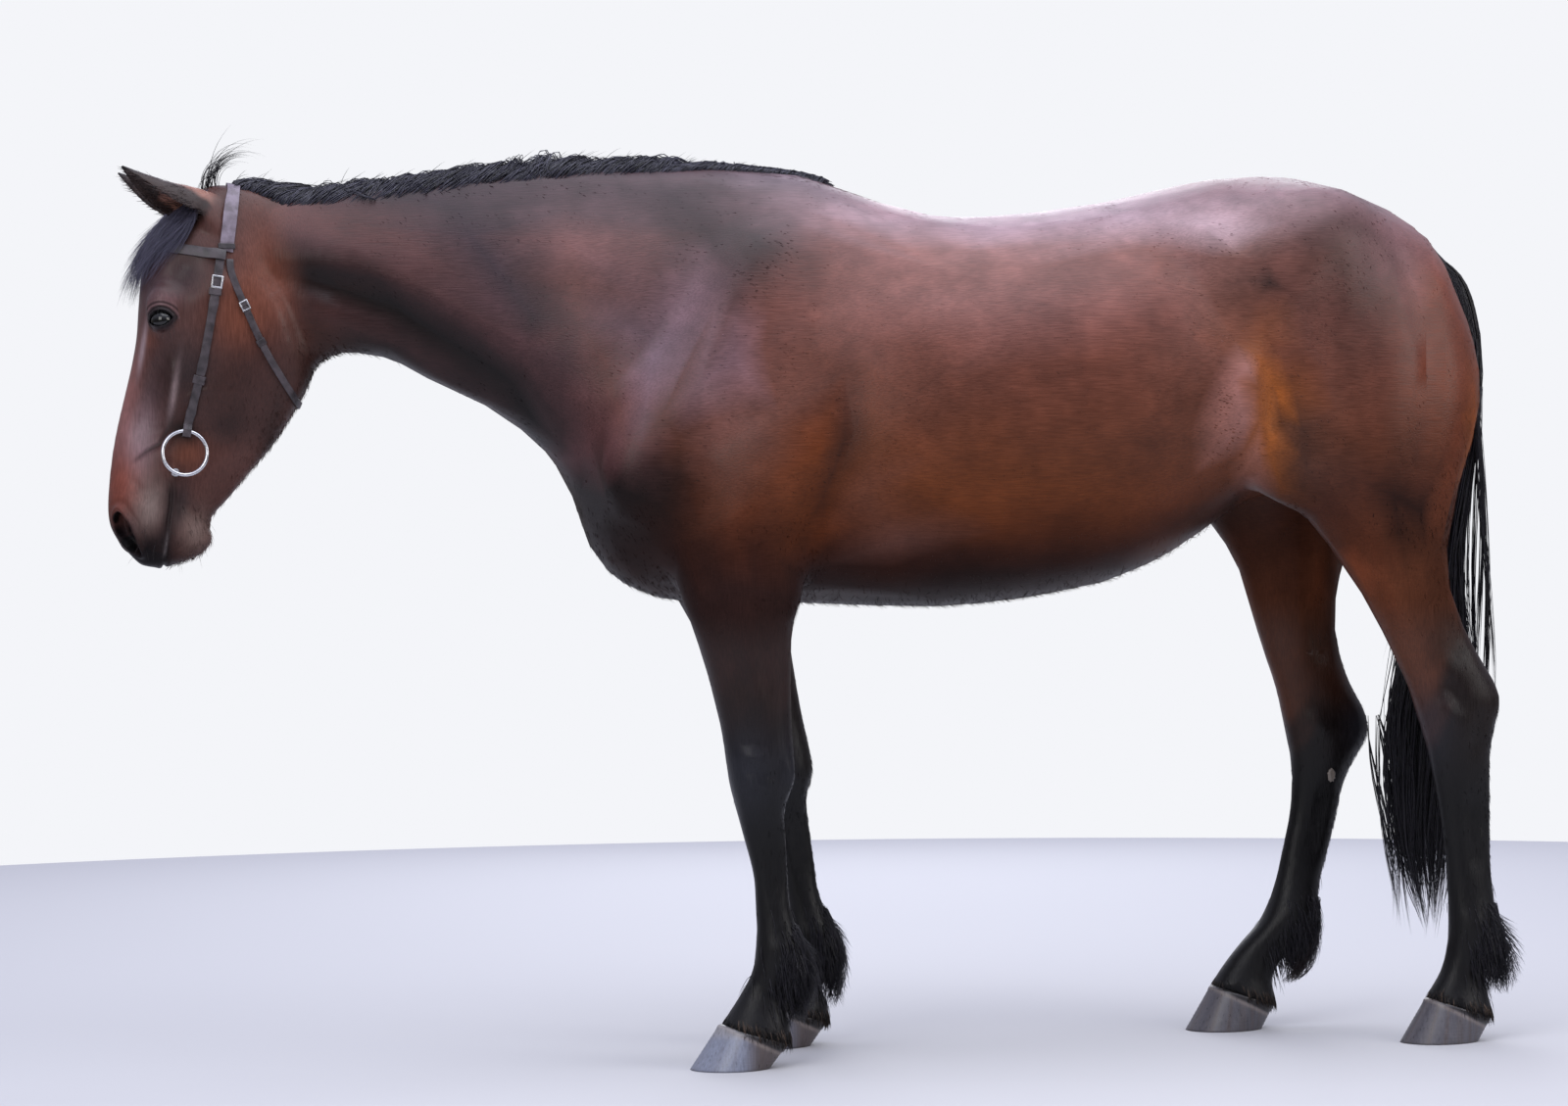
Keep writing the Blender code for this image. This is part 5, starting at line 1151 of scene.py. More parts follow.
# the coat's own colour with painted light and shade in it: sheen along the top, shade under the belly, in
# the neck groove, folds, lid creases and nostrils
def coatColourWithPaintedLight(points):
    x, y, z = points[:, 0] + midX, points[:, 1], points[:, 2]
    down, out = headPlaces(points)[:, :2].T        # along the face, and out from the face line
    everywhere = np.ones(len(x))
    heights, table = [row[0] for row in bodyTones], np.array([tone(row[1]) for row in bodyTones])
    colours = np.stack([np.interp(z, heights, column) for column in table.T], axis=1)
    # waves blur the outlines of patches and stripes
    wx = x + 0.013 * np.sin(z * 29 + x * 13) + 0.007 * np.sin(x * 63 - z * 47)
    wx += 0.004 * np.sin(z * 139 + x * 101)
    wz = z + 0.013 * np.sin(x * 31 - z * 11 + 1) + 0.007 * np.sin(z * 59 + x * 43)
    wz += 0.004 * np.sin(x * 151 - z * 89)
    for name, px, pz, rx, rz, text, strength in bodyPatches:
        away = np.hypot((wx - px) / rx, (wz - pz) / rz)
        colours = blend(colours, text, strength * (1 - ramp(away, 0.25, 1.75)))
    for name, line, width, text, strength in bodyStripes:
        away, share = nearLine(np.stack([wx, wz], axis=1), np.array(line))
        colours = blend(colours, text, strength * hill(away, width) * np.sin(np.pi * (0.12 + 0.76 * share)))
    # neck, with painted shade along the jugular groove and over the lower neck below it
    neck = 1 - ramp(x + 0.35 * (z - 1.4), -0.5, -0.3)
    line = np.array(jugularShadeLine)
    away, share = nearLine(np.stack([x, z], axis=1), line)
    above = z - np.interp(x, line[:, 0], line[:, 1])
    tones = blend(colours, neckTones["middle"], everywhere)
    tones = blend(tones, neckTones["crest"], ramp(above, 0.05, 0.17) * 0.9)
    tones = blend(tones, neckTones["fold"], hill(above - 0.11, 0.05) * (x < -0.62) * 0.45)
    tones = blend(tones, neckTones["low"], 1 - ramp(above, -0.1, -0.02))
    tones = blend(tones, neckTones["jugularShade"], hill(away - 0.002, 0.08) * 0.98)
    tones = blend(tones, neckTones["throat"], hill(x + 0.93, 0.1) * hill(z - 1.375, 0.07) * 0.8)
    colours = blend(colours, tones, neck)
    # hair roots and painted shade darken the top of the crest, and painted shade darkens the far side under
    # the mane
    colours = blend(colours, pointTones["black"], crestRootsAndShade(x, z) * neck * 0.9)
    under = ramp(y, 0.004, 0.03) * ramp(above, 0.04, 0.14) * (1 - ramp(x, -0.1, 0.08))
    colours = blend(colours, pointTones["black"], under * neck * 0.8)
    # head
    head = (1 - ramp(points[:, 0], -1.02, -0.955)) * ramp(down, -0.1, 0.02)
    head *= 1 - ramp(-out - 0.3 * np.clip(down, 0, 0.4), 0.055, 0.16) * (1 - ramp(down, 0.05, 0.2))
    tones = blend(colours, faceTones["base"], everywhere)
    for name, px, pz, rx, rz, text, strength in facePatches:
        away = ((down - px) / rx) ** 2 + ((out - pz) / rz) ** 2
        tones = blend(tones, text, strength * np.exp(-away * 0.9))
    # painted shade: a dark line along the face vein
    for name, line, width, height in headStrokes:
        if name == "faceVein":
            away, share = nearLine(np.stack([down, out], axis=1), np.array(line))
            strength = hill(away, 0.0042) * np.sin(np.pi * (0.1 + 0.8 * share)) * 0.8
            tones = blend(tones, faceTones["veinShade"], strength)
    tones = blend(tones, faceTones["muzzleLine"], hill(out - 0.006, 0.016) * ramp(down, 0.52, 0.57) * 0.8)
    seam = hill(out - 0.003, 0.003) * ramp(down, 0.62, 0.66) * (1 - ramp(down, 0.67, 0.69))
    tones = blend(tones, faceTones["lipSeam"], seam * 0.5)
    for side in (-1, 1):
        middle, gaze, long, up = eyeFrame(side)
        local = points - middle
        p, q, h = local @ long, local @ up, local @ gaze
        gap, way = lidGap(p, q)
        lid = (1 - ramp(gap, 0.002, 0.013)) * (h > -0.01) * (np.abs(p) < 0.05) * (np.abs(q) < 0.05)
        tones = blend(tones, faceTones["lid"], lid * 0.92)
        # painted shade in the creases above the lid, and a painted highlight on the ridge between
        over = (q > -0.004) * (np.abs(p) < 0.034) * (h > -0.01)
        for fold, share in ((0.0065, 0.8), (0.015, 0.7)):
            ridge = hill(gap - fold - 0.0045, 0.0028) * over * share * 0.6
            tones = blend(tones, faceTones["lidRidgeHighlight"], ridge)
            tones = blend(tones, faceTones["lidCreaseShade"], hill(gap - fold, 0.0018) * over * share)
        tones = blend(tones, faceTones["lidRim"], (gap < 0.0004) * (h > -0.01) * (np.abs(p) < 0.03))
        # painted shade: the hollow of the nostril is painted near black
        deep = np.min([np.linalg.norm(points - np.array(inHead(s, u, side * across)), axis=1) / radius
                       for s, u, across, radius in nostrilShape["path"]], axis=0)
        tones = blend(tones, faceTones["nostril"], (1 - ramp(deep, 1.02, 1.35)) * 0.97)
    colours = blend(colours, tones, head)
    # ears: brown back, dark rim and dark inside
    for side in (-1, 1):
        along, off, opened, share, deep = earPlaces(points, side)
        near = (along > 0.02) * (np.linalg.norm(off, axis=1) < 0.064) * (along < 1.1)
        rim = ramp(share, 0.8, 0.97) * ramp(opened, -0.012, -0.002)
        rim *= 1 - 0.7 * ramp(off[:, 2], -0.006, 0.01)
        wall = np.sqrt(1 - np.clip(share, 0, 0.98) ** 2)
        rim = np.maximum(rim, 1 - ramp(-opened / deep / wall, 0.66, 0.8))
        tones = blend(colours, faceTones["ear"], everywhere)
        tones = blend(tones, faceTones["earTip"], ramp(along, 0.7, 1.0) * 0.85)
        tones = blend(tones, pointTones["earRim"], np.maximum(rim, ramp(opened, -0.014, -0.004)) * 0.92)
        tones = blend(tones, pointTones["earRim"], (1 - ramp(along, 0.02, 0.22)) * 0.6)
        colours = blend(colours, tones, near * ramp(along, 0.02, 0.14))
    # legs
    limb = (np.abs(y) > 0.05) * ((x < 0.1) | (x > 0.88)) * (1 - ramp(z, 0.9, 1.02))
    limbTone = np.where((x < 0.5)[:, None], tone(legTones["fore"]), tone(legTones["hind"]))
    colours = blend(colours, limbTone, limb * (1 - ramp(colours.sum(axis=1), 0.16, 0.3)) * 0.85)
    tones = blend(blend(colours, pointTones["black"], everywhere), pointTones["brownBlack"],
                  ramp(z, 0.45, 0.75))
    colours = blend(colours, tones, legPoint(points) * (z < 0.92))
    # a cool shine on the front of knees and hocks
    for px, pz, reach in ((-0.11, 0.555, 0.055), (1.215, 0.6, 0.045), (0.0, 0.56, 0.045)):
        colours = blend(colours, legTones["jointShine"], hill(x - px, reach) * hill(z - pz, 0.075) * 0.55)
    inner = (np.abs(y) < 0.155) * ramp(z, 0.6, 0.7) * (1 - ramp(z, 0.95, 1.05)) * (x > 0.7)
    return blend(colours, legTones["inside"], inner * 0.6)


def giveColours(item, colours, name="coat"):
    layer = item.data.attributes.new(name, "FLOAT_COLOR", "POINT")
    full = np.ones((len(colours), 4), dtype=np.float32)
    full[:, :3] = colours
    layer.data.foreach_set("color", full.ravel())


giveColours(skin, coatColourWithPaintedLight(readPoints(skin)))
print("coat coloured")


# coat: short summer hair lying flat over muscle, brushed; the hair lengths catch a soft lilac sky sheen, and
# more of that sheen is painted into the coat colour
coatFinish = {
    "dapple": 26.0,          # dapples about 40 mm across
    "dappleDark": 0.3, "grain": 420.0,       # hairs about 0.1 mm thick, drawn 2 mm wide so that they show
    "roughness": 0.37, "sheen": 0.012, "sheenTint": "#c9bcd8", "bump": 0.55,
}


def makeCoat(name, sheen, roughness):
    material, tree, shader = startMaterial(name, IOR=1.5, Sheen_Weight=sheen, Sheen_Roughness=0.38,
                                           Sheen_Tint=fromHex(coatFinish["sheenTint"]))
    place = placeIn(tree)
    height = addNode(tree, "SeparateXYZ", place)
    # map ranges run from low to high, then to low and to high
    # dapples: round lighter spots in a darker net, on the body only
    spots = addNode(tree, "TexVoronoi", feature="SMOOTH_F1", Vector=place, Scale=coatFinish["dapple"],
                    Smoothness=0.7)
    net = addNode(tree, "MapRange", spots, 0.15, 0.75, 1.06, 1 - coatFinish["dappleDark"])
    low = addNode(tree, "MapRange", height.outputs["Z"], 0.95, 1.15)
    front = addNode(tree, "MapRange", height.outputs["X"], -1.0, -0.6)
    amount = addNode(tree, "Math", low, front, operation="MULTIPLY")
    warp = addNode(tree, "TexNoise", place, Scale=9.0, Detail=3.0)
    patchy = addNode(tree, "Math", amount, warp, operation="MULTIPLY")
    factor = addNode(tree, "Mix", patchy, data_type="FLOAT", A=1.0, B=net)
    mottle = addNode(tree, "TexNoise", place, Scale=38.0, Detail=5.0)
    mottled = addNode(tree, "MapRange", mottle, 0.3, 0.7, 0.94, 1.06)
    both = addNode(tree, "Math", factor, mottled, operation="MULTIPLY")
    # lie of the hair: lengthwise on the body, downwards on head and legs
    grains = []
    for stretch, tilt in (((0.06, 1.0, 1.0), 14), ((1.0, 1.0, 0.06), 0)):
        mapping = addNode(tree, "Mapping", place, Scale=tuple(k * coatFinish["grain"] for k in stretch),
                          Rotation=(0, math.radians(tilt), 0))
        grains.append(addNode(tree, "TexNoise", mapping, Scale=1.0, Detail=2.0))
    legs = addNode(tree, "MapRange", height.outputs["Z"], 1.05, 0.8)
    face = addNode(tree, "MapRange", height.outputs["X"], -0.9, -1.02)
    down = addNode(tree, "Math", legs, face, operation="MAXIMUM")
    grain = addNode(tree, "Mix", down, data_type="FLOAT", A=grains[0], B=grains[1])
    # clouds near 12 cm across, and single hairs that differ a little in colour
    clouds = addNode(tree, "TexNoise", place, Scale=8.0, Detail=6.0)
    cloudy = addNode(tree, "MapRange", clouds, 0.32, 0.68, 0.78, 1.2)
    both = addNode(tree, "Math", both, cloudy, operation="MULTIPLY")
    streaks = addNode(tree, "MapRange", grain, 0.3, 0.7, 0.82, 1.16)
    scale = addNode(tree, "Math", both, streaks, operation="MULTIPLY")
    shade = addNode(tree, "VectorMath", paintIn(tree), operation="SCALE", Scale=scale)
    bump = addNode(tree, "Bump", Height=grain, Strength=coatFinish["bump"], Distance=0.0008)
    rough = addNode(tree, "MapRange", grain, 0.25, 0.75, roughness - 0.07, roughness + 0.09)
    # dull downy hair under the belly, glossy hair above it and on the legs
    legs = addNode(tree, "MapRange", height.outputs["Z"], 0.86, 0.76, interpolation_type="SMOOTHSTEP")
    flank = addNode(tree, "MapRange", height.outputs["Z"], 0.92, 1.26, interpolation_type="SMOOTHSTEP")
    most = addNode(tree, "Math", legs, flank, operation="MAXIMUM")
    gloss = addNode(tree, "MapRange", most, To_Min=0.05, To_Max=0.23)
    setNode(tree, shader, Base_Color=shade, Normal=bump, Roughness=rough, Specular_IOR_Level=gloss)
    return material


# long black hair: coarse horse hair, solid and near black, with a clean narrow shine
def makeHair():
    material, tree, shader = startMaterial(
        "coarseBlackHorseHair", Roughness=0.36, IOR=1.55, Specular_IOR_Level=0.3, Sheen_Weight=0.03,
        Sheen_Roughness=0.3, Sheen_Tint=fromHex("#a9b2c8"))
    setNode(tree, shader, Base_Color=paintIn(tree))
    return material


blackHair = makeHair()
bayCoat = makeCoat("shortBayCoatHair", coatFinish["sheen"], coatFinish["roughness"])
bayTuft = makeCoat("bayCoatTufts", 0.008, 0.42)
fleshNames = [name for name in nodes if name in ("head", "neck", "trunk") or name.startswith("ear_")
              or name.endswith("_upper") or name.endswith("_lower")]
finishPiece(skin, bayCoat, "bay_coat", *fleshNames)


def unwrapSkin():
    # a thinned copy of the skin, unfolded; roots find their place on it
    low = addObject("skinUnfolded", skin.data.copy())
    applyModifier(low, "DECIMATE", ratio=0.04)
    activate(low)
    bpy.ops.object.mode_set(mode="EDIT")
    bpy.ops.mesh.select_all(action="SELECT")
    bpy.ops.uv.smart_project(angle_limit=math.radians(60), island_margin=0.004)
    bpy.ops.object.mode_set(mode="OBJECT")
    mesh = low.data
    mesh.calc_loop_triangles()
    corners = np.array([t.vertices[:] for t in mesh.loop_triangles])
    loops = np.array([t.loops[:] for t in mesh.loop_triangles])
    points = readPoints(low)
    out = {"points": points[corners], "uv": readRows(mesh.uv_layers.active.data, "uv", 2)[loops],
           "tree": BVHTree.FromPolygons([Vector(p) for p in points], corners.tolist())}
    bpy.data.objects.remove(low, do_unlink=True)
    return out


unfolded = unwrapSkin()


def patchPlaces(points):
    index = np.empty(len(points), dtype=int)
    spots = np.empty((len(points), 3))
    for k, point in enumerate(points):
        spots[k], index[k] = unfolded["tree"].find_nearest(point)[::2]
    a, b, c = (unfolded["points"][index, k] for k in range(3))
    ab, ac, ap = b - a, c - a, spots - a
    d00, d01, d11 = (ab * ab).sum(1), (ab * ac).sum(1), (ac * ac).sum(1)
    d20, d21 = (ap * ab).sum(1), (ap * ac).sum(1)
    under = np.maximum(d00 * d11 - d01 * d01, 1e-18)
    v = np.clip((d11 * d20 - d01 * d21) / under, 0, 1)
    w = np.clip((d00 * d21 - d01 * d20) / under, 0, 1)
    uv = unfolded["uv"][index]
    return uv[:, 0] * (1 - v - w)[:, None] + uv[:, 1] * v[:, None] + uv[:, 2] * w[:, None]


skinTree = BVHTree.FromObject(skin, bpy.context.evaluated_depsgraph_get())
skin.data.calc_loop_triangles()
skinCorners = readRows(skin.data.loop_triangles, "vertices", 3, np.int32)
skinPoints, skinNormals = readPoints(skin), readNormals(skin)


def scatter(count, density):
    # random roots on the skin, thicker where the density is higher
    corners = skinPoints[skinCorners]
    middles = corners.mean(axis=1)
    cross = np.cross(corners[:, 1] - corners[:, 0], corners[:, 2] - corners[:, 0])
    area = np.linalg.norm(cross, axis=1) / 2
    facing = cross / np.maximum(area * 2, 1e-12)[:, None]
    weight = area * np.maximum(density(middles, facing), 0)
    chosen = rng.choice(len(weight), size=count, p=weight / weight.sum())
    u, v = rng.random(count), rng.random(count)
    flip = u + v > 1
    u[flip], v[flip] = 1 - u[flip], 1 - v[flip]
    pick = skinCorners[chosen]
    mix = lambda table: (table[pick[:, 0]] * (1 - u - v)[:, None] + table[pick[:, 1]] * u[:, None]
                         + table[pick[:, 2]] * v[:, None])
    return mix(skinPoints), unit(mix(skinNormals))


def coatLie(points):
    # the way the hair points at each place
    x, z = points[:, 0] + midX, points[:, 2]
    place = headPlaces(points)
    way = np.tile(np.array((1.0, 0.0, -0.28)), (len(points), 1))
    neck, haunch = 1 - ramp(x, -0.45, -0.15), ramp(x, 0.85, 1.1)
    leg = (1 - ramp(z, 0.9, 1.2)) * (np.abs(points[:, 1]) > 0.06)
    head = (1 - ramp(points[:, 0], -1.02, -0.95)) * ramp(place[:, 0], -0.06, 0.04)
    for share, lie in ((neck, (0.72, 0.0, -0.6)), (haunch, (0.35, 0.0, -0.9)), (leg, (0.12, 0.0, -1.0)),
                       (head, np.array(downFace) - np.array(outFace) * 0.25)):
        way = way * (1 - share[:, None]) + np.array(lie) * share[:, None]
    return unit(way)


def pushOut(paths, clear, first=1):
    # lifts the points of each path out of the skin
    flat = paths[:, first:].reshape(-1, 3)
    need = np.broadcast_to(clear, paths.shape[:2])[:, first:].reshape(-1)
    for k in range(len(flat)):
        spot, normal = skinTree.find_nearest(flat[k], 0.12)[:2]
        if spot is None:
            continue
        out = (Vector(flat[k]) - spot).dot(normal)
        if out < need[k]:
            flat[k] = spot + normal * max(need[k], 0.0002)
    paths[:, first:] = flat.reshape(len(paths), -1, 3)
    return paths


def hairPiece(name, paths, facing, wide, thin, colours, *replaced, short=False, tip=None):
    # closed three-sided hairs that end in a point; one patch of the unwrap for each
    count, steps = paths.shape[:2]
    tangent = unit(np.gradient(paths, axis=1))
    facing = np.broadcast_to(np.array(facing), (count, 3))
    across = unit(np.cross(tangent, facing[:, None, :] + 1e-4))
    out = unit(np.cross(across, tangent))
    wide = np.broadcast_to(wide, (count, steps))
    rings = []
    for angle in (90, 210, 330):
        c, s = math.cos(math.radians(angle)), math.sin(math.radians(angle))
        rings.append(paths + across * (c * wide)[..., None] + out * (s * wide * thin)[..., None])
    rings = np.stack(rings, axis=2)[:, :-1]
    each = (steps - 1) * 3 + 1
    points = np.concatenate([rings.reshape(count, -1, 3), paths[:, -1:]], axis=1).reshape(-1, 3)
    sides = [(0, 1), (1, 2), (2, 0)]
    faces = [(k + a, k + b, k + b + 3, k + a + 3) for k in range(0, steps * 3 - 6, 3) for a, b in sides]
    faces += [(steps * 3 - 6 + a, steps * 3 - 6 + b, each - 1) for a, b in sides] + [(2, 1, 0)]
    loops = (np.concatenate(faces)[None, :] + (np.arange(count) * each)[:, None]).ravel()
    totals = np.tile([len(face) for face in faces], count)
    mesh = bpy.data.meshes.new(name)
    mesh.vertices.add(len(points))
    mesh.vertices.foreach_set("co", points.ravel())
    mesh.loops.add(len(loops))
    mesh.loops.foreach_set("vertex_index", loops.astype(np.int32))
    mesh.polygons.add(len(totals))
    starts = np.concatenate([[0], np.cumsum(totals)[:-1]]).astype(np.int32)
    mesh.polygons.foreach_set("loop_start", starts)
    mesh.update(calc_edges=True)
    mesh.polygons.foreach_set("use_smooth", np.ones(len(totals), dtype=bool))
    patch = patchPlaces(paths[:, 0])
    local = np.empty((each, 2))
    for k in range(each):
        local[k] = (((k % 3) - 1) * 0.0012, ((k // 3) / (steps - 1) - 0.5) * 0.0026)
    local[each - 1] = (0.0, 0.0013)
    spread = patch[:, None, :] + local[None, :, :]
    layer = mesh.uv_layers.new(name="OFBake")
    uv = np.clip(spread.reshape(-1, 2), 0.0, 1.0)[loops]
    layer.data.foreach_set("uv", uv.ravel())
    shares = np.append(np.repeat(np.arange(steps - 1), 3), steps - 1) / (steps - 1)
    shade = colours[:, None, :] * np.ones(each)[None, :, None]
    if tip:
        shade = shade + (tone(tip) - shade) * (shares ** 2)[None, :, None] * 0.6
    item = addObject(name, mesh)
    giveColours(item, shade.reshape(-1, 3))
    finishPiece(item, bayTuft if short else blackHair, "bay_coat" if short else "black_hair", *replaced)
    print(name, "made,", count, "hairs")


def taper(count, wide, sizes, low=0.6, high=1.2):
    # half width of every hair from root to tip
    return wide * rng.uniform(low, high, count)[:, None] * np.array(sizes)[None, :]


def strands(roots, way, size, steps, bend=(0, 0, 0)):
    # hairs that leave their roots straight and bend away
    s = np.linspace(0, 1, steps)
    return roots[:, None] + way[:, None] * (size[:, None] * s)[..., None] + np.array(bend) * (
        size[:, None] * s ** 2)[..., None]


def shortHairs(count, density, length, lift, spread, steps=3, droop=0.0):
    # roots and paths of short hairs that follow the lie of the coat
    roots, normals = scatter(count, density)
    way = coatLie(roots)
    way = way + rng.normal(0, spread, (count, 3))
    way = unit(way - normals * (way * normals).sum(1)[:, None])
    reach = length(roots) * rng.uniform(0.7, 1.3, count)
    paths = []
    for k in range(steps):
        share = k / (steps - 1)
        rise = lift * share * (1 - 0.35 * share)
        spot = roots - normals * 0.0006 + way * (reach * share)[:, None] + normals * (reach * rise)[:, None]
        spot[:, 2] -= droop * reach * share ** 2
        paths.append(spot)
    return roots, normals, np.stack(paths, axis=1)


print("skin unfolded for hair roots")


tuftSizes = {"onEachSide": 15500, "body": 0.0085, "leg": 0.007, "face": 0.004, "wide": 0.00085, "thin": 0.45}


def tuftLength(points):
    place = headPlaces(points)
    face = (1 - ramp(points[:, 0], -1.02, -0.95)) * ramp(place[:, 0], -0.02, 0.06)
    leg = 1 - ramp(points[:, 2], 0.55, 0.85)
    size = tuftSizes["body"] + (tuftSizes["leg"] - tuftSizes["body"]) * leg
    return size + (tuftSizes["face"] - size) * face


def openSkin(points):
    # nothing grows in the eyes, nostrils or mouth, nor on the cut soles
    place = headPlaces(points)
    keep = np.ones(len(points))
    for side in (-1, 1):
        middle, gaze, long, up = eyeFrame(side)
        local = points - middle
        gap = lidGap(local @ long, local @ up)[0]
        keep[(gap < 0.0035) & (local @ gaze > -0.01) & (np.linalg.norm(local, axis=1) < 0.05)] = 0
        for s, u, y, r in nostrilShape["path"]:
            spot = np.array(inHead(s, u, side * y))
            keep[np.linalg.norm(points - spot, axis=1) < r + 0.01] = 0
    keep[(place[:, 0] > 0.525) & (np.abs(place[:, 1] - 0.004) < 0.006) & (points[:, 0] < -0.95)] = 0
    keep[points[:, 2] < 0.06] = 0
    return keep


def bodyDensity(side):
    def density(middles, facing):
        place = headPlaces(middles)
        face = (middles[:, 0] < -1.0) & (place[:, 0] > 0.02)
        amount = np.where(middles[:, 1] * side > 0, 1.0, 0.0) * openSkin(middles)
        amount *= np.where(face, 2.0, 1.0)
        amount *= np.where((middles[:, 2] < 0.8), 1.3, 1.0)
        return amount
    return density


for side, sideName in ((-1, "near"), (1, "off")):
    roots, normals, paths = shortHairs(tuftSizes["onEachSide"], bodyDensity(side), tuftLength, 0.1, 0.16)
    tint = coatColourWithPaintedLight(roots) * rng.uniform(0.8, 1.25, len(roots))[:, None]
    size = tuftLength(roots) / tuftSizes["body"] * tuftSizes["wide"]
    hairPiece("coatTufts_" + sideName, paths, normals, size[:, None] * np.array([0.8, 1.0, 0.0]),
              tuftSizes["thin"], tint, short=True)


# where the coat stands off the form: name, count, middle (x, y, z), half sizes, length, lift, droop
edgeTufts = [
    ("jaw", 600, (-1.075, 0.0, 1.3), (0.07, 0.05, 0.14), 0.012, 0.35, 0.25),
    ("chin", 300, (-1.19, 0.0, 1.02), (0.04, 0.05, 0.05), 0.012, 0.45, 0.2),
    ("throat", 500, (-1.0, 0.0, 1.345), (0.12, 0.05, 0.05), 0.012, 0.3, 0.35),
    ("belly", 1300, (0.25, 0.0, 0.865), (0.55, 0.12, 0.05), 0.013, 0.22, 0.4),
    ("bellyRear", 400, (0.8, 0.0, 0.98), (0.18, 0.1, 0.09), 0.015, 0.25, 0.4),
    ("elbows", 400, (-0.055, 0.17, 0.9), (0.05, 0.1, 0.08), 0.013, 0.28, 0.2),
    ("chest", 500, (-0.42, 0.0, 0.96), (0.12, 0.2, 0.1), 0.012, 0.22, 0.25),
    ("buttocks", 800, (1.235, 0.13, 1.18), (0.05, 0.16, 0.24), 0.012, 0.2, 0.2),
    ("thighs", 600, (1.18, 0.15, 0.93), (0.07, 0.12, 0.12), 0.014, 0.24, 0.15),
    ("foreCannons", 900, (-0.02, 0.16, 0.4), (0.11, 0.07, 0.18), 0.012, 0.28, 0.1),
    ("hindCannons", 1000, (1.17, 0.16, 0.45), (0.2, 0.07, 0.22), 0.013, 0.28, 0.1),
    ("crest", 400, (0.05, 0.0, 1.69), (0.12, 0.03, 0.04), 0.013, 0.3, 0.1),
]


def edgeDensity(middle, half):
    def density(middles, facing):
        folded = np.stack([middles[:, 0], np.abs(middles[:, 1]), middles[:, 2]], axis=1)
        rear = np.clip(facing[:, 0] * 0.8 - facing[:, 2] * 0.7, 0, 1) ** 2 + 0.02
        return hill((folded - middle) / half, 1).prod(axis=1) * rear * openSkin(middles)
    return density


parts = []
for name, count, middle, half, length, lift, droop in edgeTufts:
    roots, normals, paths = shortHairs(count, edgeDensity(middle, half), lambda p: length,
                                       lift, 0.22, 4, droop)
    parts.append((normals, paths, coatColourWithPaintedLight(roots) * rng.uniform(0.85, 1.15, count)[:, None],
                  np.full(count, 0.00055)))
# fringe of hair over the top of each hoof, with a few dusty ends
coronetFringe = {"hairs": 700, "length": 0.022, "dust": "#5d4c40"}
for side, front, heel in hoofJoins:
    middle = np.array(((front[0] + heel[0]) / 2 - midX, side * legOut, (front[1] + heel[1]) / 2 + 0.008))

    def density(middles, facing):
        off = middles - middle
        near = (np.linalg.norm(off[:, :2], axis=1) < 0.1) * (facing[:, 2] > -0.8)
        return hill(off[:, 2], 0.03) * near * (np.abs(middles[:, 2] - 0.063 + off[:, 0] * 0.29) < 0.026)

    count = coronetFringe["hairs"]
    roots, normals, paths = shortHairs(count, density, lambda p: coronetFringe["length"], 0.12, 0.14, 4, 0.1)
    tint = blend(coatColourWithPaintedLight(roots), coronetFringe["dust"], rng.random(count) ** 4 * 0.8)
    parts.append((normals, paths, tint * rng.uniform(0.7, 1.2, count)[:, None], np.full(count, 0.001)))
normals, paths, tints, sizes = (np.concatenate(group) for group in zip(*parts))
hairPiece("edgeTufts", paths, normals, sizes[:, None] * np.array([0.9, 1.0, 0.7, 0.0]), 0.5, tints,
          short=True)


# the pale and grey tones are painted blue-grey sheen of the hair
hairTones = {"black": "#0e0d0f", "soft": "#201e26", "paleSheen": "#454453", "greySheen": "#625f75",
             "redTip": "#3a2218"}


def hairTint(count, first="black", second="soft"):
    share = rng.random(count)[:, None]
    return tone(hairTones[first]) * (1 - share) + tone(hairTones[second]) * share


# mane: crest place (x, z), rise above the crest, fall on the off side
maneSteps = [(-1.03, 1.622, 0.036, 0.06), (-0.95, 1.633, 0.038, 0.11), (-0.875, 1.646, 0.04, 0.15),
             (-0.765, 1.669, 0.038, 0.17), (-0.655, 1.681, 0.044, 0.19), (-0.52, 1.69, 0.056, 0.2),
             (-0.395, 1.696, 0.056, 0.18), (-0.274, 1.7, 0.04, 0.14), (-0.148, 1.698, 0.026, 0.09),
             (-0.024, 1.691, 0.016, 0.05), (0.09, 1.668, 0.007, 0.02)]
maneCut = {"hairs": 4300, "locks": 96, "steps": 9, "wide": 0.00135, "newHairs": 420}


def topOfSkin(x, y):
    return skinTree.ray_cast(Vector((x, y, 1.95)), Vector((0, 0, -1)), 0.7)[0]


def curlFrom(spot, ways, length, dip=0.001):
    # a hair that follows the ways from a root sunk a little into the skin
    steps = np.vstack([[0, 0, -dip], unit(ways)[:-1] * length / (len(ways) - 1)])
    return np.array(spot) + np.cumsum(steps, axis=0)


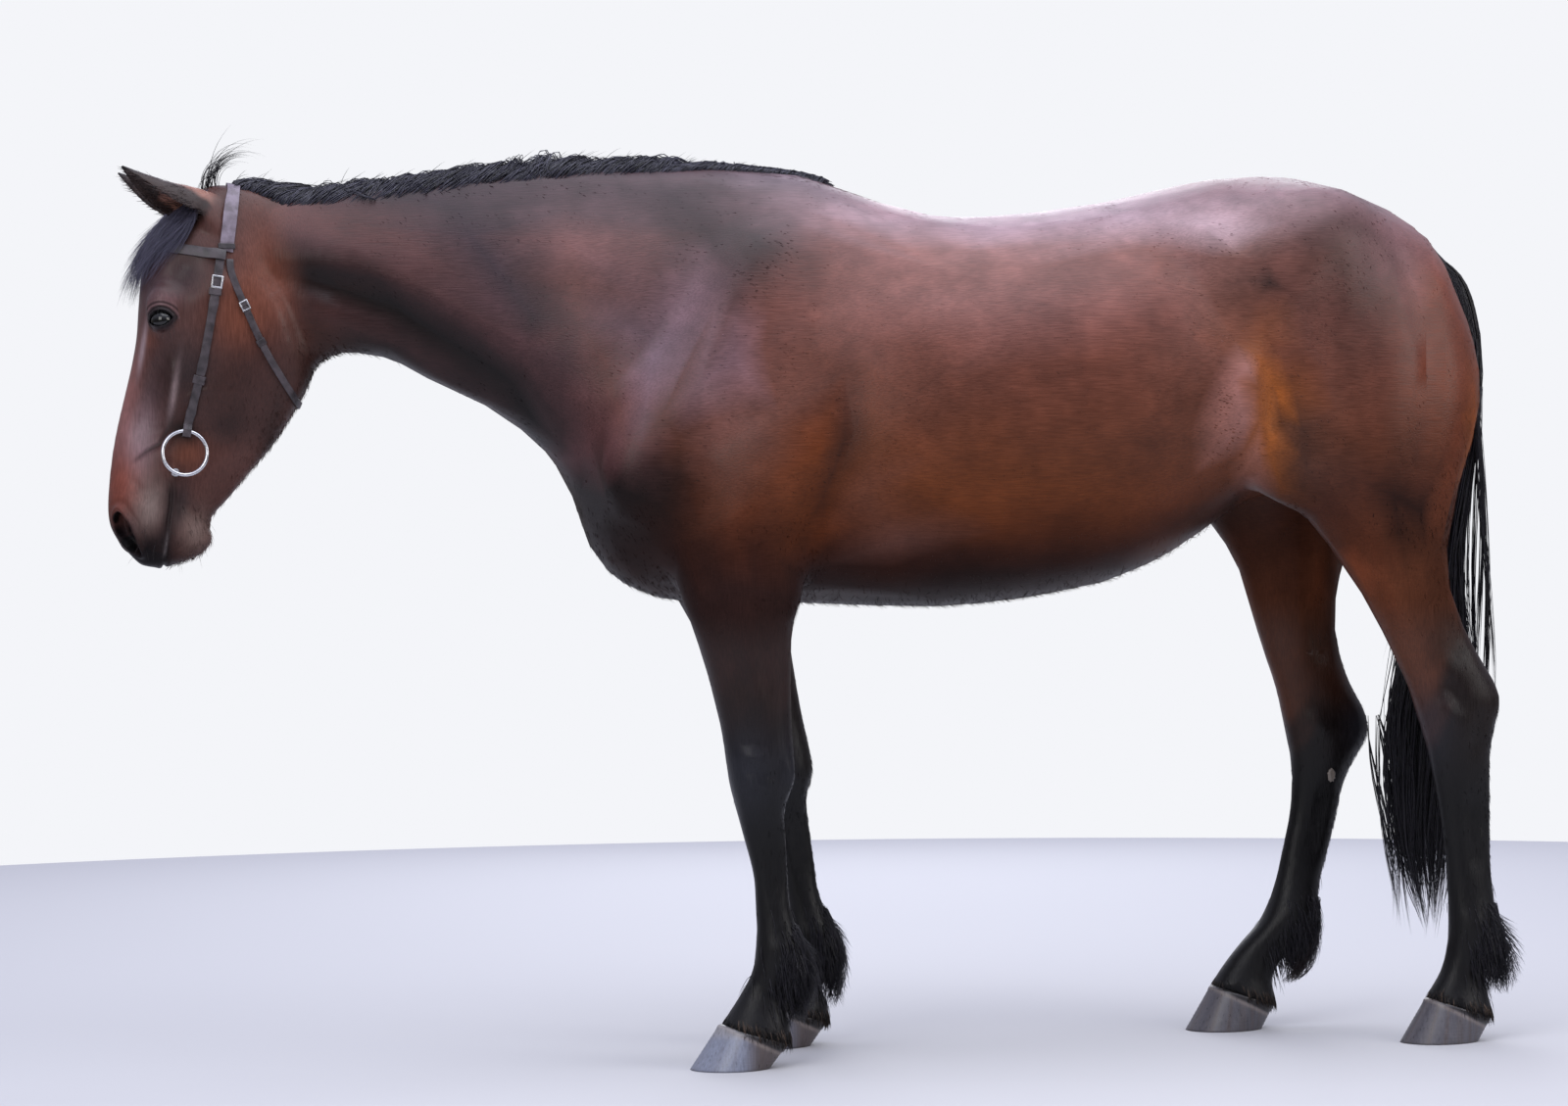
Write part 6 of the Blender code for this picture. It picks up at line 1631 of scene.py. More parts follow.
def growMane():
    table = smoothLine(maneSteps, 6)
    count, steps, locks = maneCut["hairs"], maneCut["steps"], maneCut["locks"]
    lockAt = np.sort(rng.random(locks)) ** 0.94
    lockTurn = {"lean": rng.normal(1.05, 0.28, locks), "size": rng.uniform(0.7, 1.12, locks),
                "rise": rng.uniform(0.6, 1.25, locks), "curl": rng.normal(0, 0.016, locks),
                "phase": rng.uniform(0, 6.3, locks), "start": rng.uniform(2, 38, locks)}
    share = rng.random(count) ** 0.96
    owner = np.abs(share[:, None] + rng.normal(0, 0.008, count)[:, None] - lockAt[None, :]).argmin(axis=1)
    paths = np.empty((count, steps, 3))
    s = np.linspace(0, 1, steps)
    for k in range(count):
        lock = owner[k]
        x, z, rise, fall = rowsAt(table, share[k])
        y = abs(rng.normal(0.0, 0.02 * min(1.0, 0.4 + rise * 12))) - min(0.034, rise)
        spot = topOfSkin(x - midX, y)
        tall = 1.35 if -0.6 < x < -0.22 else 1.0
        length = (rise * 1.4 + fall * rng.uniform(0.72, 1.0)) * lockTurn["size"][lock]
        turning = rise * 2.6 * tall * lockTurn["rise"][lock] * rng.uniform(0.8, 1.2) / length
        turning = max(0.16, min(0.8, turning))
        first = math.radians(lockTurn["start"][lock] + rng.normal(8, 9) + (18 if y > 0.006 else 0))
        angle = first + (math.radians(168) - first) * np.clip(s / turning, 0, 1) ** 0.9
        wave = lockTurn["curl"][lock] * np.sin(s * 7 + lockTurn["phase"][lock])
        lean = lockTurn["lean"][lock] + rng.normal(0, 0.05)
        ways = np.stack([lean * (1.25 - 0.9 * s), np.sin(angle), np.cos(angle)], axis=1)
        paths[k] = curlFrom(spot, ways, length, 0)
        paths[k, :, 0] += wave * s
        paths[k, 0, 2] -= 0.002
    # hairs of a lock draw together towards its end
    for lock in range(locks):
        mine = np.nonzero(owner == lock)[0]
        if len(mine) < 2:
            continue
        middle = paths[mine].mean(axis=0)
        pull = (0.72 * s ** 1.1)[None, :, None]
        paths[mine] += (middle[None] - paths[mine]) * pull
    depth = rng.uniform(0.0015, 0.013, count)[:, None] * ramp(s, 0.05, 0.4)[None, :]
    paths = pushOut(paths, depth)
    wide = taper(count, maneCut["wide"], [0.9, 1, 1, 1, 0.95, 0.9, 0.75, 0.5, 0], 0.5, 1.0)
    # mane hairs run from black to the painted pale sheen tone
    hairPiece("maneHair", paths, (0.0, 1.0, 0.35), wide, 0.6, hairTint(count, "black", "paleSheen"), "mane")
    # short new hairs and fly-aways stand along the crest
    count, steps = maneCut["newHairs"], 6
    share = rng.random(count) ** 0.85
    paths = np.empty((count, steps, 3))
    s = np.linspace(0, 1, steps)
    for k in range(count):
        x, z, rise, fall = rowsAt(table, share[k])
        spot = topOfSkin(x - midX, rng.normal(0.004, 0.006))
        length = rise * rng.uniform(0.7, 1.5) + 0.008
        bend = rng.normal(0.8, 0.5)
        lean = rng.normal(1.5, 0.5)
        angle = rng.normal(0.3, 0.22) + bend * s
        paths[k] = curlFrom(spot, np.stack([lean + s * 0.5, np.sin(angle), np.cos(angle)], axis=1), length)
    wide = taper(count, 0.0006, [1, 1, 0.9, 0.75, 0.5, 0])
    hairPiece("maneNewHair", paths, (0.0, 1.0, 0.0), wide, 0.8, hairTint(count))


growMane()

# forelock: down the forehead (along, out, half width) and round the ear roots (out, across)
forelockSteps = [(0.0, 0.034, 0.012, 0.022, 0.034), (0.05, 0.07, 0.024, 0.03, 0.07),
                 (0.1, 0.095, 0.036, 0.044, 0.086), (0.15, 0.108, 0.04, 0.064, 0.086),
                 (0.195, 0.113, 0.038, 0.082, 0.078), (0.24, 0.113, 0.03, 0.094, 0.066)]
forelockCut = {"hairs": 1300, "locks": 46, "steps": 9, "wide": 0.0006, "pollWisps": 65}
pollWisps = [(-1.15, 0.135, 0.15, 1.6), (-1.14, 0.165, 0.05, 1.9), (-1.158, 0.11, -0.1, 2.1),
             (-1.128, 0.12, -0.15, 2.0), (-1.145, 0.15, 0.3, 1.2)]       # x, length, first lean, curl


def growForelock():
    table = smoothLine(forelockSteps, 4)
    count, steps, locks = forelockCut["hairs"], forelockCut["steps"], forelockCut["locks"]
    s = np.linspace(0, 1, steps)
    lockSide = rng.uniform(-1.1, 0.8, locks)
    lockEnd = rng.uniform(0.66, 1.0, locks) - 0.3 * np.clip(np.abs(lockSide) * 1.2 - 0.3, 0, 1)
    lockPhase = rng.uniform(0, 6.3, locks)
    owner = rng.integers(0, locks, count)
    paths = np.empty((count, steps, 3))
    for k in range(count):
        lock = owner[k]
        first = rng.uniform(0.0, 0.16)
        ends = min(1.0, lockEnd[lock] * rng.uniform(0.62, 1.14))
        row = rowsAt(table, first + (ends - first) * s)
        own = rng.uniform(-1, 1) * (1 - s) * 0.8 + (lockSide[lock] + rng.normal(0, 0.16)) * s
        wrapped = np.clip(abs(lockSide[lock]) * 1.2 - 0.3 + rng.normal(0, 0.09), 0, 1)
        row[:, 1] += (row[:, 3] - row[:, 1]) * wrapped
        across = own * row[:, 2] * (1 - wrapped) + np.sign(lockSide[lock]) * row[:, 4] * wrapped
        across += 0.009 * np.sin(s * 7 + lockPhase[lock]) * s
        lift = rng.uniform(0.0, 0.008) + rng.uniform(0.0, 0.036) * s ** 1.5
        for j in range(steps):
            paths[k, j] = inHead(row[j, 0], row[j, 1] + lift[j], across[j])
        paths[k, 0] = inHead(row[0, 0], row[0, 1] - 0.004, across[0] * 0.8)
    clear = np.tile(0.003 + 0.005 * hill(s - 0.5, 0.28), (count, 1))
    clear = clear * rng.uniform(0.8, 1.7, count)[:, None]
    paths = pushOut(paths, clear)
    wide = taper(count, forelockCut["wide"], [0.9, 1, 1, 1, 1, 0.9, 0.75, 0.5, 0])
    # forelock hairs take the painted blue-grey sheen tones
    hairPiece("forelockHair", paths, outFace, wide, 0.6, hairTint(count, "paleSheen", "greySheen"), "forelock")
    # wisps that stand above the poll and curl back
    count, steps = forelockCut["pollWisps"], 9
    s = np.linspace(0, 1, steps)
    paths = np.empty((count, steps, 3))
    for k in range(count):
        x, length, lean, curl = pollWisps[k % len(pollWisps)]
        spot = topOfSkin(x + rng.normal(0, 0.004), rng.normal(-0.006, 0.01))
        length *= rng.uniform(0.5, 0.92)
        angle = lean + rng.normal(0, 0.12) + (curl + rng.normal(0, 0.25)) * s ** 1.1
        ways = np.stack([np.sin(angle), np.full(steps, rng.normal(0, 0.12)), np.cos(angle)], axis=1)
        paths[k] = curlFrom(spot, ways, length)
    wide = taper(count, 0.0005, np.interp(s, [0, 0.4, 1], [1, 1, 0]))
    hairPiece("pollWisps", paths, (0.0, 1.0, 0.0), wide, 0.8, hairTint(count))


growForelock()

# tail: middle of the hair from the dock down (x, y, z, half depth, half width)
tailRoute = [(1.29, 0.0, 1.53, 0.012, 0.016), (1.345, 0.0, 1.476, 0.022, 0.03),
             (1.368, 0.0, 1.395, 0.029, 0.04), (1.374, 0.0, 1.29, 0.035, 0.05),
             (1.364, 0.0, 1.16, 0.037, 0.056), (1.338, 0.0, 1.03, 0.043, 0.062),
             (1.314, 0.002, 0.9, 0.06, 0.066), (1.296, 0.004, 0.75, 0.1, 0.07),
             (1.278, 0.006, 0.6, 0.11, 0.068), (1.272, 0.008, 0.45, 0.094, 0.056),
             (1.28, 0.01, 0.31, 0.064, 0.04), (1.292, 0.01, 0.195, 0.02, 0.012)]
tailCut = {"hairs": 2900, "locks": 84, "steps": 12, "wide": 0.0015, "wisps": 90, "ends": 260, "endTufts": 26}
tailWisps = [(0.6, -0.05), (0.72, -0.035), (0.66, -0.062), (0.8, -0.02), (0.55, 0.045)]      # length, y


def growTail():
    table = smoothLine(tailRoute, 5)
    count, steps, locks = tailCut["hairs"], tailCut["steps"], tailCut["locks"]
    s = np.linspace(0, 1, steps)
    lockAngle, lockOut = rng.uniform(0, 2 * math.pi, locks), np.sqrt(rng.random(locks)) * 0.92
    lockEnd = np.clip(rng.normal(0.9, 0.09, locks), 0.62, 1.0)
    lockPhase, lockWave = rng.uniform(0, 6.3, locks), rng.uniform(0.004, 0.014, locks)
    owner = rng.integers(0, locks, count)
    angle = rng.uniform(0, 2 * math.pi, count)
    out = rng.random(count) ** 0.4
    first = np.where(rng.random(count) < 0.45, rng.uniform(0.0, 0.06, count), rng.uniform(0.05, 0.36, count))
    ends = lockEnd[owner] * rng.uniform(0.88, 1.0, count)
    early = rng.random(count) < 0.16
    ends = np.where(early, np.minimum(ends, first + rng.uniform(0.15, 0.35, count)), ends)
    at = first[:, None] + (ends - first)[:, None] * s[None, :]
    rows = rowsAt(table, at)
    own = out[:, None] * np.stack([np.cos(angle), np.sin(angle)], axis=1)
    lock = (lockOut * np.stack([np.cos(lockAngle), np.sin(lockAngle)])).T[owner]
    lock += rng.normal(0, 0.06, (count, 2))
    pull = ramp(at, 0.12, 0.62) * 0.86
    spot = own[:, None, :] * (1 - pull[..., None]) + lock[:, None, :] * pull[..., None]
    wave = (np.sin(at * 16 + lockPhase[owner][:, None]) * lockWave[owner][:, None]
            + np.sin(at * 37 + angle[:, None]) * 0.0018) * ramp(at, 0.25, 0.6)
    paths = np.empty((count, steps, 3))
    paths[..., 0] = rows[..., 0] - midX + spot[..., 0] * rows[..., 3] + wave
    paths[..., 1] = rows[..., 1] + spot[..., 1] * rows[..., 4] + wave * 0.7
    paths[..., 2] = rows[..., 2]
    paths = pushOut(paths, rng.uniform(0.001, 0.008, count)[:, None], 0)
    # thick inner hairs close the middle of the tail
    inner = np.nonzero(out < 0.55)[0]
    paths[inner, :, 1] = rows[inner, :, 1] + (paths[inner, :, 1] - rows[inner, :, 1]) * 0.8
    wide = tailCut["wide"] * np.where(out < 0.55, 2.2, 1.0)[:, None] * taper(
        count, 1, np.interp(s, [0, 0.1, 0.6, 0.85, 1.0], [0.7, 1.0, 1.0, 0.6, 0.0]), 0.55)
    facing = np.stack([np.cos(angle), np.sin(angle), np.zeros(count)], axis=1)
    hairPiece("tailHair", paths, facing, wide, 0.7, hairTint(count), "tail")
    # a few thin wisps swing behind the near hock, and ragged strands end the tail
    count, steps = tailCut["wisps"], 10
    s = np.linspace(0, 1, steps)
    paths = np.empty((count, steps, 3))
    group = rng.integers(0, len(tailWisps), count)
    for k in range(count):
        reach, side = tailWisps[group[k]]
        reach *= rng.uniform(0.85, 1.0)
        side += rng.normal(0, 0.003)
        z = 1.26 - reach * s
        back = 1.372 + 0.006 * group[k] + 0.012 * np.sin(s * 4 + group[k] * 2) + rng.normal(0, 0.002)
        paths[k] = np.stack([back - midX + 0.008 * s, side + 0.006 * np.sin(s * 5 + k), z], axis=1)
    ends = np.empty((tailCut["ends"], steps, 3))
    spots = rng.uniform(-1, 1, (tailCut["endTufts"], 4))
    for k in range(len(ends)):
        spot = spots[k % len(spots)]
        z = np.linspace(0.62, 0.29 + 0.1 * spot[1] + rng.uniform(-0.02, 0.04), steps)
        x = 1.268 + 0.1 * spot[0] * (1 - 0.45 * s) + 0.01 * np.sin(s * 5 + spot[2] * 3)
        x += rng.normal(0, 0.003) * s
        y = 0.006 + 0.05 * spot[3] * (1 - 0.5 * s) + rng.normal(0, 0.002) * s
        ends[k] = np.stack([x - midX, y, z], axis=1)
    paths = np.concatenate([paths, pushOut(ends, 0.002, 0)])
    count = len(paths)
    wide = taper(count, 0.0009, np.interp(s, [0, 0.7, 1.0], [0.8, 1.0, 0.0]))
    hairPiece("tailWisps", paths, (1.0, 0.0, 0.0), wide, 0.8, hairTint(count))


growTail()

# feather behind each fetlock: (x, z) down the tuft, half width and half depth
featherSizes = [(0.008, 0.01), (0.019, 0.025), (0.027, 0.033), (0.03, 0.035), (0.025, 0.027), (0.008, 0.01)]
featherRoutes = {
    "fore_left": (-1, [(-0.022, 0.262), (-0.006, 0.232), (0.003, 0.195), (0.003, 0.15), (-0.006, 0.105),
                       (-0.018, 0.07)]),
    "fore_right": (1, [(0.1, 0.262), (0.118, 0.232), (0.127, 0.195), (0.13, 0.15), (0.124, 0.105),
                       (0.11, 0.068)]),
    "hind_left": (-1, [(1.343, 0.262), (1.357, 0.232), (1.366, 0.195), (1.37, 0.152), (1.366, 0.112),
                       (1.354, 0.086)]),
    "hind_right": (1, [(1.086, 0.262), (1.092, 0.225), (1.09, 0.182), (1.08, 0.14), (1.062, 0.104),
                       (1.04, 0.086)]),
}
featherCut = {"hairs": 760, "locks": 13, "steps": 7, "wide": 0.00095}
floorGap = 0.006         # hair ends stay this far above the floor


def growFeather(name):
    side, route = featherRoutes[name]
    table = smoothLine([(x, z, w, d) for (x, z), (w, d) in zip(route, featherSizes)], 4)
    count, steps, locks = featherCut["hairs"], featherCut["steps"], featherCut["locks"]
    s = np.linspace(0, 1, steps)
    lockSpot = rng.uniform(-0.9, 0.9, (locks, 2))
    lockCurl = rng.normal(0.006, 0.006, locks)
    owner = rng.integers(0, locks, count)
    first = rng.uniform(0.0, 0.62, count) ** 1.1
    ends = np.clip(first + rng.uniform(0.22, 0.52, count), 0, 1.0)
    at = first[:, None] + (ends - first)[:, None] * s[None, :]
    rows = rowsAt(table, at)
    own = rng.uniform(-1, 1, (count, 2))
    pull = (0.75 * s)[None, :, None]
    spot = own[:, None, :] * (1 - pull) + lockSpot[owner][:, None, :] * pull
    curl = lockCurl[owner][:, None] * (s ** 2)[None, :] * 2.2
    paths = np.empty((count, steps, 3))
    paths[..., 0] = rows[..., 0] - midX - 0.006 + spot[..., 0] * rows[..., 3] * 0.85 + curl
    paths[..., 1] = side * legOut + spot[..., 1] * rows[..., 2]
    paths[..., 2] = rows[..., 1]
    paths[:, 1:] += rng.normal(0, 0.0012, (count, 1, 3))
    roots = paths[:, 0].copy()
    for k in range(count):          # each hair starts on the skin
        near, normal = skinTree.find_nearest(roots[k], 0.2)[:2]
        paths[k, 0] = near - normal * 0.0008
    paths[:, 1] = paths[:, 1] * 0.55 + paths[:, 0] * 0.45
    paths = pushOut(paths, rng.uniform(0.001, 0.006, count)[:, None])
    paths[..., 2] = np.maximum(paths[..., 2], floorGap)
    wide = taper(count, featherCut["wide"], np.interp(s, [0, 0.2, 0.7, 1.0], [0.8, 1.0, 0.75, 0.0]))
    hairPiece("featherHair_" + name, paths, (1.0, 0.0, 0.0), wide, 0.7, hairTint(count), "feather_" + name,
              tip=hairTones["redTip"] if name == "hind_right" else None)


def growFetlockHair():
    # long soft hair over the back half of each fetlock and pastern, running into the feather
    groups = []
    for side, route in featherRoutes.values():
        middle = np.array((route[2][0] - midX - 0.03, side * legOut, 0.19))

        def density(middles, facing):
            near = hill((middles - middle) / (0.055, 0.07, 0.048), 1).prod(axis=1) * (middles[:, 2] > 0.07)
            return near * (np.clip(facing[:, 0] + 0.35, 0, 1) + 0.02)

        count, steps = 1000, 6
        roots, normals = scatter(count, density)
        size = rng.uniform(0.022, 0.055, count)
        way = unit(np.array((0.1, 0.0, -1.0)) + normals * 0.16 + rng.normal(0, 0.07, (count, 3)))
        paths = strands(roots, way + np.array((0.15, 0, 0)), size, steps, (-0.15, 0, 0))
        paths[:, 0] -= normals * 0.0006
        paths = pushOut(paths, rng.uniform(0.0006, 0.005, count)[:, None])
        paths[..., 2] = np.maximum(paths[..., 2], floorGap)
        groups.append((normals, paths))
    normals, paths = (np.concatenate(group) for group in zip(*groups))
    wide = taper(len(paths), 0.00085, [0.8, 1, 1, 0.9, 0.6, 0])
    hairPiece("fetlockHair", paths, normals, wide, 0.7, hairTint(len(paths)))


for name in featherRoutes:
    growFeather(name)
growFetlockHair()


faceHairCut = {
    "earHollow": (420, 0.017, "#4a3c3a"), "earRim": (520, 0.0085, "#2a2426"),       # count, length, hex
    "lashes": 46, "lashTone": "#0d0b0c", "feelers": 26, "feelerTone": "#1a1717",
}


def growFaceHair():
    # hair of the ears, lashes and feelers
    parts = []

    def addPart(normals, roots, way, size, bend, tints, width):
        paths = strands(roots, way, size, 4, bend)
        normals = np.broadcast_to(normals, roots.shape)
        parts.append((normals, paths, np.broadcast_to(tints, roots.shape), np.full(len(roots), width)))

    for side in (-1, 1):
        axis, opening = (np.array(part) for part in earFrame(side)[2:4])

        def hollow(middles, facing):
            along, off = earPlaces(middles, side)[:2]
            near = (np.linalg.norm(off, axis=1) < 0.058) * (along > 0.1) * (along < 0.92)
            return near * (facing @ opening > 0.15) * (middles[:, 1] * side > 0)

        def rims(middles, facing):
            along, off, opened, edge = earPlaces(middles, side)[:4]
            near = (np.linalg.norm(off, axis=1) < 0.062) * (along > 0.08) * (along < 1.0)
            return near * (edge > 0.86) * (edge < 1.15) * (middles[:, 1] * side > 0)

        for density, part in ((hollow, "earHollow"), (rims, "earRim")):
            count, length, tint = faceHairCut[part]
            roots, normals = scatter(count, density)
            way = unit(axis * 0.75 + opening * rng.uniform(0.25, 0.8, count)[:, None]
                       + rng.normal(0, 0.16, (count, 3)))
            size = length * rng.uniform(0.6, 1.2, count)
            addPart(normals, roots, way, size, axis * 0.25,
                    tone(tint) * rng.uniform(0.6, 1.4, count)[:, None], 0.0005)
        # upper lashes
        middle, gaze, long, up = eyeFrame(side)
        count = faceHairCut["lashes"]
        p = np.linspace(-0.0165, 0.016, count) + rng.normal(0, 0.0004, count)
        half, rise = eyeShape["halfLong"], eyeShape["upper"]
        radius = (half ** 2 + rise ** 2) / (2 * rise)
        q = np.sqrt(radius ** 2 - p ** 2) + rise - radius + 0.0012
        ball = skinBuild["eyeRadius"] + skinBuild["lidThick"]
        h = np.sqrt(ball ** 2 - p ** 2 - q ** 2) - 0.0012
        roots = middle + p[:, None] * long + q[:, None] * up + h[:, None] * gaze
        size = rng.uniform(0.009, 0.014, count)
        way = unit(gaze * 0.85 - up * 0.35 + long * (p / 0.016)[:, None] * 0.45
                   + rng.normal(0, 0.06, (count, 3)))
        addPart(gaze, roots, way, size, up * -0.3, tone(faceHairCut["lashTone"]), 0.00034)
        # feelers round the muzzle, chin and eye
        spread = rng.uniform(0, 1, (faceHairCut["feelers"], 2))
        rows = [(0.6 + 0.09 * a, -0.075 + 0.13 * b) for a, b in spread]
        rows += [(0.262, 0.05), (0.268, 0.058), (0.274, 0.066), (0.236, 0.092), (0.23, 0.08)]
        hits = [skinTree.ray_cast(inHead(along, out, side * 0.3), Vector((0, -side, 0)), 0.4)[:2]
                for along, out in rows]
        roots, normals = (np.array([hit[k][:] for hit in hits if hit[0]]) for k in range(2))
        size = rng.uniform(0.018, 0.042, len(roots))
        way = unit(normals + np.array(downFace) * 0.55 + rng.normal(0, 0.2, roots.shape))
        addPart(normals, roots, way, size, (0, 0, -0.15), tone(faceHairCut["feelerTone"]), 0.0003)
    normals, paths, tints, sizes = (np.concatenate(group) for group in zip(*parts))
    hairPiece("faceHair", paths, normals, sizes[:, None] * np.array([1.0, 0.9, 0.6, 0.0]), 0.8, tints)


growFaceHair()


# eye: wet cornea over a dark brown iris with a wide pupil; a clear sharp shine
eyeTones = {"iris": "#0b0b0e", "irisEdge": "#060609", "pupil": "#020203", "white": "#0d0b0d"}


def makeEyeMaterial():
    material, tree, shader = startMaterial(
        "wetCornea", Roughness=0.06, IOR=1.38, Specular_IOR_Level=0.2, Coat_Weight=0.8, Coat_Roughness=0.03,
        Coat_IOR=1.5)
    setNode(tree, shader, Base_Color=paintIn(tree))
    return material


wetCornea = makeEyeMaterial()


def makeEye(side, sideName):
    middle, gaze, long, up = eyeFrame(side)
    item = addPrimitive("eyeball_" + sideName, bpy.ops.mesh.primitive_uv_sphere_add, segments=64,
                        ring_count=48, radius=skinBuild["eyeRadius"])
    points = readPoints(item)
    unitPoints = points / skinBuild["eyeRadius"]
    turned = unitPoints @ np.array([long, up, gaze])        # the sphere's pole looks out
    face = unitPoints[:, 2]
    flat = np.hypot(unitPoints[:, 0] / 0.8, unitPoints[:, 1] / 0.66)      # iris is wider than tall
    bulge = 1 + 0.035 * (1 - ramp(flat, 0.55, 1.0)) * (face > 0)
    writePoints(item, middle + turned * (skinBuild["eyeRadius"] * bulge)[:, None])
    colours = np.tile(tone(eyeTones["white"]), (len(points), 1))
    iris = (1 - ramp(flat, 0.86, 0.98)) * (face > 0)
    streak = 0.5 + 0.5 * np.sin(np.arctan2(unitPoints[:, 1], unitPoints[:, 0]) * 34)
    tones = blend(np.tile(tone(eyeTones["iris"]), (len(points), 1)), eyeTones["irisEdge"],
                  ramp(flat, 0.6, 0.95) + streak * 0.25)
    colours = blend(colours, tones, iris)
    pupil = np.hypot(unitPoints[:, 0] / 0.42, unitPoints[:, 1] / 0.2)
    colours = blend(colours, eyeTones["pupil"], (1 - ramp(pupil, 0.9, 1.1)) * (face > 0))
    giveColours(item, colours)
    item.data.shade_smooth()
    finishPiece(item, wetCornea, "eye_wet", "eye_" + sideName)


for side, sideName in ((-1, "left"), (1, "right")):
    makeEye(side, sideName)
print("eyes made")


# hooves
hoofShape = {
    "fore": {"length": 0.152, "halfWide": 0.066}, "hind": {"length": 0.154, "halfWide": 0.062},
    "toes": {"fore_left": -0.213, "fore_right": -0.072, "hind_left": 1.17, "hind_right": 0.836},
    "topInset": 0.0145, "ringStep": 0.0075, "ringHeight": 0.00045, "sides": 96, "rows": 26,
}
hoofTones = {"fore": "#767b8b", "foreTop": "#8e8a88", "foreRear": "#43342b", "hind": "#4c4a50",
             "streak": "#4a382b", "coronetDust": "#8a7f78", "bulbs": "#141011", "groundEdge": "#2a2522",
             "chestnut": "#6d645c"}


# hoof horn: keratin, worn smooth and a little waxy, with growth rings and upright grain
def makeHorn():
    material, tree, shader = startMaterial("wornHoofHorn", IOR=1.54)
    mapping = addNode(tree, "Mapping", placeIn(tree), Scale=(260.0, 260.0, 14.0))
    grain = addNode(tree, "TexNoise", mapping, Scale=1.0, Detail=3.0)
    shade = addNode(tree, "MapRange", grain, 0.3, 0.7, 0.8, 1.18)
    mixed = addNode(tree, "VectorMath", paintIn(tree), operation="SCALE", Scale=shade)
    bump = addNode(tree, "Bump", Height=grain, Strength=0.3, Distance=0.0004)
    rough = addNode(tree, "MapRange", grain, 0.3, 0.7, 0.26, 0.44)
    setNode(tree, shader, Base_Color=mixed, Normal=bump, Roughness=rough)
    return material


hornMaterial = makeHorn()


def makeHoof(name, side, front, heel):
    end = name.split("_")[0]
    size, toe = hoofShape[end], hoofShape["toes"][name]
    middle = (np.array(front) + np.array(heel)) / 2
    slope = (heel[1] - front[1]) / (heel[0] - front[0])
    # toe at c = 1, heels at c = -1 with a notch between the bulbs
    angle = np.arange(hoofShape["sides"]) / hoofShape["sides"] * 2 * math.pi
    c, s = np.cos(angle), np.sin(angle)
    notch = 0.01 * hill(angle - math.pi, 0.26)
    wide = size["halfWide"] * (1 - 0.1 * np.maximum(0, -c))
    low = np.stack([toe + size["length"] * 0.5 * (1 - c) - notch, side * legOut + wide * s, c * 0], axis=1)
    topX = middle[0] - c * (heel[0] - front[0]) / 2 * 0.985 - notch * 0.6
    high = np.stack([topX, side * legOut + (size["halfWide"] - hoofShape["topInset"]) * s,
                     middle[1] + slope * (topX - middle[0]) + 0.001], axis=1)
    out = np.stack([-c, s, c * 0], axis=1)
    length = np.linalg.norm(high - low, axis=1)
    # cupped sole, white line and wall edge under the hoof, from the middle outwards
    rings = []
    centre = np.array((toe + size["length"] * 0.46, side * legOut, 0))
    for shrink, rise in ((0.25, 0.0085), (0.6, 0.007), (0.82, 0.0035), (0.85, 0), (0.93, 0)):
        ring = centre + (low - centre) * shrink
        frog = hill(ring[:, 1] - side * legOut, 0.017) * (ring[:, 0] > centre[0] - 0.02)
        ring[:, 2] = rise * (1 - 0.75 * frog)
        rings.append(ring)
    for share in np.arange(hoofShape["rows"] + 1) / hoofShape["rows"]:
        ridge = np.sin(share * length / hoofShape["ringStep"] * 2 * math.pi + 0.6 * np.sin(angle * 3))
        ridge *= hoofShape["ringHeight"] * min(1, share * 5) * min(1, (1 - share) * 6)
        ridge += 0.0016 * hill(share - 0.94, 0.05) - 0.0035 * max(0, share - 0.96) / 0.04    # coronet band
        rings.append(low + (high - low) * share + out * ridge[:, None])
    bm = bmesh.new()
    addLoft(bm, [ring - (midX, 0, 0) for ring in rings])
    bmesh.ops.triangulate(bm, faces=[f for f in bm.faces if len(f.verts) > 4])
    bmesh.ops.recalc_face_normals(bm, faces=bm.faces)
    item = addObject("hoofHorn_" + name, bm)
    points = readPoints(item)
    x = points[:, 0] + midX
    share = ramp(points[:, 2], 0.0, 0.08)
    colours = np.tile(tone(hoofTones[end]), (len(points), 1))
    around = np.arctan2(points[:, 1] - side * legOut, x - middle[0])
    streak = np.clip(np.sin(around * 17 + 2) * 0.5 + np.sin(around * 41) * 0.3, 0, 1)
    colours = blend(colours, hoofTones["streak"], streak * (0.2 if end == "fore" else 0.55))
    if end == "fore":
        colours = blend(colours, hoofTones["foreTop"], ramp(share, 0.75, 1.0) * 0.6)
        colours = blend(colours, hoofTones["foreRear"], ramp(x - toe, 0.08, 0.125) * 0.85)
    # soft dark horn of the heel bulbs and a dusty ring under the coronet
    slant = points[:, 2] - (0.085 - (x - front[0]) * 0.5)
    colours = blend(colours, hoofTones["coronetDust"], hill(slant + 0.004, 0.004) * 0.45)
    colours = blend(colours, hoofTones["bulbs"], ramp(slant, -0.002, 0.003) * 0.95)
    colours = blend(colours, hoofTones["groundEdge"], ramp(-points[:, 2], -0.004, -0.001) * 0.5)
    giveColours(item, colours)
    item.data.shade_smooth()
    finishPiece(item, hornMaterial, "hoof_horn", "hoof_" + name)


for name, (side, front, heel) in zip(("fore_left", "fore_right", "hind_left", "hind_right"), hoofJoins):
    makeHoof(name, side, front, heel)
print("hooves made")


# chestnuts, horny patches on the inside of the legs: x, y, z, half height
chestnuts = [(-0.135, -0.105, 0.7, 0.02), (-0.055, 0.105, 0.64, 0.02), (1.268, -0.12, 0.52, 0.014),
             (1.13, 0.122, 0.5, 0.014)]


